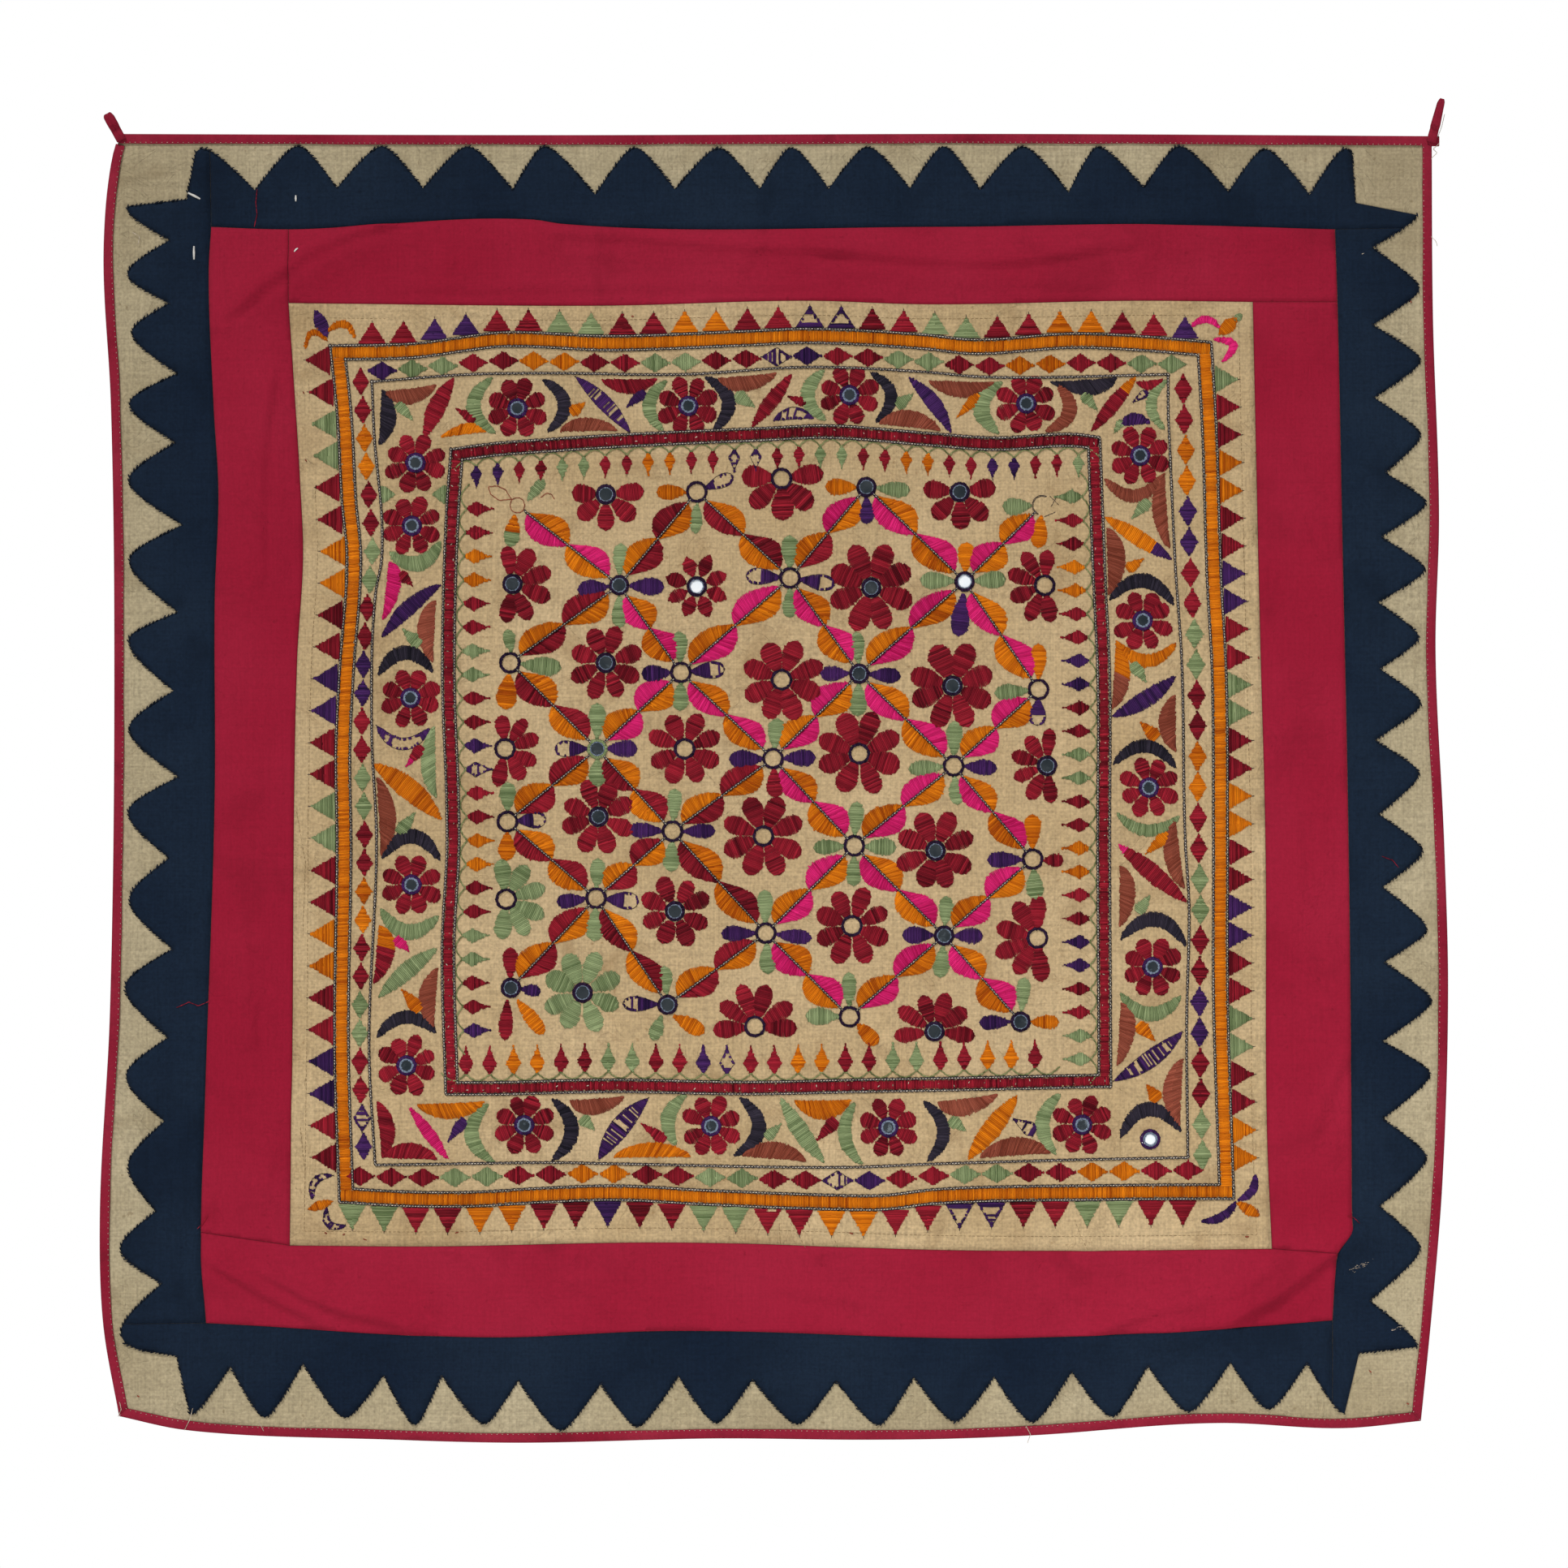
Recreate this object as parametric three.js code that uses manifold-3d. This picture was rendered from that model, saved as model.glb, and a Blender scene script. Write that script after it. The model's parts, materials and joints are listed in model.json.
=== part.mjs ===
// Embroidered wall hanging: a ground cloth bound in red, navy dogtooth strips and plain crimson
// strips round a beige panel, small round glasses held on the panel, and two hanging loops.
// Millimetres, +Z up. The origin is the middle of the top edge, on the wall. The face looks along -Y.

import * as THREE from "three";
import { mergeVertices } from "three/addons/utils/BufferGeometryUtils.js";
import Module from "manifold-3d";

const wasm = await Module();
wasm.setup();

// Layers of cloth, counted out from the wall
const GAP = 0.3;
const BINDING_THICK = 1.0;
const GROUND_THICK = 1.2;
const FACE_THICK = 1.2;
const GROUND_BACK = BINDING_THICK + GAP;
const GROUND_FRONT = GROUND_BACK + GROUND_THICK;
const FACE_BACK = GROUND_FRONT + GAP;
const FACE_FRONT = FACE_BACK + FACE_THICK;

// Binding folded over the edge of the ground cloth
const BINDING_WIDTH = 8;
const BINDING_FOLD = 1.2;

// Short end of the top binding that pokes out at the right. Columns: reach past the corner, height.
const BINDING_STUB = [[1, -0.8], [4.8, -1.2], [6.5, -3.6], [5.1, -6.4], [1, -7]];

// Dogtooth: the flanks swell a little between tip and valley
const TOOTH_SWELL = 1.3;
const HALF_TOOTH_STEPS = [0, 0.2, 0.58];

// Round glasses
const GLASS_RADIUS = 7.5;
const GLASS_THICK = 1.2;
const GLASS_SIDES = 10;

// Hanging loops: tape doubled back on itself, its foot sewn to the front of the binding. The two
// plies part a little above the foot and bend softly into an eye.
const TAPE_THICK = 1.2;
const LOOP_DEPTH = 10.4;
const LOOP_FOOT = 6;
const LOOP_PARTS = 4.4;
const LOOP_FULL = 8.6;
const LOOP_EASE = 1.5;

// Outlines are walked in steps no longer than this, and no two points lie closer than the other
const WALK_STEP = 60;
const WALK_NEAR = 1;

// Depth of the prisms that cut the cloth
const CUT_DEPTH = 80;

// Edges that waver. Columns: place along the side, place across it.
// The left and right sides run along Z, the top and bottom along X.
const EDGES = {
  outer: {
    left: [[-1057, -542], [-982, -555], [-896, -558], [-724, -550], [-403, -547], [-222, -550],
      [-92, -556], [-19, -549], [2, -543]],
    top: [[-560, 1], [-180, 0], [190, 1], [560, -1]],
    right: [[-1061, 531], [-973, 540], [-865, 549], [-703, 554], [-586, 551], [-424, 544],
      [-317, 547], [-147, 542], [2, 541]],
    bottom: [[-542, -1057], [-489, -1069], [-306, -1077], [-213, -1079], [-63, -1076], [66, -1077],
      [216, -1073], [366, -1063], [469, -1067], [531, -1061]],
  },
  seam: {
    left: [[-981, -471], [-922, -475], [-799, -472], [-543, -464], [-381, -464], [-295, -461],
      [-224, -465], [-110, -469], [-76, -467]],
    top: [[-468, -76], [-403, -78], [-202, -70], [-178, -74], [135, -76], [306, -74], [460, -78]],
    right: [[-978, 458], [-930, 461], [-922, 462], [-904, 474], [-896, 474], [-703, 473], [-543, 471],
      [-338, 467], [-138, 463], [-78, 461]],
    bottom: [[-471, -981], [-306, -990], [-224, -992], [-95, -987], [109, -992], [184, -993],
      [337, -987], [458, -978]],
  },
  panel: {
    left: [[-917, -402], [-767, -400], [-435, -396], [-347, -391], [-295, -393], [-139, -403]],
    top: [[-403, -139], [-139, -141], [25, -137], [123, -140], [299, -137], [393, -138]],
    right: [[-919, 408], [-823, 404], [-584, 403], [-421, 399], [-138, 393]],
    bottom: [[-402, -917], [-284, -917], [-92, -914], [136, -920], [273, -921], [408, -919]],
  },
};

// Tooth tips along each side, the seam where the next strip takes over, the line of the notch at the
// side's clockwise end, how far the tips stay from the edge, and how high the teeth are
const TEETH = {
  top: {
    tips: [-475, -395, -326, -255, -192, -117, -48, 12, 75, 138, 203, 265, 332, 403, 470],
    seam: -468,
    notch: [[475, -14], [478, -56]],
    clear: 10.5,
    height: 36,
  },
  right: {
    tips: [-1000, -919, -844, -775, -715, -656, -591, -527, -469, -415, -359, -304, -248, -186, -127, -66],
    seam: -77,
    notch: [[480, -1005]],
    clear: 12.5,
    height: 34,
  },
  bottom: {
    tips: [-484, -423, -356, -298, -241, -178, -115, -50, 17, 84, 147, 211, 277, 340, 405, 468],
    seam: 458,
    notch: [[-495, -1008], [-527, -1002], [-537, -997]],
    clear: 10.5,
    height: 37,
  },
  left: {
    tips: [-990, -916, -848, -778, -703, -631, -559, -490, -417, -351, -285, -218, -163, -115, -59],
    seam: -981,
    notch: [[-487, -53], [-486, -45], [-480, -14]],
    clear: 13.5,
    height: 35,
  },
};

// Seams where one crimson strip meets the next
const CRIMSON_SEAMS = { topLeftX: -403, topRightZ: -138, bottomLeftZ: -906, bottomRightZ: -922 };

// Soft flutes that open towards the hem. Columns: wave length, depth at the hem, phase, lean.
const FLUTES = [
  { wave: 372, depth: 5.2, phase: 0.4, lean: 0.0012 },
  { wave: 233, depth: 2.6, phase: 2.1, lean: -0.0018 },
  { wave: 541, depth: 3.0, phase: 4.0, lean: 0.0008 },
];
const FLUTE_TOP = -40;
const FLUTE_HEM = -1075;

// Folds that stand up from the cloth: the line each follows in X and Z, its height and half width
const FOLDS = [
  { line: [[-434, -132], [-333, -79]], height: 5, spread: 17 },
  { line: [[-182, -82], [29, -94], [156, -109], [297, -90]], height: 6, spread: 20 },
  { line: [[-463, -935], [-369, -969], [-308, -984]], height: 6, spread: 18 },
  { line: [[474, -910], [409, -956], [324, -988]], height: 6, spread: 17 },
  { line: [[335, -963], [279, -984], [194, -1040]], height: 5, spread: 18 },
  { line: [[-422, -210], [-422, -358]], height: 4, spread: 17 },
  { line: [[-435, -677], [-435, -741]], height: 4, spread: 16 },
  { line: [[-407, -803], [-427, -865]], height: 4, spread: 16 },
  { line: [[-3, -894], [49, -921]], height: 3, spread: 15 },
  { line: [[247, -894], [260, -921]], height: 3, spread: 15 },
];

// Grid on which the drape is cut into flat facets. Columns: stop, facets up to the next stop.
const GRID_X = spreadStops([[-590, 6], [-395, 10], [395, 6], [590, 0]]);
const GRID_Z = spreadStops([[-1110, 6], [-905, 10], [-145, 4], [-40, 1], [14, 0]]);

// Places of the glasses on the panel, in X and Z, row by row
const GLASS_ROWS = {
  field_1: [[-141, -297], [74, -291], [151, -295]],
  field_2: [[-218, -371], [-130, -372], [-66, -373], [78, -374], [155, -369]],
  field_3: [[-141, -436], [68, -445], [145, -455]],
  field_4: [[-148, -507], [223, -521]],
  field_5: [[-147, -563], [131, -591]],
  field_6: [[-84, -641], [138, -661]],
  field_7: [[-219, -704], [-160, -708], [-90, -718], [130, -740], [201, -732]],
  border_top: [[-214, -226], [-73, -224], [60, -215], [206, -222]],
  border_left: [[-298, -271], [-301, -323], [-302, -465], [-301, -619], [-305, -768]],
  border_right: [[300, -265], [302, -401], [307, -539], [310, -687], [308, -829]],
  border_bottom: [[-208, -817], [-54, -818], [92, -819], [252, -817]],
};

// Hanging loops: foot in X and Z, lean from upright, length above the foot, tape width
const LOOPS = {
  hanging_loop_left: { foot: [-543.5, 0.6], lean: -0.5, length: 19, width: 8.2 },
  hanging_loop_right: { foot: [541.5, -0.5], lean: 0.24, length: 31, width: 7.8 },
};

const FINISHES = {
  ground: { color: 0xa5967a, roughness: 0.92, metalness: 0 },
  panel: { color: 0xb9a078, roughness: 0.92, metalness: 0 },
  crimson: { color: 0x961e34, roughness: 0.88, metalness: 0 },
  navy: { color: 0x192332, roughness: 0.9, metalness: 0 },
  binding: { color: 0x8a2739, roughness: 0.88, metalness: 0 },
  glass: { color: 0x76828c, roughness: 0.08, metalness: 0.9 },
};

function spreadStops(stops) {
  return stops.flatMap(([from, facets], index) => {
    if (facets === 0) {
      return [from];
    }
    const step = (stops[index + 1][0] - from) / facets;
    return Array.from({ length: facets }, (_, count) => from + step * count);
  });
}

// Drape

function distanceToLine(x, z, line) {
  const point = new THREE.Vector3(x, 0, z);
  const nearest = new THREE.Vector3();
  const distances = line.slice(1).map(([toX, toZ], index) => {
    const [fromX, fromZ] = line[index];
    const stretch = new THREE.Line3(new THREE.Vector3(fromX, 0, fromZ), new THREE.Vector3(toX, 0, toZ));
    return stretch.closestPointToPoint(point, true, nearest).distanceTo(point);
  });
  return Math.min(...distances);
}

function drape(x, z) {
  const opening = 1 - THREE.MathUtils.smoothstep(z, FLUTE_HEM, FLUTE_TOP);
  const flutes = FLUTES.map(({ wave, depth, phase, lean }) => {
    return depth * opening * (1 + Math.sin((2 * Math.PI * x) / wave + phase + lean * z)) / 2;
  });
  const folds = FOLDS.map(({ line, height, spread }) => {
    return height * Math.exp(-((distanceToLine(x, z, line) / spread) ** 2));
  });
  return [...flutes, ...folds].reduce((sum, depth) => sum + depth, 0);
}

const facetDepth = GRID_X.map((x) => GRID_Z.map((z) => drape(x, z)));

function cellOf(lines, place) {
  const index = lines.findIndex((line) => line > place) - 1;
  const share = (place - lines[index]) / (lines[index + 1] - lines[index]);
  return { index, share };
}

// Depth of the faceted drape, read from the facet under a point
function facetedDepth(x, z) {
  const { index: i, share: u } = cellOf(GRID_X, x);
  const { index: j, share: v } = cellOf(GRID_Z, z);
  const low = facetDepth[i + 1][j];
  const high = facetDepth[i][j + 1];
  if (u + v <= 1) {
    const near = facetDepth[i][j];
    return near + u * (low - near) + v * (high - near);
  }
  const far = facetDepth[i + 1][j + 1];
  return far + (1 - u) * (high - far) + (1 - v) * (low - far);
}

// Solids

function toSolid(geometry) {
  geometry.deleteAttribute("normal");
  geometry.deleteAttribute("uv");
  const merged = mergeVertices(geometry);
  const mesh = new wasm.Mesh({
    numProp: 3,
    vertProperties: new Float32Array(merged.attributes.position.array),
    triVerts: new Uint32Array(merged.index.array),
  });
  return new wasm.Manifold(mesh);
}

// Sheet of draped cloth between two depths, wider than the hanging
function drapedSheet(back, front) {
  const columns = GRID_X.length;
  const rows = GRID_Z.length;
  const positions = [back, front].flatMap((layer) => GRID_X.flatMap((x, i) => {
    return GRID_Z.flatMap((z, j) => [x, -(layer + facetDepth[i][j]), z]);
  }));
  const vertex = (face, i, j) => face * columns * rows + i * rows + j;
  const triangles = [];
  for (let i = 0; i < columns - 1; i += 1) {
    for (let j = 0; j < rows - 1; j += 1) {
      for (const face of [0, 1]) {
        const corner = vertex(face, i, j);
        const right = vertex(face, i + 1, j);
        const above = vertex(face, i, j + 1);
        const opposite = vertex(face, i + 1, j + 1);
        const facets = [[corner, right, above], [opposite, above, right]];
        facets.forEach(([a, b, c]) => triangles.push(...(face === 1 ? [a, b, c] : [a, c, b])));
      }
    }
  }
  const rim = [
    ...GRID_X.slice(1).map((_, i) => [i, 0]),
    ...GRID_Z.slice(1).map((_, j) => [columns - 1, j]),
    ...GRID_X.slice(1).map((_, i) => [columns - 1 - i, rows - 1]),
    ...GRID_Z.slice(1).map((_, j) => [0, rows - 1 - j]),
  ];
  rim.forEach(([i, j], index) => {
    const [nextI, nextJ] = rim[(index + 1) % rim.length];
    const [backHere, frontHere] = [vertex(0, i, j), vertex(1, i, j)];
    const [backNext, frontNext] = [vertex(0, nextI, nextJ), vertex(1, nextI, nextJ)];
    triangles.push(backHere, backNext, frontNext, backHere, frontNext, frontHere);
  });
  const geometry = new THREE.BufferGeometry();
  geometry.setAttribute("position", new THREE.Float32BufferAttribute(positions, 3));
  geometry.setIndex(triangles);
  return toSolid(geometry);
}

// Prism through all the cloth, over an outline in X and Z
function prism(outline) {
  const settings = { depth: CUT_DEPTH, bevelEnabled: false };
  const geometry = new THREE.ExtrudeGeometry(new THREE.Shape(outline), settings);
  geometry.rotateX(Math.PI / 2);
  geometry.translate(0, CUT_DEPTH / 4, 0);
  return toSolid(geometry);
}

function toGeometry(solid) {
  const { numProp, vertProperties, triVerts } = solid.getMesh();
  const vertices = new THREE.InterleavedBuffer(vertProperties, numProp);
  const geometry = new THREE.BufferGeometry();
  geometry.setAttribute("position", new THREE.InterleavedBufferAttribute(vertices, 3, 0));
  geometry.setIndex(new THREE.BufferAttribute(triVerts, 1));
  geometry.computeVertexNormals();
  return geometry;
}

function makeMesh(name, geometry, finish) {
  const mesh = new THREE.Mesh(geometry, new THREE.MeshStandardMaterial(FINISHES[finish]));
  mesh.name = name;
  return mesh;
}

// Outlines

const UPRIGHT = new Set(["left", "right"]);
const OUTWARD = { left: -1, top: 1, right: 1, bottom: -1 };
const CLOCKWISE = ["top", "right", "bottom", "left"];

function sidePoint(side, along, across) {
  return UPRIGHT.has(side) ? new THREE.Vector2(across, along) : new THREE.Vector2(along, across);
}

function makeEdge(side, rows) {
  const stations = rows.map(([along]) => along);
  const spline = new THREE.CubicInterpolant(stations, rows.map(([, across]) => across), 1);
  const across = (along) => spline.evaluate(along)[0];
  const point = (along, inwards = 0) => sidePoint(side, along, across(along) - OUTWARD[side] * inwards);
  return { stations, across, point };
}

const edges = {};
for (const [line, sides] of Object.entries(EDGES)) {
  edges[line] = Object.fromEntries(CLOCKWISE.map((side) => [side, makeEdge(side, sides[side])]));
}

// Points along an edge: its own stations, and more where those are far apart
function walk(edge, from, to, inwards = 0) {
  const [low, high] = [Math.min(from, to), Math.max(from, to)];
  const between = edge.stations.filter((along) => along > low + WALK_NEAR && along < high - WALK_NEAR);
  const stops = [low, ...between, high];
  const places = stops.slice(1).flatMap((end, index) => {
    const start = stops[index];
    const steps = Math.ceil((end - start) / WALK_STEP);
    return Array.from({ length: steps }, (_, count) => start + ((end - start) * count) / steps);
  });
  places.push(high);
  if (from > to) {
    places.reverse();
  }
  return places.map((along) => edge.point(along, inwards));
}

// Corner where an upright edge and a level edge cross
function corner(upright, level) {
  let place = level.point(upright.across(level.across(0)));
  for (let pass = 0; pass < 4; pass += 1) {
    place = level.point(upright.across(place.y));
  }
  return place;
}

function cornersOf({ left, top, right, bottom }) {
  return {
    topLeft: corner(left, top),
    topRight: corner(right, top),
    bottomRight: corner(right, bottom),
    bottomLeft: corner(left, bottom),
  };
}

function frameOutline(line) {
  const { left, top, right, bottom } = edges[line];
  const { topLeft, topRight, bottomRight, bottomLeft } = cornersOf(edges[line]);
  const sides = [
    walk(top, topLeft.x, topRight.x),
    walk(right, topRight.y, bottomRight.y),
    walk(bottom, bottomRight.x, bottomLeft.x),
    walk(left, bottomLeft.y, topLeft.y),
  ];
  return sides.flatMap((side) => side.slice(0, -1));
}

// Outline moved in by a distance all round
function inset(outline, distance) {
  const turn = Math.sign(THREE.ShapeUtils.area(outline));
  const count = outline.length;
  const normalAfter = (index) => {
    const along = outline[(index + 1) % count].clone().sub(outline[index]).normalize();
    return new THREE.Vector2(-along.y, along.x).multiplyScalar(turn);
  };
  return outline.map((point, index) => {
    const before = normalAfter((index + count - 1) % count);
    const after = normalAfter(index);
    const mitre = before.clone().add(after).multiplyScalar(distance / (1 + before.dot(after)));
    return point.clone().add(mitre);
  });
}

// Cloth pieces

const sheets = {
  ground: drapedSheet(GROUND_BACK, GROUND_FRONT),
  face: drapedSheet(FACE_BACK, FACE_FRONT),
  binding: drapedSheet(0, FACE_FRONT),
  bindingSlot: drapedSheet(BINDING_THICK, FACE_BACK),
};

function cutFrom(sheet, outline) {
  return sheet.intersect(prism(outline));
}

const hangingOutline = frameOutline("outer");
const outerCorners = cornersOf(edges.outer);
const seamCorners = cornersOf(edges.seam);
const panelCorners = cornersOf(edges.panel);

function groundCloth() {
  const outline = inset(hangingOutline, BINDING_FOLD + GAP);
  return [makeMesh("ground_cloth", toGeometry(cutFrom(sheets.ground, outline)), "ground")];
}

function embroideredPanel() {
  const outline = inset(frameOutline("panel"), GAP / 2);
  return [makeMesh("embroidered_panel", toGeometry(cutFrom(sheets.face, outline)), "panel")];
}

function crimsonStrips() {
  const { seam, panel } = edges;
  const { topLeftX, topRightZ, bottomLeftZ, bottomRightZ } = CRIMSON_SEAMS;
  const { topLeft, topRight, bottomRight, bottomLeft } = panelCorners;
  const outlines = {
    left: [
      ...walk(seam.left, bottomLeftZ, seamCorners.topLeft.y),
      ...walk(seam.top, seamCorners.topLeft.x, topLeftX).slice(1),
      ...walk(panel.left, topLeft.y, bottomLeft.y),
    ],
    top: [
      ...walk(seam.top, topLeftX, seamCorners.topRight.x),
      ...walk(seam.right, seamCorners.topRight.y, topRightZ).slice(1),
      ...walk(panel.top, topRight.x, topLeft.x),
    ],
    right: [
      ...walk(seam.right, topRightZ, bottomRightZ),
      ...walk(panel.right, bottomRight.y, topRight.y),
    ],
    bottom: [
      seam.left.point(bottomLeftZ),
      ...walk(panel.bottom, bottomLeft.x, bottomRight.x),
      ...walk(seam.right, bottomRightZ, seamCorners.bottomRight.y),
      ...walk(seam.bottom, seamCorners.bottomRight.x, seamCorners.bottomLeft.x).slice(1),
      ...walk(seam.left, seamCorners.bottomLeft.y, bottomLeftZ).slice(1, -1),
    ],
  };
  return Object.entries(outlines).map(([side, outline]) => {
    const solid = cutFrom(sheets.face, inset(outline, GAP / 2));
    return makeMesh(`crimson_strip_${side}`, toGeometry(solid), "crimson");
  });
}

// Point on the toothed edge of a side
function toothPoint(side, along) {
  const { tips, clear, height } = TEETH[side];
  const reached = tips.filter((tip) => tip <= along).length;
  const next = THREE.MathUtils.clamp(reached, 1, tips.length - 1);
  const [low, high] = [tips[next - 1], tips[next]];
  const nearest = along - low < high - along ? low : high;
  const share = Math.abs(along - nearest) / ((high - low) / 2);
  const drop = height * share ** TOOTH_SWELL;
  return edges.outer[side].point(along, clear + drop);
}

// Toothed edge of a side, walked clockwise and split at its seam
function toothedEdge(side) {
  const { tips, seam } = TEETH[side];
  const places = tips.slice(1).flatMap((high, index) => {
    const low = tips[index];
    const half = (high - low) / 2;
    const falling = HALF_TOOTH_STEPS.map((share) => low + half * share);
    const rising = HALF_TOOTH_STEPS.slice(1).reverse().map((share) => high - half * share);
    return [...falling, low + half, ...rising];
  });
  places.push(tips[tips.length - 1]);
  if (side === "right" || side === "bottom") {
    places.reverse();
  }
  const direction = Math.sign(places[1] - places[0]);
  const seamPoint = toothPoint(side, seam);
  const before = places.filter((along) => direction * (seam - along) > WALK_NEAR);
  const after = places.filter((along) => direction * (along - seam) > WALK_NEAR);
  return {
    before: [...before.map((along) => toothPoint(side, along)), seamPoint],
    after: [seamPoint, ...after.map((along) => toothPoint(side, along))],
  };
}

function dogtoothStrips() {
  const { topLeft, topRight, bottomRight, bottomLeft } = seamCorners;
  const innerWalks = {
    top: walk(edges.seam.top, topRight.x, topLeft.x),
    right: walk(edges.seam.right, bottomRight.y, topRight.y),
    bottom: walk(edges.seam.bottom, bottomLeft.x, bottomRight.x),
    left: walk(edges.seam.left, topLeft.y, bottomLeft.y),
  };
  return CLOCKWISE.map((side, index) => {
    const next = CLOCKWISE[(index + 1) % CLOCKWISE.length];
    const outline = [
      ...toothedEdge(side).after,
      ...TEETH[side].notch.map(([x, z]) => new THREE.Vector2(x, z)),
      ...toothedEdge(next).before,
      ...innerWalks[side],
    ];
    const solid = cutFrom(sheets.face, inset(outline, GAP / 2));
    return makeMesh(`dogtooth_${side}`, toGeometry(solid), "navy");
  });
}

function bindings() {
  const { left, top, right, bottom } = edges.outer;
  const { topLeft, topRight, bottomRight, bottomLeft } = outerCorners;
  const sideTop = topLeft.y - BINDING_WIDTH - GAP;
  const inner = BINDING_WIDTH;
  const stub = BINDING_STUB.map(([reach, height]) => new THREE.Vector2(topRight.x + reach, height));
  const outlines = {
    top: [
      ...walk(top, topLeft.x, topRight.x),
      ...stub,
      right.point(sideTop + GAP),
      left.point(sideTop + GAP),
    ],
    left: [
      ...walk(left, sideTop, bottomLeft.y),
      bottom.point(bottomLeft.x + inner),
      ...walk(left, bottomLeft.y + inner, sideTop, inner),
    ],
    right: [
      ...walk(right, sideTop, bottomRight.y),
      bottom.point(bottomRight.x - inner),
      ...walk(right, bottomRight.y + inner, sideTop, inner),
    ],
    bottom: [
      ...walk(bottom, bottomLeft.x + inner + GAP, bottomRight.x - inner - GAP),
      ...walk(bottom, bottomRight.x - inner - GAP, bottomLeft.x + inner + GAP, inner),
    ],
  };
  const slot = cutFrom(sheets.bindingSlot, inset(hangingOutline, BINDING_FOLD));
  return Object.entries(outlines).map(([side, outline]) => {
    const solid = cutFrom(sheets.binding, outline).subtract(slot);
    return makeMesh(`binding_${side}`, toGeometry(solid), "binding");
  });
}

// Loops and glasses

// Side view of a loop: doubled tape that opens into an eye above its foot. The shape's x runs
// along Y and its y up the loop.
function loopProfile(length) {
  const footBack = -(FACE_FRONT + GAP);
  const footFront = footBack - 2 * TAPE_THICK;
  const eyeBack = -GAP;
  const eyeFront = eyeBack - LOOP_DEPTH;
  const middle = (eyeBack + eyeFront) / 2;
  const radius = LOOP_DEPTH / 2;
  const tipCentre = length - radius;
  const eyeFoot = LOOP_PARTS + LOOP_EASE;
  const profile = new THREE.Shape();
  profile.moveTo(footBack, -LOOP_FOOT);
  profile.lineTo(footBack, LOOP_PARTS);
  profile.bezierCurveTo(footBack, eyeFoot, eyeBack, eyeFoot, eyeBack, LOOP_FULL);
  profile.lineTo(eyeBack, tipCentre);
  profile.absarc(middle, tipCentre, radius, 0, Math.PI, false);
  profile.lineTo(eyeFront, LOOP_FULL);
  profile.bezierCurveTo(eyeFront, eyeFoot, footFront, eyeFoot, footFront, LOOP_PARTS);
  profile.lineTo(footFront, -LOOP_FOOT);
  const eye = new THREE.Path();
  const [innerBack, innerFront] = [eyeBack - TAPE_THICK, eyeFront + TAPE_THICK];
  eye.moveTo(middle, eyeFoot);
  eye.bezierCurveTo(middle, eyeFoot, innerBack, eyeFoot, innerBack, LOOP_FULL);
  eye.lineTo(innerBack, tipCentre);
  eye.absarc(middle, tipCentre, radius - TAPE_THICK, 0, Math.PI, false);
  eye.lineTo(innerFront, LOOP_FULL);
  eye.bezierCurveTo(innerFront, eyeFoot, middle, eyeFoot, middle, eyeFoot);
  profile.holes.push(eye);
  return profile;
}

function hangingLoops() {
  const sideways = new THREE.Matrix4().makeBasis(
    new THREE.Vector3(0, 1, 0),
    new THREE.Vector3(0, 0, 1),
    new THREE.Vector3(1, 0, 0),
  );
  return Object.entries(LOOPS).map(([name, { foot, lean, length, width }]) => {
    const settings = { depth: width, bevelEnabled: false, curveSegments: 5 };
    const geometry = new THREE.ExtrudeGeometry(loopProfile(length), settings);
    geometry.translate(0, 0, -width / 2);
    geometry.applyMatrix4(sideways);
    const mesh = makeMesh(name, geometry, "binding");
    mesh.position.set(foot[0], 0, foot[1]);
    mesh.rotation.y = lean;
    return mesh;
  });
}

// Each glass lies flat on the facets under it, tilted as the cloth is there
function glasses() {
  const places = Object.values(GLASS_ROWS).flat();
  const rim = Array.from({ length: GLASS_SIDES }, (_, index) => (2 * Math.PI * index) / GLASS_SIDES);
  return places.map(([x, z], index) => {
    const slopeOver = (stepX, stepZ) => {
      return (facetedDepth(x + stepX, z + stepZ) - facetedDepth(x - stepX, z - stepZ)) / (2 * GLASS_RADIUS);
    };
    const [slopeX, slopeZ] = [slopeOver(GLASS_RADIUS, 0), slopeOver(0, GLASS_RADIUS)];
    const seats = rim.map((angle) => {
      const [stepX, stepZ] = [GLASS_RADIUS * Math.cos(angle), GLASS_RADIUS * Math.sin(angle)];
      return facetedDepth(x + stepX, z + stepZ) - slopeX * stepX - slopeZ * stepZ;
    });
    const seat = Math.max(facetedDepth(x, z), ...seats);
    const geometry = new THREE.CylinderGeometry(GLASS_RADIUS, GLASS_RADIUS, GLASS_THICK, GLASS_SIDES);
    const mesh = makeMesh(`mirror_${String(index + 1).padStart(2, "0")}`, geometry, "glass");
    const facing = new THREE.Vector3(slopeX, 1, slopeZ).normalize();
    mesh.quaternion.setFromUnitVectors(new THREE.Vector3(0, 1, 0), facing);
    mesh.position.set(x, -(seat + FACE_FRONT + GAP + GLASS_THICK / 2), z);
    return mesh;
  });
}

const hanging = new THREE.Group();
hanging.name = "wall_hanging";
const cloths = [groundCloth, embroideredPanel, crimsonStrips, dogtoothStrips, bindings];
for (const makePieces of [...cloths, hangingLoops, glasses]) {
  hanging.add(...makePieces());
}

export default hanging;
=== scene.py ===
"""Embroidered wall hanging: fine cloth, sewing, mirror-work embroidery and a plain studio.

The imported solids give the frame. Each cloth piece is made again here as a finer sheet on the same
drape, and the thread, the stitched rings and the sewing are laid on those sheets. Sizes are in
millimetres in the part's frame, with X to the right and Z up, and become metres in the meshes.
"""

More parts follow.
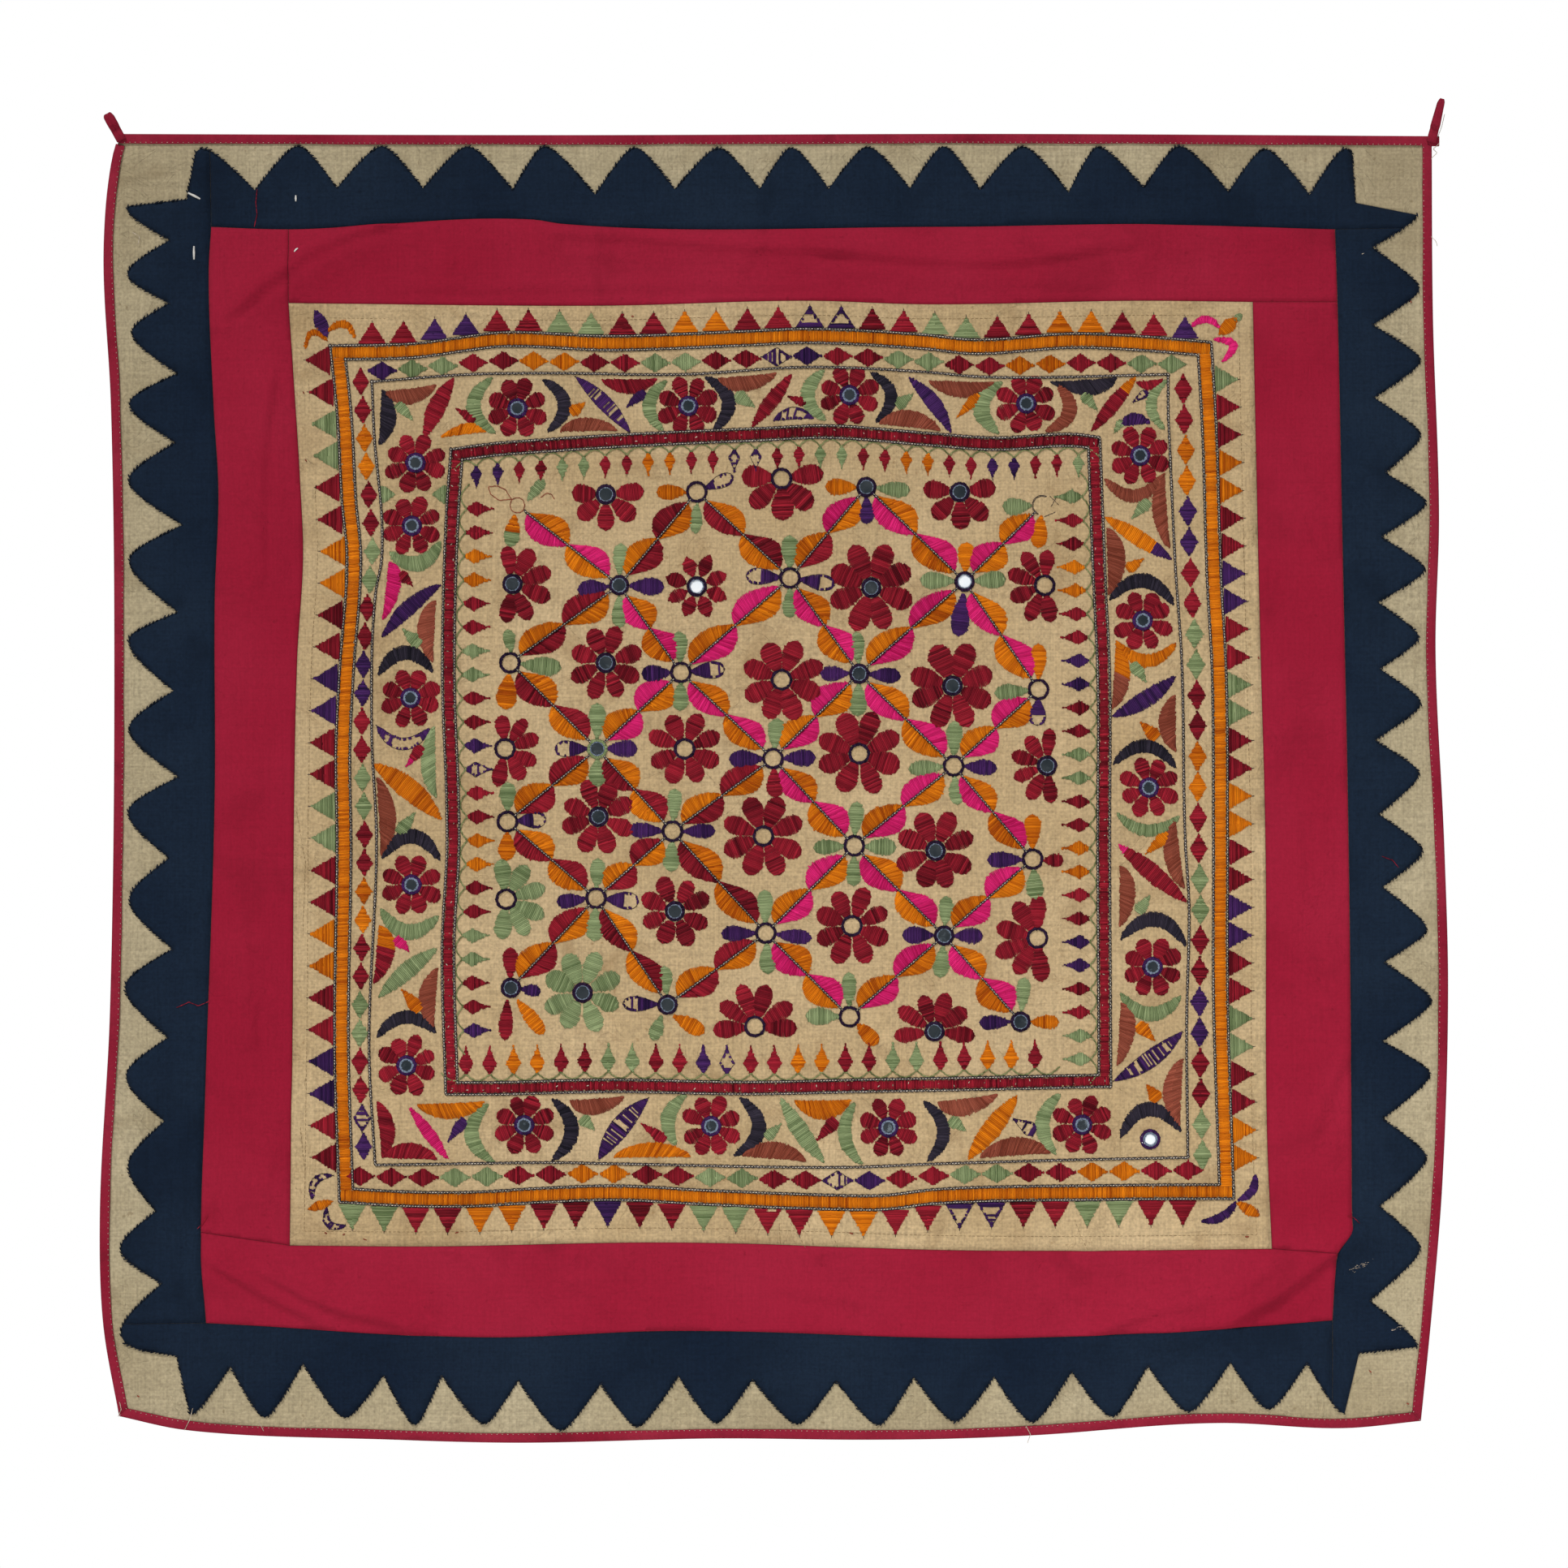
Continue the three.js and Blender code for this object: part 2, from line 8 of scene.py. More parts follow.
from __future__ import annotations

import json
import logging
import math
from dataclasses import dataclass, field, replace
from enum import Enum
from typing import Iterable

import bmesh
import bpy
import numpy as np
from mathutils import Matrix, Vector
from mathutils.geometry import delaunay_2d_cdt

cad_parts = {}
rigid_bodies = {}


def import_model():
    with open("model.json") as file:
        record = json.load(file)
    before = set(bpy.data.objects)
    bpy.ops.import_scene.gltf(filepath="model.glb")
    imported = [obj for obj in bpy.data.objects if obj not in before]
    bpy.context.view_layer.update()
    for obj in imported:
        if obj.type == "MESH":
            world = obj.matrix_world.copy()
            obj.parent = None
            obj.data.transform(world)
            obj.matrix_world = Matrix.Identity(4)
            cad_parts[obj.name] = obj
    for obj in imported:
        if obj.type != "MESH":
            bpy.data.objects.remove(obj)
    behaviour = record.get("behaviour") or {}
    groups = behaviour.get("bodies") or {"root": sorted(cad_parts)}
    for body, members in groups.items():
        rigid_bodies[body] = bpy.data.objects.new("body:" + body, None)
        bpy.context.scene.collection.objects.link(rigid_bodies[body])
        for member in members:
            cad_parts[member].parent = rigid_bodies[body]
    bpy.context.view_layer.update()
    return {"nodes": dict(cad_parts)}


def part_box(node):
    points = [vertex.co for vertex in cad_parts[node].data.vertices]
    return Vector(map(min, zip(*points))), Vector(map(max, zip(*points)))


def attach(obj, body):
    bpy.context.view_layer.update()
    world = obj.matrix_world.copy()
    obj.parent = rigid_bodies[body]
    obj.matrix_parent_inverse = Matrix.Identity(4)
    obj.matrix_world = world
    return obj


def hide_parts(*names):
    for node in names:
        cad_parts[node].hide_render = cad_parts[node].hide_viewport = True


LOG = logging.getLogger("wall_hanging")
BODY = "root"
MM = 0.001
GAP = 0.3

# Layers of cloth, as distances from the wall
GROUND_BACK = 1.3
GROUND_FRONT = 2.5
FACE_BACK = 2.8
FACE_FRONT = 4.0

Colour = tuple[float, float, float]
Spot = tuple[float, float, float]
Place = tuple[float, float]
Rows = tuple[Place, ...]
Chart = tuple[tuple, ...]


class Side(Enum):
    """Sides of the square, clockwise as seen from the front."""

    TOP = "top"
    RIGHT = "right"
    BOTTOM = "bottom"
    LEFT = "left"

    @property
    def upright(self) -> bool:
        """Whether the side runs up and down."""
        return self in (Side.LEFT, Side.RIGHT)

    @property
    def inward(self) -> float:
        """Sign, along X or Z, that leads from the side to the middle."""
        return 1.0 if self in (Side.LEFT, Side.BOTTOM) else -1.0

    @property
    def across(self) -> int:
        """The flat axis that leads across the side, 0 for X and 1 for Z."""
        return 0 if self.upright else 1

    def turned(self, steps: int) -> Side:
        """Gives the side that lies some steps further clockwise."""
        order = list(Side)
        return order[(order.index(self) + steps) % len(order)]


class Thread(Enum):
    """Threads of the embroidery, each with the letter that the charts use."""

    MAROON = "M"
    ORANGE = "O"
    GREEN = "G"
    VIOLET = "V"
    PINK = "P"
    INDIGO = "I"
    BROWN = "B"
    NIGHT = "N"
    PALE_BLUE = "A"


class Form(Enum):
    """How a filled motif widens from one end to the other."""

    LEAF = "leaf"
    ARCH = "arch"
    PETAL = "petal"
    DROP = "drop"
    LEAFLET = "leaflet"
    KITE = "kite"
    CONE = "cone"
    RHOMB = "rhomb"


class LineWork(Enum):
    """Kinds of stitched line."""

    CHAIN = "chain"
    STEM = "stem"
    SCALLOP = "scallop"
    OUTLINE = "outline"
    SKETCH = "sketch"
    FLECK = "fleck"


# Hanging cloth


@dataclass(frozen=True)
class Flute:
    """One run of soft upright waves."""

    wave: float
    depth: float
    phase: float
    lean: float


@dataclass(frozen=True)
class Fold:
    """One soft ridge, or trough where the height is below zero, along a line of points."""

    line: Rows
    height: float
    spread: float


@dataclass(frozen=True)
class Tuck:
    """One fine crease: the cloth stands out on the left of its line and falls back on the right."""

    line: Rows
    height: float
    spread: float = 6.0
    fade: float = 14.0
    steep: float = 2.33
    clear: float = 1.4
    wide: float = 2.4

    def relief(self, x: np.ndarray, z: np.ndarray, under: bool) -> np.ndarray:
        """Gives how far the crease lifts the cloth.

        Args:
            x: Places across.
            z: Places up.
            under: Whether it is the cloth underneath, which only makes way.

        Returns:
            The lift at each place.
        """
        rows = np.array(self.line, float)
        reach = 3.0 * self.fade
        low, high = rows.min(axis=0) - reach, rows.max(axis=0) + reach
        near = (x > low[0]) & (x < high[0]) & (z > low[1]) & (z < high[1])
        lift = np.zeros(np.shape(x))
        if not near.any():
            return lift
        nearest = np.full(int(near.sum()), np.inf)
        best = np.zeros_like(nearest)
        for start, stop in zip(rows, rows[1:]):
            length = float(np.linalg.norm(stop - start))
            run = (stop - start) / length
            off_x, off_z = x[near] - start[0], z[near] - start[1]
            along = off_x * run[0] + off_z * run[1]
            side = (run[0] * off_z - run[1] * off_x) / self.spread
            beyond = np.maximum(np.maximum(-along, along - length), 0.0) / self.fade
            closer = np.hypot(side * self.spread, beyond * self.fade)
            if under:
                value = -self.height * self.clear * np.exp(-(side / self.wide) ** 2 - beyond * beyond)
            else:
                value = self.height * self.steep * side * np.exp(-side * side - beyond * beyond)
            best = np.where(closer < nearest, value, best)
            nearest = np.minimum(nearest, closer)
        lift[near] = best
        return lift


@dataclass(frozen=True)
class Seat:
    """A place where the cloth is held at the back of a glass."""

    place: Place
    shift: float


def smooth_step(value: np.ndarray, low: float, high: float) -> np.ndarray:
    """Rises smoothly from 0 at low to 1 at high."""
    share = np.clip((value - low) / (high - low), 0.0, 1.0)
    return share * share * (3.0 - 2.0 * share)


def unit(rows: np.ndarray) -> np.ndarray:
    """Brings directions to length one."""
    return rows / np.linalg.norm(rows, axis=1, keepdims=True)


def distance_to_line(x: np.ndarray, z: np.ndarray, line: Iterable[Place]) -> np.ndarray:
    """Measures how far points lie from a line.

    Args:
        x: Places across.
        z: Places up.
        line: Points that the line joins.

    Returns:
        The distance of each point to its nearest place on the line.
    """
    stops = list(line)
    nearest = np.full(np.shape(x), np.inf)
    for (from_x, from_z), (to_x, to_z) in zip(stops, stops[1:]):
        run_x, run_z = to_x - from_x, to_z - from_z
        length = max(run_x * run_x + run_z * run_z, 1e-9)
        share = np.clip(((x - from_x) * run_x + (z - from_z) * run_z) / length, 0.0, 1.0)
        reach = np.hypot(x - from_x - share * run_x, z - from_z - share * run_z)
        nearest = np.minimum(nearest, reach)
    return nearest


@dataclass
class Drape:
    """How the cloth hangs: flutes that open towards the hem, ridges, and fine tucks."""

    hem: float = -1075.0
    top: float = -40.0
    seat_reach: float = 20.0
    flutes: tuple[Flute, ...] = (
        Flute(372, 5.2, 0.4, 0.0012),
        Flute(233, 2.6, 2.1, -0.0018),
        Flute(541, 3.0, 4.0, 0.0008),
    )
    folds: tuple[Fold, ...] = (
        Fold(((-434, -132), (-333, -79)), 5.0, 17),
        Fold(((-182, -82), (29, -94), (156, -109), (297, -90)), 6.0, 20),
        Fold(((-463, -935), (-369, -969), (-308, -984)), 6.0, 18),
        Fold(((474, -910), (409, -956), (324, -988)), 6.0, 17),
        Fold(((335, -963), (279, -984), (194, -1040)), 5.0, 18),
        Fold(((-422, -210), (-422, -358)), 4.0, 17),
        Fold(((-435, -677), (-435, -741)), 4.0, 16),
        Fold(((-407, -803), (-427, -865)), 4.0, 16),
        Fold(((-3, -894), (49, -921)), 3.0, 15),
        Fold(((247, -894), (260, -921)), 3.0, 15),
    )
    tucks: tuple[Tuck, ...] = (
        Tuck(((-441, -143), (-422, -126), (-403, -113), (-383, -98), (-361, -88), (-339, -80), (-318, -75)),
             2.5),
        Tuck(((-175, -85), (-125, -87), (-58, -93), (9, -97), (56, -98)), 1.4),
        Tuck(((40, -97), (89, -103), (139, -107), (176, -108), (223, -104), (257, -98), (290, -93)), 2.1),
        Tuck(((-297, -129), (-240, -130), (-172, -128), (-60, -128), (20, -127)), 1.0, 5.0),
        Tuck(((215, -126), (250, -127), (290, -126)), 0.8, 5.0),
        Tuck(((411, -86), (428, -96), (441, -110)), 0.9, 7.0),
        Tuck(((-470, -908), (-440, -915)), 0.8, 5.0),
        Tuck(((-460, -937), (-427, -957), (-393, -974)), 1.9, 6.0),
        Tuck(((-420, -944), (-387, -962), (-360, -972), (-316, -982)), 2.7, 7.5),
        Tuck(((277, -986), (307, -975), (340, -965), (358, -958)), 2.2, 6.0),
        Tuck(((344, -971), (374, -961), (401, -944), (424, -929)), 2.2, 7.0),
        Tuck(((384, -977), (411, -962), (434, -944), (458, -925)), 2.8, 7.5),
        Tuck(((9, -957), (34, -961), (56, -964)), 0.8, 5.0),
        Tuck(((-254, -932), (-243, -944), (-236, -958)), 0.8, 5.0),
        Tuck(((-423, -358), (-423, -277), (-420, -246), (-415, -210)), 1.9, 5.0),
        Tuck(((-430, -742), (-433, -706), (-435, -675)), 1.4, 5.0),
        Tuck(((435, -612), (435, -595), (433, -577)), 1.2, 5.0),
        Tuck(((449, -813), (458, -790), (469, -768)), 1.2),
        Tuck(((-384, -318), (-386, -262), (-389, -205), (-392, -155)), 0.9, 5.0),
        Tuck(((-330, -148), (-288, -150), (-215, -147)), 0.8, 5.0),
        Tuck(((387, -390), (389, -345), (385, -300)), 0.8, 5.0),
        Tuck(((-389, -622), (-385, -570), (-388, -520)), 0.8, 5.0),
    )
    under: bool = False
    seats: list[Seat] = field(default_factory=list)

    def hang(self, x: np.ndarray, z: np.ndarray) -> np.ndarray:
        """Gives how far the cloth stands from its flat layer.

        Args:
            x: Places across.
            z: Places up.

        Returns:
            The depth towards the viewer at each place.
        """
        opening = 1.0 - smooth_step(z, self.hem, self.top)
        depth = np.zeros(np.shape(x))
        for flute in self.flutes:
            turn = 2.0 * math.pi * x / flute.wave + flute.phase + flute.lean * z
            depth = depth + flute.depth * opening * (1.0 + np.sin(turn)) / 2.0
        for fold in self.folds:
            reach = distance_to_line(x, z, fold.line) / fold.spread
            depth = depth + fold.height * np.exp(-reach * reach)
        for tuck in self.tucks:
            depth = depth + tuck.relief(x, z, self.under)
        return depth

    def depth(self, x: np.ndarray, z: np.ndarray) -> np.ndarray:
        """Gives the depth with the seats of the glasses drawn in.

        Args:
            x: Places across.
            z: Places up.

        Returns:
            The depth towards the viewer at each place.
        """
        depth = self.hang(x, z)
        for seat in self.seats:
            reach = np.hypot(x - seat.place[0], z - seat.place[1]) / self.seat_reach
            depth = depth + seat.shift * np.exp(-reach * reach)
        return depth

    def take_seat(self, place: Place, depth: float) -> None:
        """Draws the cloth to a depth round one place."""
        now = float(self.hang(np.array([place[0]]), np.array([place[1]]))[0])
        self.seats.append(Seat(place, depth - now))


@dataclass(frozen=True)
class Face:
    """One face of a layer of the hanging, and the way along Y that it looks."""

    drape: Drape
    layer: float
    outward: float = -1.0

    def points(self, flat: np.ndarray, lift: np.ndarray | float = 0.0) -> np.ndarray:
        """Puts flat places on the face.

        Args:
            flat: Places across and up.
            lift: How far each stands off the face.

        Returns:
            The places in space.
        """
        depth = self.drape.depth(flat[:, 0], flat[:, 1])
        return np.column_stack([flat[:, 0], self.outward * lift - self.layer - depth, flat[:, 1]])

    def normals(self, flat: np.ndarray) -> np.ndarray:
        """Gives the way that the face looks at flat places.

        Args:
            flat: Places across and up.

        Returns:
            Directions of length one.
        """
        step = 1.0
        here = self.drape.depth(flat[:, 0], flat[:, 1])
        slope_x = (self.drape.depth(flat[:, 0] + step, flat[:, 1]) - here) / step
        slope_z = (self.drape.depth(flat[:, 0], flat[:, 1] + step) - here) / step
        normal = np.column_stack([slope_x, np.ones_like(here), slope_z]) * self.outward
        return unit(normal)


# Outlines


class EdgeLine:
    """A wavering edge: a smooth curve through rows of places along and across."""

    overrun = 0.2

    def __init__(self, rows: Rows) -> None:
        """Keeps the rows, in rising order along the edge."""
        self.along = np.array([row[0] for row in rows], float)
        self.across = np.array([row[1] for row in rows], float)

    def at(self, along: np.ndarray | float) -> np.ndarray:
        """Reads the edge.

        Args:
            along: Places along the edge.

        Returns:
            The place across at each.
        """
        place = np.asarray(along, float)
        last = len(self.along) - 1
        low = np.clip(np.searchsorted(self.along, place, side="right") - 1, 0, last - 1)
        before = np.where(low > 0, low - 1, low + 1)
        after = np.where(low + 1 < last, low + 2, low)
        start, stop = self.along[low], self.along[low + 1]
        weight_before = 0.5 * (stop - start) / (start - self.along[before])
        weight_after = 0.5 * (stop - start) / (self.along[after] - stop)
        t = np.clip((place - start) / (stop - start), -self.overrun, 1.0 + self.overrun)
        tt, ttt = t * t, t * t * t
        return (
            (-weight_before * ttt + 2 * weight_before * tt - weight_before * t) * self.across[before]
            + ((1 + weight_before) * ttt - (1.5 + 2 * weight_before) * tt
               + (weight_before - 0.5) * t + 1) * self.across[low]
            + (-(1 + weight_after) * ttt + (1.5 + weight_after) * tt + 0.5 * t) * self.across[low + 1]
            + (weight_after * ttt - weight_after * tt) * self.across[after]
        )


@dataclass
class FrameLine:
    """A four-sided line round the square, each side a wavering edge."""

    top: Rows
    right: Rows
    bottom: Rows
    left: Rows

    def __post_init__(self) -> None:
        """Makes the four edges."""
        self.edges = {side: EdgeLine(getattr(self, side.value)) for side in Side}

    def points(self, side: Side, along: np.ndarray, inwards: float = 0.0) -> np.ndarray:
        """Gives places on one side.

        Args:
            side: The side.
            along: Places along it.
            inwards: How far the places are moved towards the middle.

        Returns:
            Flat places.
        """
        along = np.atleast_1d(np.asarray(along, float))
        across = self.edges[side].at(along) + side.inward * inwards
        return np.column_stack([across, along] if side.upright else [along, across])

    def corner(self, one: Side, other: Side, inwards: float = 0.0) -> np.ndarray:
        """Finds where two neighbouring sides cross.

        Args:
            one: Either side.
            other: The other side.
            inwards: How far both are moved towards the middle.

        Returns:
            The flat place of the corner.
        """
        upright, level = (one, other) if one.upright else (other, one)
        place = np.array([0.0, float(self.edges[level].at(0.0))])
        for _ in range(5):
            place[0] = self.points(upright, place[1], inwards)[0, 0]
            place[1] = self.points(level, place[0], inwards)[0, 1]
        return place

    def corners(self) -> list[np.ndarray]:
        """Gives the four corners, clockwise from the top left."""
        return [self.corner(side.turned(-1), side) for side in Side]

    def walk(self, side: Side, start: float, stop: float, inwards: float = 0.0,
             step: float = 7.0) -> np.ndarray:
        """Walks along one side between two places.

        Args:
            side: The side.
            start: Where the walk starts, along the side.
            stop: Where it ends.
            inwards: How far it is moved towards the middle.
            step: Longest step.

        Returns:
            Flat places.
        """
        count = max(2, math.ceil(abs(stop - start) / step) + 1)
        return self.points(side, np.linspace(start, stop, count), inwards)

    def path(self, side: Side, inwards: float = 0.0) -> np.ndarray:
        """Walks one whole side clockwise, from corner to corner.

        Args:
            side: The side.
            inwards: How far it is moved towards the middle.

        Returns:
            Flat places.
        """
        axis = 1 - side.across
        start = self.corner(side.turned(-1), side, inwards)[axis]
        stop = self.corner(side, side.turned(1), inwards)[axis]
        return self.walk(side, start, stop, inwards)

    def loop(self, inwards: float = 0.0) -> np.ndarray:
        """Walks all four sides clockwise, without repeating a corner."""
        return np.concatenate([self.path(side, inwards)[:-1] for side in Side])


def signed_area(outline: np.ndarray) -> float:
    """Gives the area of a closed outline, below zero where it runs clockwise."""
    after = np.roll(outline, -1, axis=0)
    return float(np.sum(outline[:, 0] * after[:, 1] - after[:, 0] * outline[:, 1])) / 2.0


def inset(outline: np.ndarray, distance: float, least: float = 0.3) -> np.ndarray:
    """Moves a closed outline in by a distance all round.

    Args:
        outline: Flat places in order.
        distance: How far it moves.
        least: Share that keeps a sharp corner from running far out.

    Returns:
        The new outline.
    """
    run = unit(np.roll(outline, -1, axis=0) - outline)
    after = np.column_stack([-run[:, 1], run[:, 0]]) * np.sign(signed_area(outline))
    before = np.roll(after, 1, axis=0)
    share = np.maximum(1.0 + np.sum(before * after, axis=1, keepdims=True), least)
    return outline + (before + after) * distance / share


@dataclass
class Teeth:
    """One toothed side: its tips and notches by place and depth, its bluntness, its join and its corner."""

    tips: Rows
    notches: Rows
    blunt: float
    seam: float
    corner: Rows

    def turns(self) -> np.ndarray:
        """Gives the tips and notches by turns, with their places along the side and their depths."""
        return np.array(sorted(self.tips + self.notches), float)


@dataclass
class CuttingPattern:
    """Outlines of every flat piece of cloth."""

    tooth_swell: float = 1.12
    tooth_steps: int = 9
    seam_clear: float = 1.0
    crimson_top_left: float = -403.0
    crimson_top_right: float = -138.0
    crimson_bottom_left: float = -906.0
    crimson_bottom_right: float = -922.0
    fine_step: float = 4.0
    outer: FrameLine = field(default_factory=lambda: FrameLine(
        left=((-1057, -542), (-982, -555), (-896, -558), (-724, -550), (-403, -547), (-222, -550),
              (-92, -556), (-19, -549), (2, -543)),
        top=((-560, 1), (-180, 0), (190, 1), (560, -1)),
        right=((-1061, 531), (-973, 540), (-865, 549), (-703, 554), (-586, 551), (-424, 544),
               (-317, 547), (-147, 542), (2, 541)),
        bottom=((-542, -1057), (-489, -1069), (-306, -1077), (-213, -1079), (-63, -1076), (66, -1077),
                (216, -1073), (366, -1063), (469, -1067), (531, -1061)),
    ))
    seam: FrameLine = field(default_factory=lambda: FrameLine(
        left=((-981, -471), (-922, -475), (-799, -472), (-543, -464), (-381, -464), (-295, -461),
              (-224, -465), (-110, -469), (-76, -467)),
        top=((-468, -76), (-403, -78), (-202, -70), (-178, -74), (135, -76), (306, -74), (460, -78)),
        right=((-978, 458), (-930, 461), (-922, 462), (-904, 474), (-896, 474), (-703, 473), (-543, 471),
               (-338, 467), (-138, 463), (-78, 461)),
        bottom=((-471, -981), (-306, -990), (-224, -992), (-95, -987), (109, -992), (184, -993),
                (337, -987), (458, -978)),
    ))
    panel: FrameLine = field(default_factory=lambda: FrameLine(
        left=((-917, -402), (-767, -400), (-435, -396), (-347, -391), (-295, -393), (-139, -403)),
        top=((-403, -139), (-139, -141), (25, -137), (123, -140), (299, -137), (393, -138)),
        right=((-919, 408), (-823, 404), (-584, 403), (-421, 399), (-138, 393)),
        bottom=((-402, -917), (-284, -917), (-92, -914), (136, -920), (273, -921), (408, -919)),
    ))
    teeth: dict[Side, Teeth] = field(default_factory=lambda: {
        Side.TOP: Teeth(
            ((-475, 11.5), (-395, 9.5), (-326, 9.5), (-255, 9.5), (-192, 9.5), (-117, 10.5), (-48, 11),
             (12, 11), (75, 10.5), (138, 10.5), (203, 10.5), (265, 10.5), (332, 9.5), (403, 11.5),
             (470, 10.5)),
            ((-431, 46), (-363, 44), (-292, 44), (-218, 45), (-150, 49), (-84, 45), (-14, 45), (43, 45),
             (110, 45), (168, 46), (241, 48), (303, 44), (373, 47), (440, 49)),
            0.16, -468, ((475, -14), (478, -56)),
        ),
        Side.RIGHT: Teeth(
            ((-1000, 9.5), (-919, 14.5), (-844, 14.5), (-775, 14), (-715, 14), (-656, 17), (-591, 18.5),
             (-527, 18), (-469, 13.5), (-415, 14), (-359, 11), (-304, 11), (-248, 14), (-186, 11.5),
             (-127, 11), (-66, 12.5)),
            ((-962, 52.5), (-884, 51), (-812, 52), (-748, 54), (-683, 53), (-621, 52.5), (-561, 53),
             (-500, 53), (-441, 46.5), (-386, 48.5), (-332, 48), (-279, 44), (-217, 51), (-157, 50),
             (-93, 49.5)),
            0.13, -77, ((480, -1005),),
        ),
        Side.BOTTOM: Teeth(
            ((-484, 13.5), (-423, 15.5), (-356, 17), (-298, 13), (-241, 15.5), (-178, 10), (-115, 11.5),
             (-50, 13), (17, 12.5), (84, 12), (147, 14), (211, 11), (277, 10.5), (340, 10), (405, 13),
             (468, 12)),
            ((-451, 56), (-391, 61), (-324, 53), (-276, 54.5), (-213, 51.5), (-145, 47.5), (-81, 52),
             (-20, 49), (49, 48.5), (113, 51.5), (179, 50), (243, 51), (306, 50), (374, 50),
             (437, 53.5)),
            0.13, 458, ((-495, -1008), (-527, -1002), (-537, -997)),
        ),
        Side.LEFT: Teeth(
            ((-990, 13.5), (-919, 17), (-850, 22), (-776, 16), (-703, 12), (-631, 14), (-559, 12),
             (-490, 12.5), (-417, 12), (-351, 13), (-285, 13.5), (-222, 15.5), (-163, 21), (-115, 20),
             (-59, 17.5)),
            ((-948, 50), (-888, 46), (-814, 49.5), (-745, 48.5), (-672, 50), (-597, 46), (-530, 53),
             (-459, 49), (-394, 52.5), (-322, 57), (-254, 52.5), (-197, 56), (-139, 53), (-87, 54.5)),
            0.28, -981, ((-487, -53), (-486, -45), (-480, -14)),
        ),
    })

    def tooth_points(self, side: Side, along: np.ndarray) -> np.ndarray:
        """Gives places on the toothed edge of a side.

        Args:
            side: The side.
            along: Places along it.

        Returns:
            Flat places.
        """
        blunt = self.teeth[side].blunt
        place, depth = self.teeth[side].turns().T
        after = np.clip(np.searchsorted(place, along, side="right"), 1, len(place) - 1)
        tip = after - after % 2
        notch = after - 1 + after % 2
        share = np.abs(along - place[tip]) / np.abs(place[notch] - place[tip])
        share = (np.hypot(share, blunt) - blunt) / (math.hypot(1.0, blunt) - blunt)
        points = self.outer.points(side, along)
        reach = depth[tip] + (depth[notch] - depth[tip]) * share ** self.tooth_swell
        points[:, side.across] += side.inward * reach
        return points

    def toothed_edge(self, side: Side) -> tuple[np.ndarray, np.ndarray]:
        """Walks a toothed edge clockwise and splits it where the strips join.

        Args:
            side: The side.

        Returns:
            The places up to the join, and the places from it on.
        """
        teeth = self.teeth[side]
        stops = teeth.turns()[:, 0]
        shares = np.arange(self.tooth_steps) / self.tooth_steps
        along = np.concatenate([low + (high - low) * shares for low, high in zip(stops, stops[1:])])
        along = np.append(along, stops[-1])
        turn = -1.0 if side in (Side.RIGHT, Side.BOTTOM) else 1.0
        along = along[::int(turn)]
        ahead = turn * (along - teeth.seam)
        before = np.append(along[ahead < -self.seam_clear], teeth.seam)
        after = np.concatenate([[teeth.seam], along[ahead > self.seam_clear]])
        return self.tooth_points(side, before), self.tooth_points(side, after)

    def dogtooth(self, side: Side) -> np.ndarray:
        """Gives the outline of the toothed strip that starts on a side and turns its corner.

        Args:
            side: The side.

        Returns:
            The outline.
        """
        parts = [
            self.toothed_edge(side)[1],
            np.array(self.teeth[side].corner, float),
            self.toothed_edge(side.turned(1))[0],
            self.seam.path(side)[::-1],
        ]
        return inset(np.concatenate(parts), GAP / 2)

    def crimson(self, side: Side) -> np.ndarray:
        """Gives the outline of one crimson strip.

        Args:
            side: The side that the strip lies on.

        Returns:
            The outline.
        """
        seam, panel = self.seam, self.panel
        top_left, top_right, bottom_right, bottom_left = seam.corners()
        parts = {
            Side.LEFT: (
                seam.walk(Side.LEFT, self.crimson_bottom_left, top_left[1]),
                seam.walk(Side.TOP, top_left[0], self.crimson_top_left)[1:],
                panel.path(Side.LEFT)[::-1],
            ),
            Side.TOP: (
                seam.walk(Side.TOP, self.crimson_top_left, top_right[0]),
                seam.walk(Side.RIGHT, top_right[1], self.crimson_top_right)[1:],
                panel.path(Side.TOP)[::-1],
            ),
            Side.RIGHT: (
                seam.walk(Side.RIGHT, self.crimson_top_right, self.crimson_bottom_right, step=self.fine_step),
                panel.path(Side.RIGHT)[::-1],
            ),
            Side.BOTTOM: (
                seam.points(Side.LEFT, self.crimson_bottom_left),
                panel.path(Side.BOTTOM)[::-1],
                seam.walk(Side.RIGHT, self.crimson_bottom_right, bottom_right[1]),
                seam.walk(Side.BOTTOM, bottom_right[0], bottom_left[0])[1:],
                seam.walk(Side.LEFT, bottom_left[1], self.crimson_bottom_left)[1:-1],
            ),
        }
        return inset(np.concatenate(parts[side]), GAP / 2)


# Node graphs


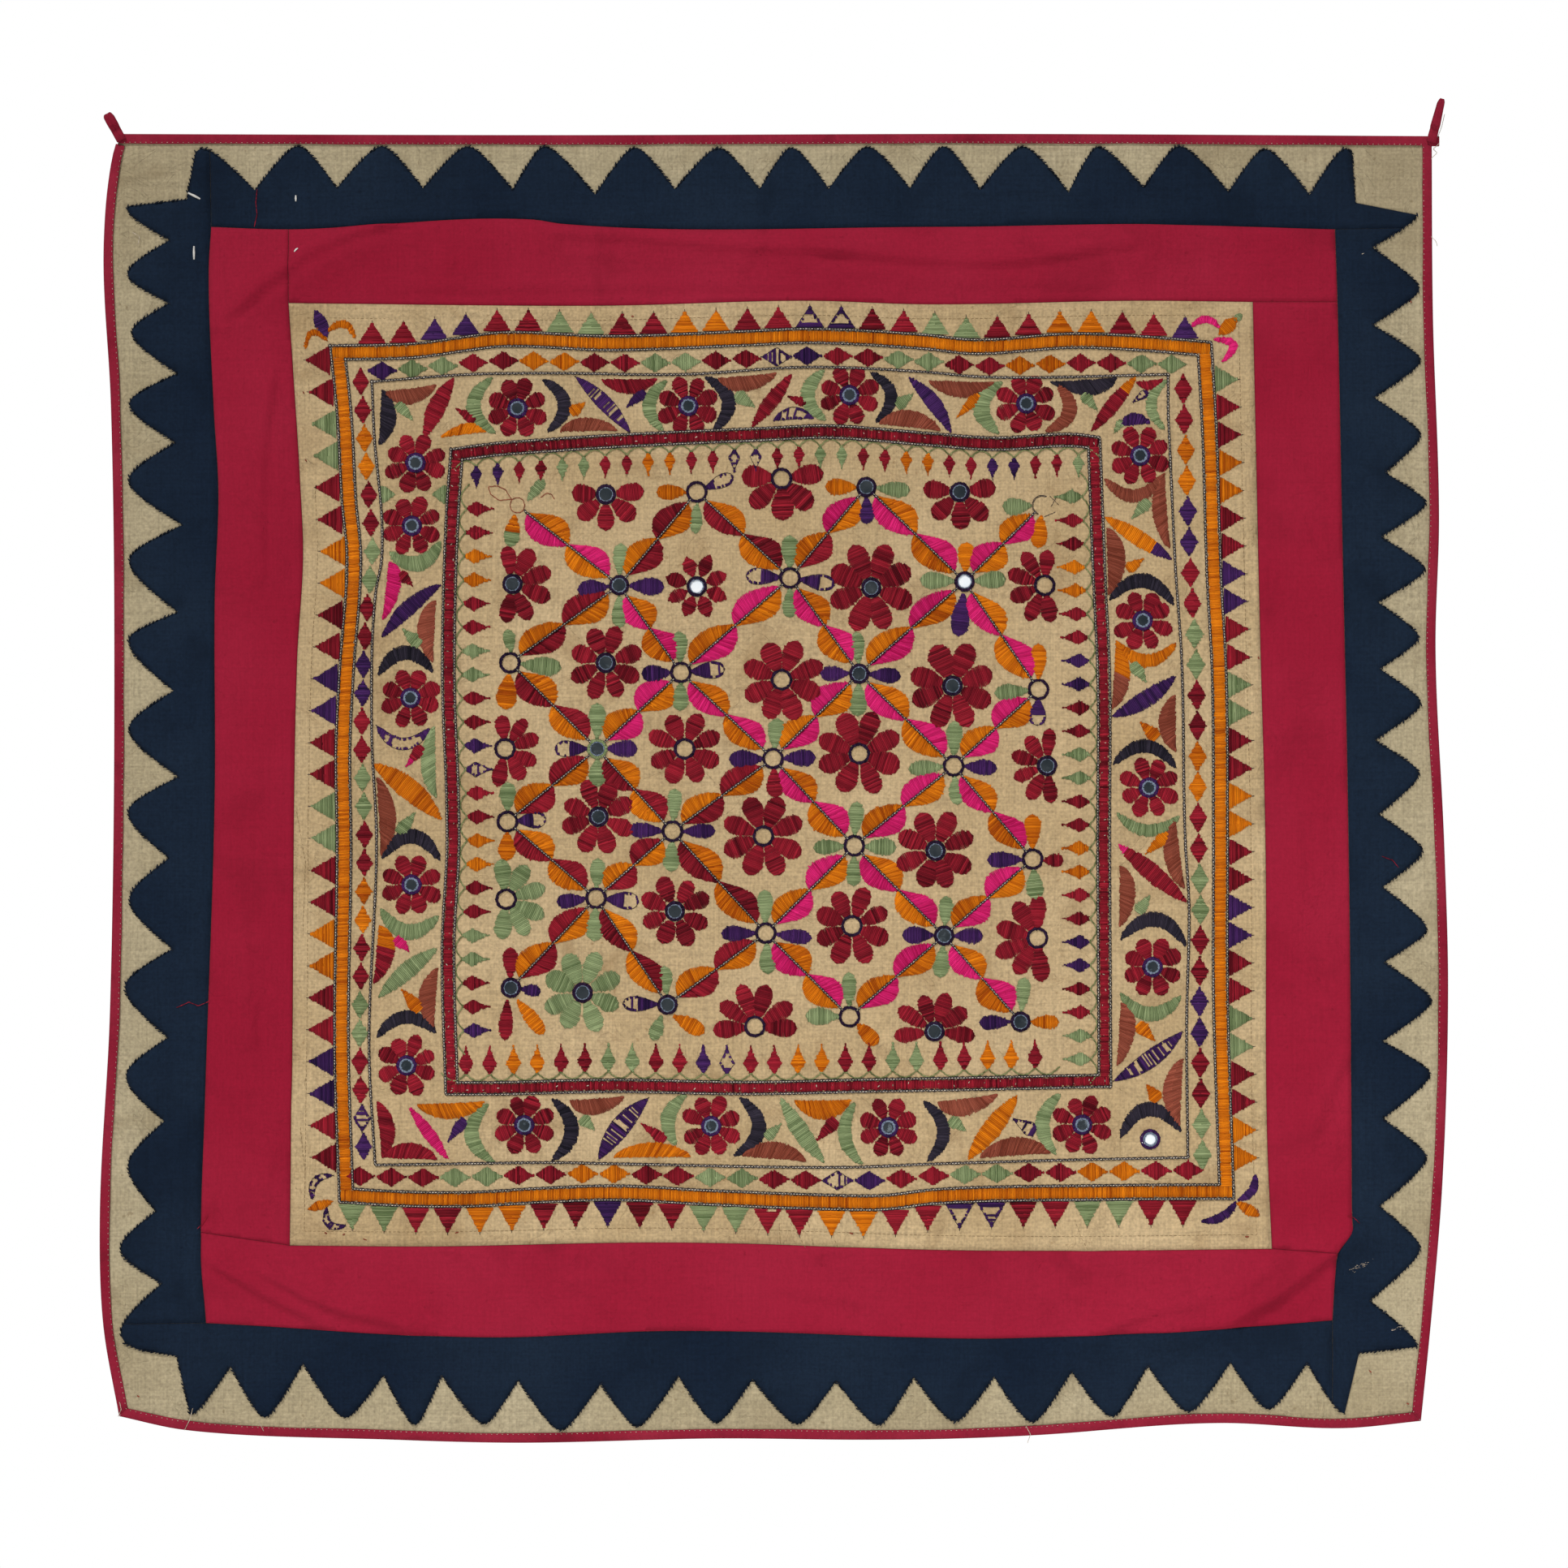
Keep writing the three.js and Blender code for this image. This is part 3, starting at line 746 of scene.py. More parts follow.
class NodeGraph:
    """A node tree with short calls that add nodes and join them."""

    def __init__(self, tree: bpy.types.NodeTree) -> None:
        """Keeps the tree that the nodes go into."""
        self.tree = tree

    def add(self, kind: str, inputs: dict | None = None, **settings: object) -> bpy.types.Node:
        """Adds a node.

        Args:
            kind: The node's type.
            inputs: Values or outputs of other nodes, by the name or place of the input.
            settings: The node's own properties.

        Returns:
            The node.
        """
        node = self.tree.nodes.new(kind)
        for name, value in settings.items():
            setattr(node, name, value)
        for key, value in (inputs or {}).items():
            self.feed(node.inputs[key], value)
        return node

    def feed(self, socket: bpy.types.NodeSocket, value: object) -> None:
        """Links an output to an input, or sets the input's value.

        Args:
            socket: The input.
            value: The output or the value.
        """
        if isinstance(value, bpy.types.NodeSocket):
            self.tree.links.new(value, socket)
        else:
            socket.default_value = value

    def math(self, operation: str, *values: object) -> bpy.types.NodeSocket:
        """Adds a sum of up to three values and gives its output."""
        return self.add("ShaderNodeMath", dict(enumerate(values)), operation=operation).outputs[0]

    def multiplied(self, first: object, second: object) -> bpy.types.NodeSocket:
        """Multiplies two vectors and gives the output."""
        return self.add("ShaderNodeVectorMath", {0: first, 1: second}, operation="MULTIPLY").outputs[0]

    def scaled(self, vector: object, scale: object) -> bpy.types.NodeSocket:
        """Makes a vector longer or shorter and gives the output."""
        return self.add("ShaderNodeVectorMath", {0: vector, "Scale": scale}, operation="SCALE").outputs[0]

    def remap(self, value: object, low: float, high: float, to_low: float = 0.0,
              to_high: float = 1.0) -> bpy.types.NodeSocket:
        """Maps one range of a value to another and gives the output."""
        inputs = {"Value": value, "From Min": low, "From Max": high, "To Min": to_low, "To Max": to_high}
        return self.add("ShaderNodeMapRange", inputs).outputs[0]

    def noise(self, place: object, scale: object, detail: float = 2.0,
              distortion: float = 0.0) -> bpy.types.NodeSocket:
        """Adds a noise and gives its value."""
        inputs = {"Vector": place, "Scale": scale, "Detail": detail, "Distortion": distortion}
        return self.add("ShaderNodeTexNoise", inputs).outputs[0]

    def random(self, seed: object, low: object = 0.0, high: object = 1.0) -> bpy.types.NodeSocket:
        """Adds a random value for each stitch and gives it."""
        inputs = {"Seed": seed, 2: low, 3: high}
        return self.add("FunctionNodeRandomValue", inputs, data_type="FLOAT").outputs[1]

    def blend(self, share: object, first: object, second: object, mode: str = "MIX") -> bpy.types.NodeSocket:
        """Mixes two colours.

        Args:
            share: Share of the second colour.
            first: The first colour.
            second: The second colour.
            mode: How they mix.

        Returns:
            The mixed colour.
        """
        node = self.add("ShaderNodeMix", data_type="RGBA", blend_type=mode)
        for name, value in (("Factor", share), ("A", first), ("B", second)):
            kind = "VALUE" if name == "Factor" else "RGBA"
            socket = next(item for item in node.inputs if item.name == name and item.type == kind)
            self.feed(socket, value)
        return next(item for item in node.outputs if item.type == "RGBA")


def new_group(kind: str, name: str, inputs: dict[str, object], outputs: dict[str, str]) -> NodeGraph:
    """Starts a node group with named sockets.

    Args:
        kind: The type of the tree.
        name: The group's name.
        inputs: By name, the first value of a number, or the type of any other socket.
        outputs: Types by name.

    Returns:
        The group's graph.
    """
    tree = bpy.data.node_groups.new(name, kind)
    for label, value in inputs.items():
        sort = value if isinstance(value, str) else type(value).__name__.capitalize()
        socket = tree.interface.new_socket(name=label, in_out="INPUT", socket_type="NodeSocket" + sort)
        if not isinstance(value, str):
            socket.default_value = value
    for label, sort in outputs.items():
        tree.interface.new_socket(name=label, in_out="OUTPUT", socket_type="NodeSocket" + sort)
    return NodeGraph(tree)


# Finishes


def opaque(colour: Colour) -> tuple[float, float, float, float]:
    """Adds full cover to a colour."""
    return (*colour, 1.0)


@dataclass
class SharedEffects:
    """Shader groups that several finishes use: the weave, and the marks of age."""

    slub_fine: float = 620.0
    slub_long: float = 26.0
    slub_share: float = 0.25
    grain: float = 430.0
    grain_share: float = 0.5
    crossing_share: float = 0.25
    fade_range: Place = (0.34, 0.7)
    blot_share: float = 2.4
    stain_range: Place = (0.56, 0.74)
    speck: float = 170.0
    speck_range: Place = (0.7, 0.76)
    crumple: float = 46.0
    crease: float = 24.0
    crease_width: float = 0.02
    crease_range: Place = (0.42, 0.6)
    crease_depth: float = 0.16

    def __post_init__(self) -> None:
        """Builds both groups."""
        self.weave = self.build_weave()
        self.age = self.build_age()

    def build_weave(self) -> bpy.types.NodeTree:
        """Builds the plain weave: threads over and under, and slubs along both ways.

        Returns:
            The group.
        """
        graph = new_group(
            "ShaderNodeTree", "plain_weave",
            {"Vector": "Vector", "Threads": 1200.0},
            {"Height": "Float", "Streak": "Float"},
        )
        start = graph.add("NodeGroupInput").outputs
        axes = graph.add("ShaderNodeSeparateXYZ", {0: start["Vector"]})
        turns = graph.math("MULTIPLY", start["Threads"], 2.0 * math.pi)
        warp = graph.math("SINE", graph.math("MULTIPLY", axes.outputs["X"], turns))
        weft = graph.math("SINE", graph.math("MULTIPLY", axes.outputs["Z"], turns))
        crossing = graph.math("MULTIPLY", warp, weft)
        fine, long = self.slub_fine, self.slub_long
        stretches = ((fine, fine, long), (long, fine, fine))
        streaks = [graph.noise(graph.multiplied(start["Vector"], stretch), 1.0) for stretch in stretches]
        grain = graph.noise(start["Vector"], self.grain, 3.0)
        slubs = graph.math("MULTIPLY", graph.math("ADD", *streaks), self.slub_share)
        streak = graph.math("ADD", slubs, graph.math("MULTIPLY", grain, self.grain_share))
        over = graph.math("MULTIPLY_ADD", crossing, self.crossing_share, streak)
        graph.add("NodeGroupOutput", {"Height": over, "Streak": streak})
        return graph.tree

    def build_age(self) -> bpy.types.NodeTree:
        """Builds the marks of age: faded areas, stains and small specks, a crumple for the bump, and crease
        lines that the cloth darkens as painted crease shade.

        Returns:
            The group.
        """
        graph = new_group(
            "ShaderNodeTree", "age_marks",
            {"Vector": "Vector", "Patch": 7.0},
            {name: "Float" for name in ("Fade", "Stain", "Speck", "Crumple", "Crease")},
        )
        start = graph.add("NodeGroupInput").outputs
        place, patch = start["Vector"], start["Patch"]
        blots = graph.noise(place, graph.math("MULTIPLY", patch, self.blot_share), 6.0, 0.8)
        lines = graph.noise(place, self.crease, 3.0, 1.6)
        off_line = graph.math("ABSOLUTE", graph.math("SUBTRACT", lines, 0.5))
        sharp = graph.remap(off_line, 0.0, self.crease_width, 1.0, 0.0)
        crease = graph.math("MULTIPLY", sharp, graph.remap(blots, *self.crease_range))
        soft = graph.noise(place, self.crumple, 5.0, 0.5)
        graph.add("NodeGroupOutput", {
            "Crumple": graph.math("SUBTRACT", soft, graph.math("MULTIPLY", crease, self.crease_depth)),
            # crease lines, along which the cloth paints shade as well as bumping
            "Crease": crease,
            "Fade": graph.remap(graph.noise(place, patch, 5.0), *self.fade_range),
            "Stain": graph.remap(blots, *self.stain_range),
            "Speck": graph.remap(graph.noise(place, self.speck), *self.speck_range),
        })
        return graph.tree


class Surface:
    """A material of one principled surface, and the graph that feeds it."""

    def __init__(self, name: str) -> None:
        """Starts the material.

        Args:
            name: Its name.
        """
        self.material = bpy.data.materials.new(name)
        self.material.use_nodes = True
        self.graph = NodeGraph(self.material.node_tree)
        self.place = self.graph.add("ShaderNodeTexCoord").outputs["Object"]

    def shared(self, tree: bpy.types.NodeTree, **inputs: float) -> bpy.types.NodeOutputs:
        """Adds a shared group and gives its outputs."""
        return self.graph.add("ShaderNodeGroup", {"Vector": self.place, **inputs}, node_tree=tree).outputs

    def kept(self, name: str) -> bpy.types.NodeSocket:
        """Reads a number that the mesh keeps for each vertex."""
        return self.graph.add("ShaderNodeAttribute", attribute_name=name).outputs["Fac"]

    def bump(self, height: object, strength: float, depth: float, **normal: object) -> bpy.types.NodeSocket:
        """Raises the surface, or a normal that is given, and gives the new normal."""
        inputs = {"Height": height, "Strength": strength, "Distance": depth, **normal}
        return self.graph.add("ShaderNodeBump", inputs).outputs[0]

    def finished(self, inputs: dict[str, object]) -> bpy.types.Material:
        """Feeds the principled surface.

        Args:
            inputs: Values or outputs of nodes, by the name of the input.

        Returns:
            The finished material.
        """
        shader = next(node for node in self.graph.tree.nodes if node.type == "BSDF_PRINCIPLED")
        for name, value in inputs.items():
            self.graph.feed(shader.inputs[name], value)
        return self.material


@dataclass(frozen=True)
class ClothFinish:
    """A woven cotton: its colours, weave and wear, and painted shade with dirt along its fine creases."""

    name: str
    colour: Colour
    faded: Colour
    stain: Colour
    stain_share: float = 0.5
    streak_share: float = 0.5
    threads: float = 1200.0
    patch: float = 7.0
    bump: float = 0.5
    crumple: float = 0.25
    sheen: float = 0.02
    shine: float = 0.06
    weave_depth: float = 0.0005
    crumple_depth: float = 0.006
    streak_range: Place = (0.3, 0.7)
    roughness: Place = (0.84, 0.97)
    spot_fade: float = 0.55
    # share of the stain colour laid along the fine creases: painted crease shade, partly dirt
    crease_share: float = 0.5

    def material(self, effects: SharedEffects) -> bpy.types.Material:
        """Builds the material.

        Args:
            effects: The shared groups.

        Returns:
            The material.
        """
        surface = Surface(self.name)
        graph = surface.graph
        weave = surface.shared(effects.weave, Threads=self.threads)
        age = surface.shared(effects.age, Patch=self.patch)
        stain = opaque(self.stain)
        ground = graph.blend(age["Fade"], opaque(self.colour), opaque(self.faded))
        low, high = 1.0 - self.streak_share, 1.0 + self.streak_share
        tone = graph.remap(weave["Streak"], *self.streak_range, low, high)
        shade = graph.add("ShaderNodeCombineColor", {0: tone, 1: tone, 2: tone}).outputs[0]
        woven = graph.blend(1.0, ground, shade, "MULTIPLY")
        stained = graph.math("MULTIPLY", age["Stain"], self.stain_share)
        faded = graph.remap(age["Fade"], 0.0, 1.0, 1.0, self.spot_fade)
        spotted = graph.math("MULTIPLY", surface.kept("soil"), faded)
        # Painted crease shade: along the fine crease lines the cloth darkens towards its stain colour, partly
        # dirt in the creases and partly the shade that falls in them.
        crease_dirt_and_shade = graph.math("MULTIPLY", age["Crease"], self.crease_share * self.stain_share)
        stains_and_crease_shade = graph.math("MAXIMUM", graph.math("MAXIMUM", stained, crease_dirt_and_shade), spotted)
        speck = graph.math("MULTIPLY", age["Speck"], self.stain_share)
        folds = surface.bump(age["Crumple"], self.crumple, self.crumple_depth)
        return surface.finished({
            "Base Color": graph.blend(speck, graph.blend(stains_and_crease_shade, woven, stain), stain),
            "Roughness": graph.remap(weave["Streak"], *self.streak_range, *self.roughness),
            "Normal": surface.bump(weave["Height"], self.bump, self.weave_depth, Normal=folds),
            "Sheen Weight": self.sheen,
            "Specular IOR Level": self.shine,
        })


@dataclass(frozen=True)
class ThreadFinish:
    """A stitching thread: its darkest and lightest colour, and how it shines. Stitches are toned at random
    between the two; the lightest stands partly for the thread's own uneven dye and partly for painted sheen.
    """

    name: str
    # the light end of the tone range is partly the dye's own unevenness and partly painted sheen, the floss's
    # highlights
    dark: Colour
    light: Colour
    roughness: float = 0.6
    sheen: float = 0.01
    shine: float = 0.05
    patch: float = 11.0
    fading: float = 0.25
    tone_range: Place = (0.1, 1.1)
    soiling: float = 0.2

    def material(self, effects: SharedEffects) -> bpy.types.Material:
        """Builds the material, toned stitch by stitch.

        Args:
            effects: The shared groups.

        Returns:
            The material.
        """
        surface = Surface(self.name)
        graph = surface.graph
        age = surface.shared(effects.age, Patch=self.patch)
        aged = graph.math("MULTIPLY_ADD", age["Fade"], self.fading, surface.kept("tone"))
        share = graph.remap(aged, *self.tone_range)
        roughest = min(self.roughness + self.soiling, 1.0)
        return surface.finished({
            "Base Color": graph.blend(share, opaque(self.dark), opaque(self.light)),
            "Roughness": graph.remap(age["Stain"], 0.0, 1.0, self.roughness, roughest),
            "Sheen Weight": self.sheen,
            "Specular IOR Level": self.shine,
        })


@dataclass(frozen=True)
class GlassFinish:
    """Old silvered glass, clouded in places. With no silvering and near-white colours it is instead a painted
    reflection on a plain disc.
    """

    name: str
    clear: Colour
    cloudy: Colour
    silvering: float = 1.0
    polish: float = 0.08
    patch: float = 60.0
    clouding: float = 0.3
    ripple: float = 130.0
    ripple_strength: float = 0.25
    ripple_depth: float = 0.0006

    def material(self, effects: SharedEffects) -> bpy.types.Material:
        """Builds the material.

        Args:
            effects: The shared groups.

        Returns:
            The material.
        """
        surface = Surface(self.name)
        graph = surface.graph
        age = surface.shared(effects.age, Patch=self.patch)
        ripple = graph.noise(surface.place, self.ripple, 1.0)
        return surface.finished({
            "Base Color": graph.blend(age["Fade"], opaque(self.clear), opaque(self.cloudy)),
            "Roughness": graph.remap(age["Stain"], 0.0, 1.0, self.polish, self.polish + self.clouding),
            "Normal": surface.bump(ripple, self.ripple_strength, self.ripple_depth),
            "Metallic": self.silvering,
        })


@dataclass
class Wardrobe:
    """Every finish of the hanging, made once."""

    cloths: tuple[ClothFinish, ...] = (
        ClothFinish("beige_ground_cotton", (0.385, 0.316, 0.193), (0.47, 0.395, 0.256), (0.21, 0.152, 0.079),
                    0.5, 0.34, 1100.0, 6.0, 0.8, 0.5),
        ClothFinish("beige_panel_cotton", (0.475, 0.338, 0.178), (0.55, 0.405, 0.23), (0.265, 0.152, 0.063),
                    0.45, 0.34, 1100.0, 8.0, 0.8, 0.5),
        ClothFinish("crimson_cotton", (0.283, 0.0086, 0.0286), (0.326, 0.0138, 0.0385),
                    (0.185, 0.0068, 0.0195), 0.45, 0.14, 1500.0, 6.0, 0.35),
        ClothFinish("navy_cotton", (0.0058, 0.0124, 0.0268), (0.0099, 0.0192, 0.0365),
                    (0.0042, 0.0082, 0.0168), 0.5, 0.3, 1500.0, 7.0, 0.35),
        ClothFinish("red_binding_cotton", (0.23, 0.010, 0.027), (0.29, 0.020, 0.042), (0.13, 0.007, 0.016),
                    0.4, 0.14, 1500.0, 14.0, 0.4),
    )
    threads: dict[Thread, ThreadFinish] = field(default_factory=lambda: {
        Thread.MAROON: ThreadFinish("maroon_floss", (0.080, 0.003, 0.007), (0.385, 0.016, 0.032)),
        Thread.ORANGE: ThreadFinish("orange_floss", (0.36, 0.062, 0.0015), (0.86, 0.235, 0.006)),
        Thread.GREEN: ThreadFinish("green_floss", (0.12, 0.168, 0.066), (0.335, 0.405, 0.195)),
        Thread.VIOLET: ThreadFinish("violet_floss", (0.016, 0.006, 0.036), (0.080, 0.023, 0.135)),
        Thread.PINK: ThreadFinish("magenta_floss", (0.45, 0.006, 0.082), (0.86, 0.024, 0.205)),
        Thread.INDIGO: ThreadFinish("indigo_cotton", (0.009, 0.008, 0.013), (0.042, 0.034, 0.052), 0.8),
        Thread.BROWN: ThreadFinish("rust_cotton", (0.18, 0.037, 0.020), (0.36, 0.092, 0.054), 0.8),
        Thread.NIGHT: ThreadFinish("night_violet_floss", (0.007, 0.003, 0.011), (0.038, 0.017, 0.055)),
        Thread.PALE_BLUE: ThreadFinish("pale_blue_floss", (0.11, 0.14, 0.21), (0.29, 0.35, 0.45)),
    })
    chain: ThreadFinish = ThreadFinish("dark_chain_cotton", (0.01, 0.009, 0.013), (0.048, 0.042, 0.05), 0.85)
    bead: ThreadFinish = ThreadFinish("dull_pale_cotton", (0.26, 0.22, 0.175), (0.66, 0.58, 0.48), 0.85)
    fleck: ThreadFinish = ThreadFinish("pale_cotton", (0.34, 0.27, 0.19), (0.66, 0.56, 0.45), 0.85)
    overcast: ThreadFinish = ThreadFinish("black_cotton", (0.004, 0.006, 0.010), (0.016, 0.020, 0.030), 0.85)
    moss: ThreadFinish = ThreadFinish("moss_cotton", (0.105, 0.125, 0.045), (0.27, 0.29, 0.125), 0.85)
    # faint brown for the panel's hem line and for the painted crease shade lines
    pressed: ThreadFinish = ThreadFinish("faint_brown_cotton", (0.20, 0.13, 0.06), (0.34, 0.24, 0.12), 0.9)
    tacking: ThreadFinish = ThreadFinish("white_tacking_cotton", (0.58, 0.56, 0.52), (0.82, 0.80, 0.76), 0.8)
    glasses: tuple[GlassFinish, ...] = (
        GlassFinish("dull_mirror_glass", (0.08, 0.105, 0.125), (0.17, 0.20, 0.22)),
        # near-white and not metallic: a painted reflection in place of the light that these glasses catch
        GlassFinish("bright_mirror_glass", (0.78, 0.85, 0.90), (0.95, 0.97, 0.98), 0.0),
    )

    def __post_init__(self) -> None:
        """Makes the materials, by name."""
        effects = SharedEffects()
        finishes = (*self.cloths, *self.threads.values(), self.chain, self.bead, self.fleck,
                    self.overcast, self.moss, self.pressed, self.tacking, *self.glasses)
        self.materials = {finish.name: finish.material(effects) for finish in finishes}

    def of(self, name: str) -> bpy.types.Material:
        """Gives a material by its finish's name."""
        return self.materials[name]


# Meshes


def link_object(name: str, data: bpy.types.ID) -> bpy.types.Object:
    """Puts a mesh, a lamp or a camera into the scene.

    Args:
        name: The object's name.
        data: What it holds.

    Returns:
        The object.
    """
    piece = bpy.data.objects.new(name, data)
    bpy.context.scene.collection.objects.link(piece)
    return piece


def make_object(name: str, points: np.ndarray, faces: list,
                material: bpy.types.Material) -> bpy.types.Object:
    """Makes a smooth-shaded object from points and faces.

    Args:
        name: The object's name.
        points: Places in millimetres.
        faces: Corners of each face.
        material: Its material.

    Returns:
        The object.
    """
    mesh = bpy.data.meshes.new(name)
    mesh.from_pydata((np.asarray(points) * MM).tolist(), [], [list(map(int, face)) for face in faces])
    mesh.update()
    mesh.polygons.foreach_set("use_smooth", np.ones(len(mesh.polygons), bool))
    mesh.materials.append(material)
    return link_object(name, mesh)


def store(mesh: bpy.types.Mesh, name: str, values: np.ndarray) -> None:
    """Keeps a number or a vector for each vertex of a mesh.

    Args:
        mesh: The mesh.
        name: What it is kept as.
        values: The numbers or vectors.
    """
    kind, label = ("FLOAT_VECTOR", "vector") if np.ndim(values) == 2 else ("FLOAT", "value")
    attribute = mesh.attributes.new(name, kind, "POINT")
    attribute.data.foreach_set(label, np.ascontiguousarray(values, np.float32).ravel())


def turn_outwards(piece: bpy.types.Object) -> None:
    """Turns all faces of a closed mesh outwards.

    Args:
        piece: The object that holds the mesh.
    """
    shape = bmesh.new()
    shape.from_mesh(piece.data)
    bmesh.ops.recalc_face_normals(shape, faces=shape.faces)
    shape.to_mesh(piece.data)
    shape.free()


def enlist(piece: bpy.types.Object, slot: str, *nodes: str) -> bpy.types.Object:
    """Puts a finished piece on the part.

    Args:
        piece: The piece.
        slot: Not used.
        nodes: Solids that it stands for.

    Returns:
        The piece.
    """
    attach(piece, BODY)
    if nodes:
        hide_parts(*nodes)
    LOG.info("%s: %d faces", piece.name, len(piece.data.polygons))
    return piece


@dataclass
class SheetMaker:
    """Makes closed sheets of cloth on the drape."""

    drape: Drape
    roll: float = 0.45
    edge_clear: float = 0.45
    spots: Chart = (
        (510, -40, 45, 0.4), (470, -15, 30, 0.3), (525, -85, 25, 0.35), (-515, -45, 35, 0.25),
        (-490, -20, 25, 0.2), (505, -1035, 35, 0.12), (530, -1050, 20, 0.2), (480, -1050, 25, 0.12),
        (-520, -1035, 30, 0.2), (-540, -1000, 20, 0.25), (-470, -1050, 25, 0.25), (-545, -300, 20, 0.25),
        (-548, -700, 22, 0.3), (-545, -880, 18, 0.25), (540, -420, 18, 0.3), (545, -640, 18, 0.3),
        (538, -900, 16, 0.3), (530, -180, 14, 0.4), (-250, -1068, 25, 0.3), (0, -1066, 25, 0.3),
        (150, -1064, 20, 0.35), (300, -1060, 20, 0.3), (-392, -150, 16, 0.3), (-390, -250, 14, 0.3),
        (-388, -330, 12, 0.35), (395, -170, 14, 0.3), (397, -290, 12, 0.35), (398, -560, 12, 0.35),
        (400, -880, 14, 0.4), (385, -905, 12, 0.4), (-385, -900, 14, 0.35), (-300, -905, 12, 0.3),
        (0, -905, 14, 0.25), (200, -908, 12, 0.3), (-51, -783, 9, 0.5), (-265, -905, 9, 0.45),
        (-373, -905, 8, 0.45),
    )

    def soil(self, places: np.ndarray) -> np.ndarray:
        """Gives how soiled the cloth is.

        Args:
            places: Flat places.

        Returns:
            The share of the stain's colour at each.
        """
        share = np.zeros(len(places))
        for x, z, radius, strength in self.spots:
            reach = np.hypot(places[:, 0] - x, places[:, 1] - z) / radius
            share = np.maximum(share, strength * np.exp(-reach * reach))
        return share

    @staticmethod
    def fine_outline(outline: np.ndarray, spacing: float) -> np.ndarray:
        """Adds points to the long steps of an outline, so that it follows the folds.

        Args:
            outline: Flat places in order.
            spacing: Longest step.

        Returns:
            The finer outline.
        """
        rows = []
        for start, stop in zip(outline, np.roll(outline, -1, axis=0)):
            count = max(1, math.ceil(np.linalg.norm(stop - start) / spacing))
            rows.append(start + (stop - start) * np.arange(count)[:, None] / count)
        return np.vstack(rows)

    def inner_points(self, outline: np.ndarray, spacing: float) -> np.ndarray:
        """Fills an outline with an even net of points.

        Args:
            outline: Flat places in order.
            spacing: Distance between the points.

        Returns:
            The points inside, clear of the outline.
        """
        low, high = outline.min(axis=0), outline.max(axis=0)
        net_x, net_z = np.meshgrid(np.arange(low[0], high[0], spacing), np.arange(low[1], high[1], spacing))
        x, z = net_x.ravel(), net_z.ravel()
        inside = np.zeros(len(x), bool)
        for (from_x, from_z), (to_x, to_z) in zip(outline, np.roll(outline, -1, axis=0)):
            if from_z == to_z:
                continue
            crossing = (from_z > z) != (to_z > z)
            inside ^= crossing & (x < (to_x - from_x) * (z - from_z) / (to_z - from_z) + from_x)
        x, z = x[inside], z[inside]
        closed = np.vstack([outline, outline[:1]])
        clear = distance_to_line(x, z, closed) > self.edge_clear * spacing
        return np.column_stack([x[clear], z[clear]])

    def sheet(self, name: str, outline: np.ndarray, layers: Place, material: bpy.types.Material,
              spacing: float) -> bpy.types.Object:
        """Makes one sheet between two layers.

        Args:
            name: The piece's name.
            outline: Its flat outline.
            layers: Its back and front, as distances from the wall.
            material: Its material.
            spacing: Distance between its points.

        Returns:
            The sheet.
        """
        outline = self.fine_outline(outline, spacing)
        inner = self.inner_points(outline, spacing)
        flat = [Vector(point) for point in np.vstack([outline, inner])]
        rim = [(index, (index + 1) % len(outline)) for index in range(len(outline))]
        spots, _, triangles, *_ = delaunay_2d_cdt(flat, rim, [], 1, 1e-4)
        places = np.array([tuple(spot) for spot in spots])
        edges = {(face[i], face[(i + 1) % 3]) for face in triangles for i in range(3)}
        border = [(start, stop) for start, stop in edges if (stop, start) not in edges]
        rolled = np.zeros(len(places))
        rolled[[start for start, _ in border]] = self.roll
        back, front = layers
        points = np.vstack([
            Face(self.drape, front).points(places, -rolled),
            Face(self.drape, back).points(places),
        ])
        count = len(places)
        faces = [list(face) for face in triangles]
        faces += [[corner + count for corner in reversed(face)] for face in triangles]
        faces += [[start, start + count, stop + count, stop] for start, stop in border]
        piece = make_object(name, points, faces, material)
        store(piece.data, "soil", np.tile(self.soil(places), 2))
        return piece


def sweep(name: str, rings: list[np.ndarray], material: bpy.types.Material) -> bpy.types.Object:
    """Makes a closed strip from a row of sections.

    Args:
        name: The piece's name.
        rings: Sections with the same number of points, in order.
        material: Its material.

    Returns:
        The strip.
    """
    count = len(rings[0])
    faces = []
    for ring in range(len(rings) - 1):
        for point in range(count):
            after = (point + 1) % count
            faces.append([ring * count + point, ring * count + after,
                          (ring + 1) * count + after, (ring + 1) * count + point])
    faces.append(list(range(count)))
    faces.append(list(range((len(rings) - 1) * count, len(rings) * count)))
    piece = make_object(name, np.vstack(rings), faces, material)
    turn_outwards(piece)
    return piece


# Cloth pieces


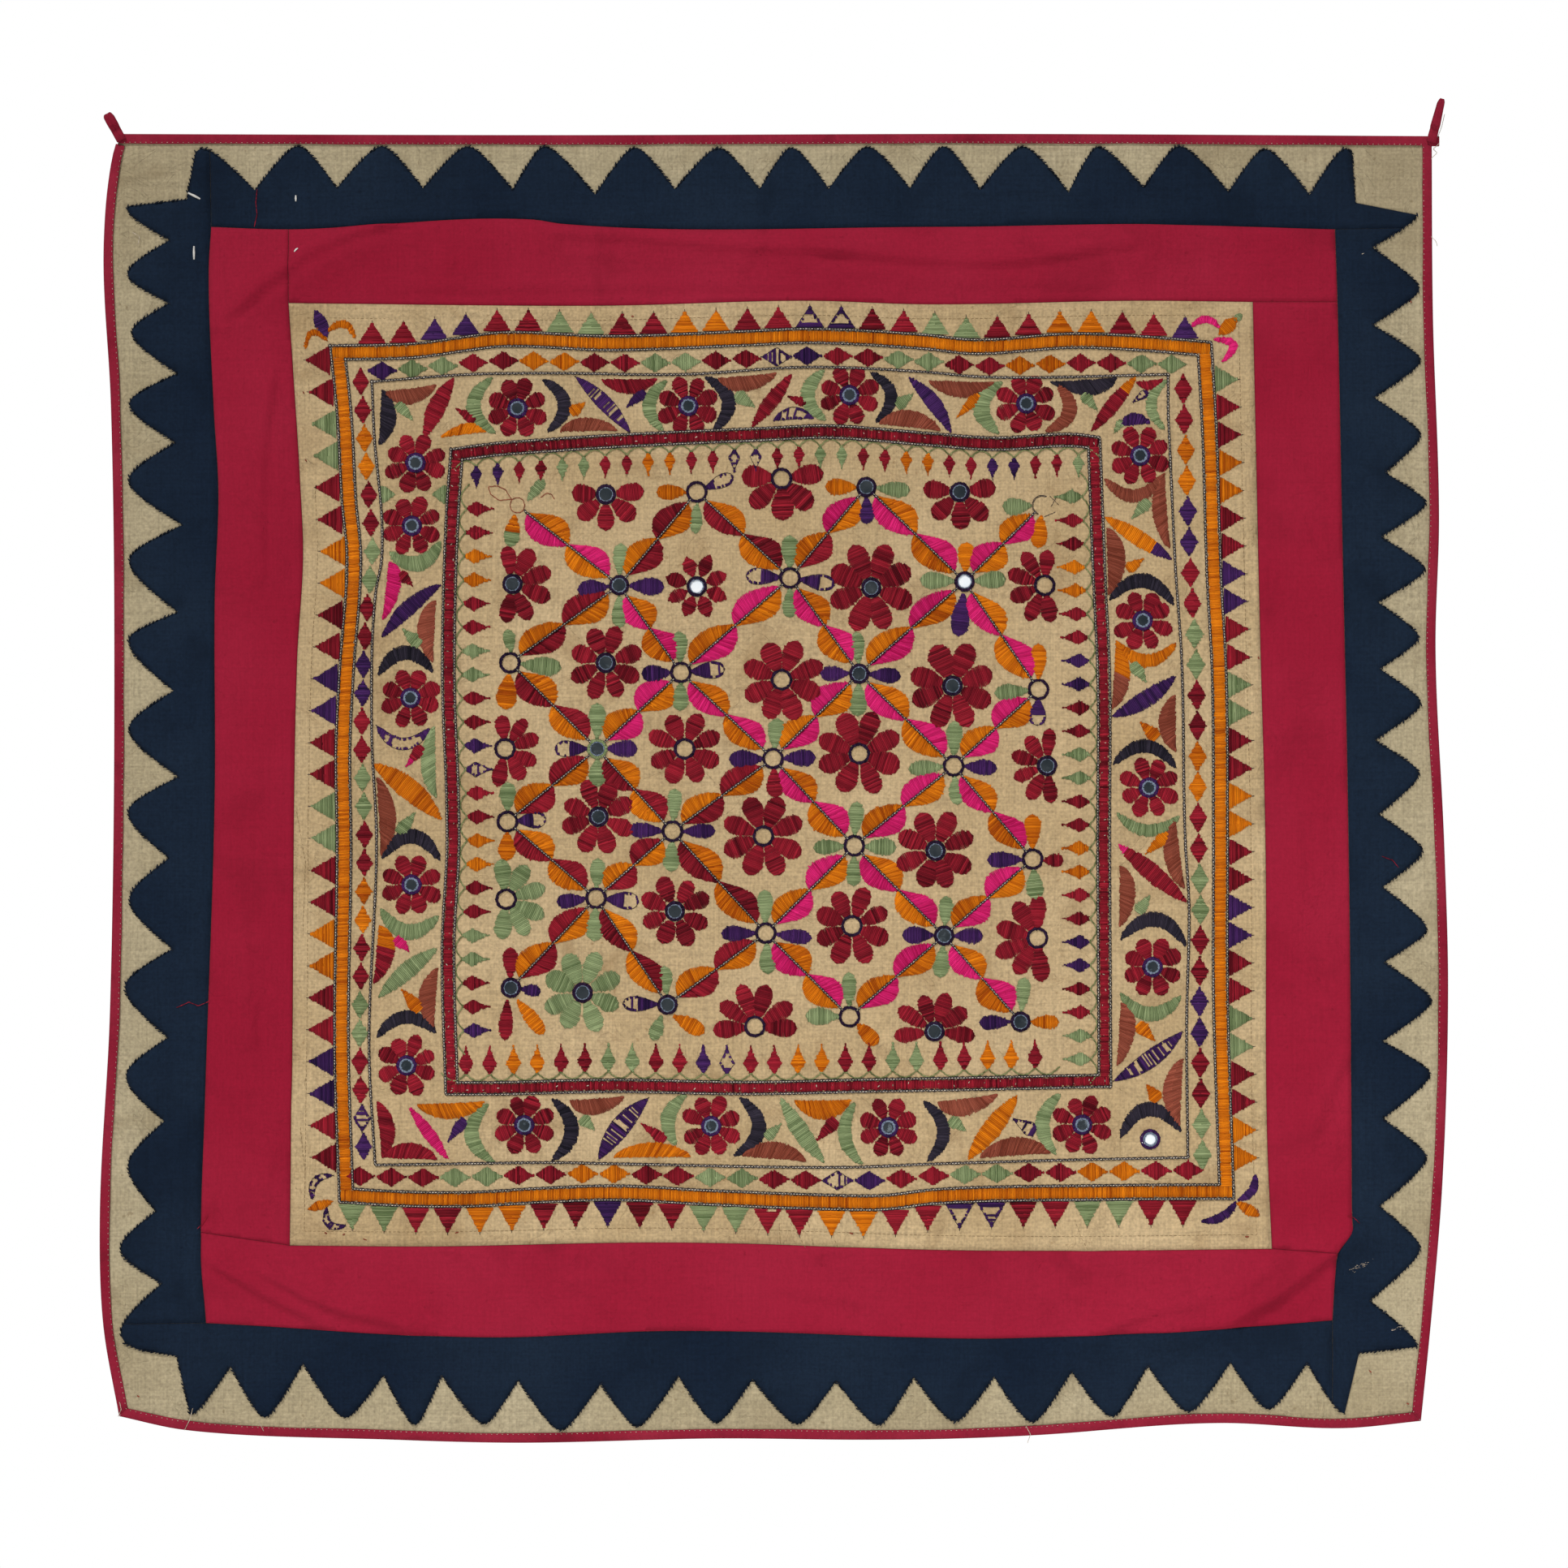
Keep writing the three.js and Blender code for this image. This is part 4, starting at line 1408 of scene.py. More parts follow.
@dataclass
class ClothPieces:
    """The ground cloth, the panel, the crimson strips and the toothed strips."""

    pattern: CuttingPattern
    maker: SheetMaker
    wardrobe: Wardrobe
    ground_inset: float = 1.5
    ground_spacing: float = 9.0
    panel_spacing: float = 5.5
    crimson_spacing: float = 3.8
    tooth_spacing: float = 6.0
    cloths: dict[str, str] = field(default_factory=lambda: {
        "ground": "beige_ground_cotton", "panel": "beige_panel_cotton",
        "crimson": "crimson_cotton", "navy": "navy_cotton",
    })

    def build(self) -> None:
        """Makes every flat piece and puts it on the part."""
        pattern = self.pattern
        self.cut("ground_cloth", "ground", pattern.outer.loop(self.ground_inset), self.ground_spacing)
        self.cut("embroidered_panel", "panel", pattern.panel.loop(GAP / 2), self.panel_spacing)
        for side in Side:
            self.cut(f"crimson_strip_{side.value}", "crimson", pattern.crimson(side), self.crimson_spacing)
            self.cut(f"dogtooth_{side.value}", "navy", pattern.dogtooth(side), self.tooth_spacing)

    def cut(self, name: str, slot: str, outline: np.ndarray, spacing: float) -> None:
        """Args:
            name: The solid that it stands for.
            slot: Its material slot.
            outline: Its flat outline.
            spacing: Distance between its points.
        """
        cloth = self.wardrobe.of(self.cloths[slot])
        if name == "ground_cloth":
            maker = replace(self.maker, drape=replace(self.maker.drape, under=True))
            layers, rests_on = (GROUND_BACK, GROUND_FRONT), []
        else:
            maker = self.maker
            layers, rests_on = (FACE_BACK, FACE_FRONT), ["ground_cloth"]
        piece = maker.sheet(f"cloth_{name}", outline, layers, cloth, spacing)
        enlist(piece, slot, name)


@dataclass
class Binding:
    """The red binding folded over the edge, and the two loops of tape at the top corners."""

    pattern: CuttingPattern
    drape: Drape
    wardrobe: Wardrobe
    width: float = 8.0
    cut_width: float = 20.0
    step: float = 8.0
    wander: float = 0.3
    wander_waves: Place = (17.0, 41.0)
    wander_phase: float = 1.0
    fold_reach: float = 3.0
    mitre: float = 30.0
    mitre_gap: float = 0.1
    section: Rows = (
        (8.0, 3.9), (7.4, 4.1), (4.0, 4.2), (1.3, 4.0), (0.3, 3.2), (0.0, 2.0), (0.3, 0.9), (1.3, 0.15),
        (4.0, 0.0), (8.0, 0.0), (8.0, 1.0), (2.6, 1.0), (1.5, 1.5), (1.5, 2.3), (2.6, 2.8), (8.0, 2.8),
    )
    stub_reach: float = 6.0

    def ring(self, place: np.ndarray, inward: np.ndarray, narrow: float, skew: np.ndarray) -> np.ndarray:
        """Gives the folded section at one place on the edge.

        Args:
            place: Flat place on the outer edge.
            inward: Flat direction to the middle.
            narrow: How much wider or narrower the fold is there.
            skew: How far the inner edge runs ahead of the outer one, as a share of its distance.

        Returns:
            The section's places in space.
        """
        rows = np.array(self.section)
        reach = np.where(rows[:, 0] > self.fold_reach, rows[:, 0] + narrow, rows[:, 0])
        flat = place + reach[:, None] * (inward + skew)
        depth = self.drape.depth(flat[:, 0], flat[:, 1])
        return np.column_stack([flat[:, 0], -(rows[:, 1] + depth), flat[:, 1]])

    def strip(self, side: Side, start: float, stop: float, mitres: Place) -> None:
        """Folds one strip over its side.

        Args:
            side: The side.
            start: Where the strip starts, along the side.
            stop: Where it ends.
            mitres: How far its inner edge runs short at its start and its end, as shares of the width.
        """
        along = np.linspace(start, stop, max(3, round(abs(stop - start) / self.step)))
        places = self.pattern.outer.points(side, along)
        heading = unit(np.gradient(places, axis=0))
        inward = np.column_stack([-heading[:, 1], heading[:, 0]])
        inward = inward * (np.sign(inward[:, side.across]) * side.inward)[:, None]
        short, long = self.wander_waves
        narrow = self.wander * np.sin(along / short) * np.sin(along / long + self.wander_phase)
        skew = mitres[0] * np.clip(1.0 - np.abs(along - start) / self.mitre, 0.0, 1.0)
        skew = skew - mitres[1] * np.clip(1.0 - np.abs(along - stop) / self.mitre, 0.0, 1.0)
        rings = [self.ring(*row) for row in zip(places, inward, narrow, heading * skew[:, None])]
        name = f"binding_{side.value}"
        piece = sweep(f"cloth_{name}", rings, self.wardrobe.of("red_binding_cotton"))
        enlist(piece, "binding", name)

    def mitre_share(self, upright: Side) -> float:
        """Gives how far an inner edge runs short at a lower corner, as a share of the width.

        Args:
            upright: The upright side that ends at the corner.

        Returns:
            The share, which is one where the corner is square.
        """
        outer = self.pattern.outer
        corner = outer.corner(upright, Side.BOTTOM)
        up = outer.points(upright, corner[1] + self.mitre)[0] - corner
        level = outer.points(Side.BOTTOM, corner[0] + upright.inward * self.mitre)[0] - corner
        cosine = float(up @ level) / float(np.linalg.norm(up) * np.linalg.norm(level))
        return 1.0 / math.tan(math.acos(cosine) / 2.0)

    def build(self) -> None:
        """Folds the four strips."""
        top_left, top_right, bottom_right, bottom_left = self.pattern.outer.corners()
        under_top = top_left[1] - self.width - GAP
        left_mitre, right_mitre = self.mitre_share(Side.LEFT), self.mitre_share(Side.RIGHT)
        foot_left, foot_right = bottom_left + self.mitre_gap, bottom_right + self.mitre_gap
        self.strip(Side.TOP, top_left[0], top_right[0] + self.stub_reach, (0.0, 0.0))
        self.strip(Side.RIGHT, under_top, foot_right[1], (0.0, right_mitre))
        self.strip(Side.BOTTOM, foot_left[0], bottom_right[0] - self.mitre_gap, (left_mitre, right_mitre))
        self.strip(Side.LEFT, under_top, foot_left[1], (0.0, left_mitre))


@dataclass
class HangingLoop:
    """A loop of folded tape at a top corner."""

    name: str
    foot: Place
    lean: float
    length: float
    width: float
    tip_share: float
    groove: float
    wardrobe: Wardrobe
    thick: float = 1.1
    depth: float = 10.4
    foot_reach: float = 6.0
    parts: float = 4.4
    full: float = 8.6
    back_ply: float = -4.9
    front_ply: float = -6.1
    eye_back: float = -0.9
    arc_steps: int = 14
    bend_steps: int = 5
    tip_round: float = 4.0
    tip_fall: float = 0.75
    edge_share: float = 0.9
    groove_share: float = 0.12
    least_width: float = 10.0

    def side_view(self) -> np.ndarray:
        """Gives the tape's middle line, as places along Y and up the loop.

        Returns:
            The places, from foot to foot.
        """
        radius = self.depth / 2.0 - self.thick / 2.0
        middle = self.eye_back - radius
        eye_front = middle - radius
        crown = self.length - self.depth / 2.0
        ease = (self.parts + self.full) / 2.0
        shares = np.linspace(0.0, 1.0, self.bend_steps + 1)[1:, None]

        def bend(start: Place, stop: Place) -> np.ndarray:
            """Eases from one upright run to the next.

            Args:
                start: Where it leaves the first run.
                stop: Where it joins the next.

            Returns:
                The places on the way.
            """
            first, last = np.array(start), np.array(stop)
            hold_first, hold_last = np.array([start[0], ease]), np.array([stop[0], ease])
            rest = 1.0 - shares
            return (rest ** 3 * first + 3 * rest ** 2 * shares * hold_first
                    + 3 * rest * shares ** 2 * hold_last + shares ** 3 * last)

        turn = np.linspace(0.0, math.pi, self.arc_steps)
        crown_arc = np.column_stack([middle + radius * np.cos(turn), crown + radius * np.sin(turn)])
        return np.vstack([
            [(self.back_ply, -self.foot_reach), (self.back_ply, 0.0), (self.back_ply, self.parts)],
            bend((self.back_ply, self.parts), (self.eye_back, self.full)),
            crown_arc,
            [(eye_front, self.full)],
            bend((eye_front, self.full), (self.front_ply, self.parts)),
            [(self.front_ply, 0.0), (self.front_ply, -self.foot_reach)],
        ])

    def build(self) -> None:
        """Folds the tape into its loop."""
        line = self.side_view()
        heading = unit(np.gradient(line, axis=0))
        half, edge, lip = self.thick / 2.0, self.edge_share, self.groove_share
        section = np.array([
            (-1.0, 0.0), (-edge, -half), (-lip, -half), (0.0, -half + self.groove), (lip, -half),
            (edge, -half), (1.0, 0.0), (edge, half), (lip, half), (0.0, half - self.groove), (-lip, half),
            (-edge, half),
        ])
        rings = []
        for (y, up), (run_y, run_up) in zip(line, heading):
            slim = 1.0 - (1.0 - self.tip_share) * max(up, 0.0) / self.length
            past = max(up - self.length + self.tip_round, 0.0) / self.tip_round
            slim *= math.sqrt(1.0 - self.tip_fall * past * past)
            across = section[:, 0] * self.width / 2.0 * slim
            rise = up - section[:, 1] * run_y
            x = self.foot[0] + across * math.cos(self.lean) + rise * math.sin(self.lean)
            z = self.foot[1] - across * math.sin(self.lean) + rise * math.cos(self.lean)
            rings.append(np.column_stack([x, y + section[:, 1] * run_up, z]))
        piece = sweep(f"cloth_{self.name}", rings, self.wardrobe.of("red_binding_cotton"))
        enlist(piece, "binding", self.name)


# Stitch trees


class StitchTrees:
    """The two node trees that lay thread: one on points, one along lines."""

    def __init__(self) -> None:
        """Builds the stitch and both trees."""
        self.stitch = self.build_stitch()
        self.fill = self.build_fill()
        self.line = self.build_line()

    @staticmethod
    def build_stitch() -> bpy.types.NodeTree:
        """Builds one arched stitch of length, width and height one, slimmer at its ends.

        Returns:
            The group.
        """
        graph = new_group(
            "GeometryNodeTree", "one_stitch",
            {"Arch": 0.5, "Taper": 0.35, "Sides": 3, "Steps": 2},
            {"Stitch": "Geometry"},
        )
        start = graph.add("NodeGroupInput").outputs
        ends = {"Start": (-0.5, 0.0, 0.0), "End": (0.5, 0.0, 0.0)}
        straight = graph.add("GeometryNodeCurvePrimitiveLine", ends)
        spine = graph.add("GeometryNodeResampleCurve", {
            "Curve": straight.outputs[0], "Count": graph.math("ADD", start["Steps"], 1.0),
        })
        place = graph.add("GeometryNodeInputPosition").outputs[0]
        along = graph.add("ShaderNodeSeparateXYZ", {0: place}).outputs["X"]
        outer = graph.math("MULTIPLY", graph.math("MULTIPLY", along, along), 4.0)
        slim = graph.math("SUBTRACT", 1.0, graph.math("MULTIPLY", outer, start["Taper"]))
        section = graph.add("GeometryNodeCurvePrimitiveCircle", {"Resolution": start["Sides"], "Radius": 0.5})
        turned = graph.add("GeometryNodeTransform", {
            "Geometry": section.outputs["Curve"], "Rotation": (0.0, 0.0, math.pi / 2),
        })
        tube = graph.add("GeometryNodeCurveToMesh", {
            "Curve": spine.outputs[0], "Profile Curve": turned.outputs[0], "Scale": slim, "Fill Caps": True,
        })
        rise = graph.math("MULTIPLY", graph.math("SUBTRACT", 1.0, outer), start["Arch"])
        offset = graph.add("ShaderNodeCombineXYZ", {"Z": rise}).outputs[0]
        raised = graph.add("GeometryNodeSetPosition", {"Geometry": tube.outputs["Mesh"], "Offset": offset})
        graph.add("NodeGroupOutput", {"Stitch": raised.outputs[0]})
        return graph.tree

    @staticmethod
    def named(graph: NodeGraph, name: str) -> bpy.types.NodeSocket:
        """Reads a vector attribute by name."""
        node = graph.add("GeometryNodeInputNamedAttribute", {"Name": name}, data_type="FLOAT_VECTOR")
        return node.outputs["Attribute"]

    @staticmethod
    def facing(graph: NodeGraph, along: object, up: object) -> bpy.types.NodeSocket:
        """Gives the turn that lays a stitch along one direction, with its back towards another."""
        axes = {"Primary Axis": along, "Secondary Axis": up}
        return graph.add("FunctionNodeAxesToRotation", axes, primary_axis="X", secondary_axis="Z").outputs[0]

    @staticmethod
    def uneven(graph: NodeGraph, seed: object, share: object) -> bpy.types.NodeSocket:
        """Gives a random size that differs from one by up to a share."""
        return graph.random(seed, graph.math("SUBTRACT", 1.0, share), graph.math("ADD", 1.0, share))

    def close(self, graph: NodeGraph, start: bpy.types.NodeOutputs, laid: dict[str, object],
              drop: tuple[str, ...]) -> bpy.types.NodeTree:
        """Ends a tree: real meshes, smooth, without helper attributes, in their thread.

        Args:
            graph: The tree's graph.
            start: The tree's inputs.
            laid: The points, with the turn and the size of the stitch on each.
            drop: Names of the helper attributes.

        Returns:
            The tree.
        """
        shape = {name: start[name] for name in ("Arch", "Sides", "Steps")}
        stitch = graph.add("GeometryNodeGroup", shape, node_tree=self.stitch).outputs[0]
        stitches = graph.add("GeometryNodeInstanceOnPoints", {"Instance": stitch, **laid}).outputs[0]
        geometry = graph.add("GeometryNodeRealizeInstances", {"Geometry": stitches}).outputs[0]
        for name in drop:
            old = {"Geometry": geometry, "Name": name}
            geometry = graph.add("GeometryNodeRemoveAttribute", old).outputs[0]
        smooth = graph.add("GeometryNodeSetShadeSmooth", {"Geometry": geometry}).outputs[0]
        dressed = graph.add("GeometryNodeSetMaterial", {"Geometry": smooth, "Material": start["Thread"]})
        graph.add("NodeGroupOutput", {"Geometry": dressed.outputs[0]})
        return graph.tree

    def build_fill(self) -> bpy.types.NodeTree:
        """Builds the tree that lays one stitch on each point, along and sized by its attributes.

        Returns:
            The tree.
        """
        graph = new_group(
            "GeometryNodeTree", "filling_stitches",
            {
                "Geometry": "Geometry", "Arch": 0.5, "Sides": 3, "Steps": 2, "Uneven": 0.15, "Seed": 11,
                "Thread": "Material",
            },
            {"Geometry": "Geometry"},
        )
        start = graph.add("NodeGroupInput").outputs
        turn = self.facing(graph, self.named(graph, "along"), self.named(graph, "up"))
        uneven = self.uneven(graph, start["Seed"], start["Uneven"])
        spread = graph.add("ShaderNodeCombineXYZ", {"X": 1.0, "Y": uneven, "Z": uneven}).outputs[0]
        size = graph.multiplied(self.named(graph, "size"), spread)
        laid = {"Points": start["Geometry"], "Rotation": turn, "Scale": size}
        return self.close(graph, start, laid, ("along", "up", "size"))

    def build_line(self) -> bpy.types.NodeTree:
        """Builds the tree that lays stitches along lines at an even pitch.

        Returns:
            The tree.
        """
        graph = new_group(
            "GeometryNodeTree", "line_stitches",
            {
                "Geometry": "Geometry", "Pitch": 0.003, "Length": 0.003, "Width": 0.001, "Height": 0.001,
                "Turn": 0.0, "Swing": 0.2, "Stray": 0.1, "Uneven": 0.1, "Lift": 0.0, "Arch": 0.3,
                "Sides": 3, "Steps": 2, "Seed": 5, "Thread": "Material",
            },
            {"Geometry": "Geometry"},
        )
        start = graph.add("NodeGroupInput").outputs
        seed = start["Seed"]
        up = self.named(graph, "up")
        curve = graph.add("GeometryNodeMeshToCurve", {"Mesh": start["Geometry"]}).outputs[0]
        steps = {"Curve": curve, "Length": start["Pitch"]}
        spaced = graph.add("GeometryNodeResampleCurve", steps, mode="LENGTH").outputs[0]
        offset = graph.scaled(up, start["Lift"])
        lifted = graph.add("GeometryNodeSetPosition", {"Geometry": spaced, "Offset": offset}).outputs[0]
        tone = {"Geometry": lifted, "Name": "tone", "Value": graph.random(seed)}
        toned = graph.add("GeometryNodeStoreNamedAttribute", tone, data_type="FLOAT", domain="POINT")
        index = graph.add("GeometryNodeInputIndex").outputs[0]
        parity = graph.math("MULTIPLY_ADD", graph.math("MODULO", index, 2.0), 2.0, -1.0)
        stray = graph.random(seed, graph.math("MULTIPLY", start["Stray"], -1.0), start["Stray"])
        swing = graph.math("ADD", graph.math("MULTIPLY", parity, start["Swing"]), stray)
        angle = graph.math("ADD", start["Turn"], swing)
        twist = graph.add("FunctionNodeAxisAngleToRotation", {"Axis": (0.0, 0.0, 1.0), "Angle": angle})
        tangent = graph.add("GeometryNodeInputTangent").outputs[0]
        turns = {"Rotation": self.facing(graph, tangent, up), "Rotate By": twist.outputs[0]}
        turn = graph.add("FunctionNodeRotateRotation", turns, rotation_space="LOCAL").outputs[0]
        sizes = {"X": start["Length"], "Y": start["Width"], "Z": start["Height"]}
        size = graph.add("ShaderNodeCombineXYZ", sizes).outputs[0]
        uneven = self.uneven(graph, graph.math("ADD", seed, 1.0), start["Uneven"])
        laid = {"Points": toned.outputs[0], "Rotation": turn, "Scale": graph.scaled(size, uneven)}
        return self.close(graph, start, laid, ("up",))

    @staticmethod
    def run(piece: bpy.types.Object, tree: bpy.types.NodeTree, values: dict[str, object]) -> bpy.types.Object:
        """Runs a tree on an object and keeps the result as a plain mesh.

        Args:
            piece: The object that holds the points or lines.
            tree: The tree.
            values: Values of its inputs, by name.

        Returns:
            The same object, with its new mesh and no modifier.
        """
        modifier = piece.modifiers.new("stitches", "NODES")
        modifier.node_group = tree
        for item in tree.interface.items_tree:
            if item.item_type == "SOCKET" and item.in_out == "INPUT" and item.name in values:
                modifier[item.identifier] = values[item.name]
        bpy.context.view_layer.update()
        evaluated = piece.evaluated_get(bpy.context.evaluated_depsgraph_get())
        mesh = bpy.data.meshes.new_from_object(evaluated)
        rough = piece.data
        piece.modifiers.clear()
        piece.data = mesh
        mesh.name = piece.name
        bpy.data.meshes.remove(rough)
        return piece


# Needlework


class Polyline:
    """A line of points that is read at shares of its length."""

    def __init__(self, points: np.ndarray) -> None:
        """Measures the line.

        Args:
            points: Its flat places.
        """
        self.points = np.asarray(points, float)
        steps = np.linalg.norm(np.diff(self.points, axis=0), axis=1)
        self.reach = np.concatenate([[0.0], np.cumsum(steps)])

    @property
    def length(self) -> float:
        """The line's length."""
        return float(self.reach[-1])

    def at(self, share: np.ndarray) -> np.ndarray:
        """Gives the places at shares of the length."""
        place = np.clip(share, 0.0, 1.0) * self.length
        return np.column_stack([np.interp(place, self.reach, self.points[:, axis]) for axis in (0, 1)])


def left_of(run: np.ndarray) -> np.ndarray:
    """Turns flat directions a quarter turn to the left, at length one."""
    turned = np.column_stack([-run[:, 1], run[:, 0]])
    return turned / np.maximum(np.linalg.norm(turned, axis=1, keepdims=True), 1e-9)


def bow(start: Place, stop: Place, bulge: float, count: int = 15) -> np.ndarray:
    """Draws a bowed line.

    Args:
        start: Where it starts.
        stop: Where it ends.
        bulge: How far its middle stands to the left of the straight line.
        count: How many points it has.

    Returns:
        Flat places.
    """
    first, last = np.array(start, float), np.array(stop, float)
    share = np.linspace(0.0, 1.0, count)[:, None]
    side = left_of((last - first)[None, :])
    return first + (last - first) * share + side * bulge * 4.0 * share * (1.0 - share)


# Forms that widen to a peak and narrow to a point: share at the start, place of the peak, and power
POINTED: dict[Form, tuple[float, float, float]] = {
    Form.CONE: (1.0, 0.0, 0.95),
    Form.KITE: (0.14, 0.36, 1.35),
    Form.LEAFLET: (0.65, 0.25, 0.85),
    Form.RHOMB: (0.0, 0.5, 1.05),
}


# Forms that swell from a narrow foot to a round end: share at the start, and place of the peak
ROUNDED: dict[Form, Place] = {Form.PETAL: (0.38, 0.62), Form.DROP: (0.16, 0.66)}

# Forms that narrow alike to both ends: power
EVEN: dict[Form, float] = {Form.ARCH: 0.5, Form.LEAF: 0.8}

# Least share of the width that the point of a form keeps
POINT_SHARE = 0.1


def half_width(form: Form, share: np.ndarray) -> np.ndarray:
    """Gives how wide a motif is along its length, as a share of its widest.

    Args:
        form: The kind of motif.
        share: Places along it.

    Returns:
        The shares of the width.
    """
    if form in POINTED:
        start, peak, power = POINTED[form]
        rise = start + (1.0 - start) * share / max(peak, 1e-6)
        return np.where(share < peak, rise, np.maximum(((1.0 - share) / (1.0 - peak)) ** power, POINT_SHARE))
    if form in ROUNDED:
        foot, peak = ROUNDED[form]
        rise = foot + (1.0 - foot) * np.sin(np.pi / 2.0 * np.clip(share / peak, 0.0, 1.0))
        return rise * np.sqrt(1.0 - np.clip((share - peak) / (1.0 - peak), 0.0, 1.0) ** 2)
    return np.sin(np.pi * share) ** EVEN[form]


@dataclass
class StitchBook:
    """The stitches of one thread, gathered before they are laid."""

    rows: list[tuple[np.ndarray, ...]] = field(default_factory=list)

    def add(self, starts: np.ndarray, stops: np.ndarray, ups: np.ndarray, size: Place,
            tones: np.ndarray) -> None:
        """Adds stitches.

        Args:
            starts: Where they start, in space.
            stops: Where they end.
            ups: Which way their backs look.
            size: Their width and height.
            tones: How light each is.
        """
        sizes = np.tile(np.array(size), (len(starts), 1))
        self.rows.append((starts, stops, ups, sizes, tones))

    def lay(self, name: str, trees: StitchTrees, material: bpy.types.Material, arch: float,
            seed: int) -> None:
        """Lays all stitches as one piece.

        Args:
            name: The piece's name.
            trees: The stitch trees.
            material: The thread's material.
            arch: How high a stitch arches, as a share of its thickness.
            seed: Seed of its unevenness.
        """
        *spatial, tones = zip(*self.rows)
        starts, stops, ups, sizes = map(np.vstack, spatial)
        along = stops - starts
        length = np.linalg.norm(along, axis=1)
        mesh = bpy.data.meshes.new(name)
        mesh.from_pydata((((starts + stops) / 2.0) * MM).tolist(), [], [])
        store(mesh, "along", along)
        store(mesh, "up", ups)
        store(mesh, "size", np.column_stack([length, sizes]) * MM)
        store(mesh, "tone", np.concatenate(tones))
        values = {"Arch": arch, "Sides": 3, "Steps": 2, "Uneven": 0.15, "Seed": seed, "Thread": material}
        enlist(trees.run(link_object(name, mesh), trees.fill, values), "thread")


# Sizes of the stitches of a line, in the order of the charts
LINE_SIZES = ("Pitch", "Length", "Width", "Height", "Lift")


@dataclass
class LineBook:
    """Lines that stitches follow, gathered before they are sewn."""

    lines: list[tuple[np.ndarray, np.ndarray]] = field(default_factory=list)

    def add(self, face: Face, flat: np.ndarray, lift: float = 0.0) -> None:
        """Adds a line on a face of the cloth."""
        self.lines.append((face.points(flat, lift), face.normals(flat)))

    def sew(self, name: str, trees: StitchTrees, material: bpy.types.Material, seed: int,
            sizes: tuple[float, ...], turns: dict[str, float]) -> None:
        """Sews all lines as one piece.

        Args:
            name: The piece's name.
            trees: The stitch trees.
            material: The thread's material.
            seed: Seed of its unevenness.
            sizes: Pitch, length, width, height and lift of its stitches.
            turns: Other inputs of the line tree, by name.
        """
        edges: list[tuple[int, int]] = []
        first = 0
        for points, _ in self.lines:
            edges += [(first + index, first + index + 1) for index in range(len(points) - 1)]
            first += len(points)
        mesh = bpy.data.meshes.new(name)
        mesh.from_pydata((np.vstack([points for points, _ in self.lines]) * MM).tolist(), edges, [])
        store(mesh, "up", np.vstack([ups for _, ups in self.lines]))
        values = {label: size * MM for label, size in zip(LINE_SIZES, sizes)}
        values |= turns | {"Seed": seed, "Thread": material}
        enlist(trees.run(link_object(name, mesh), trees.line, values), "thread")


# Where a worn motif has lost its stitches, as shares of its length, and how many of them
WORN_PART: Place = (0.2, 0.8)
WORN_LOSS = 0.92


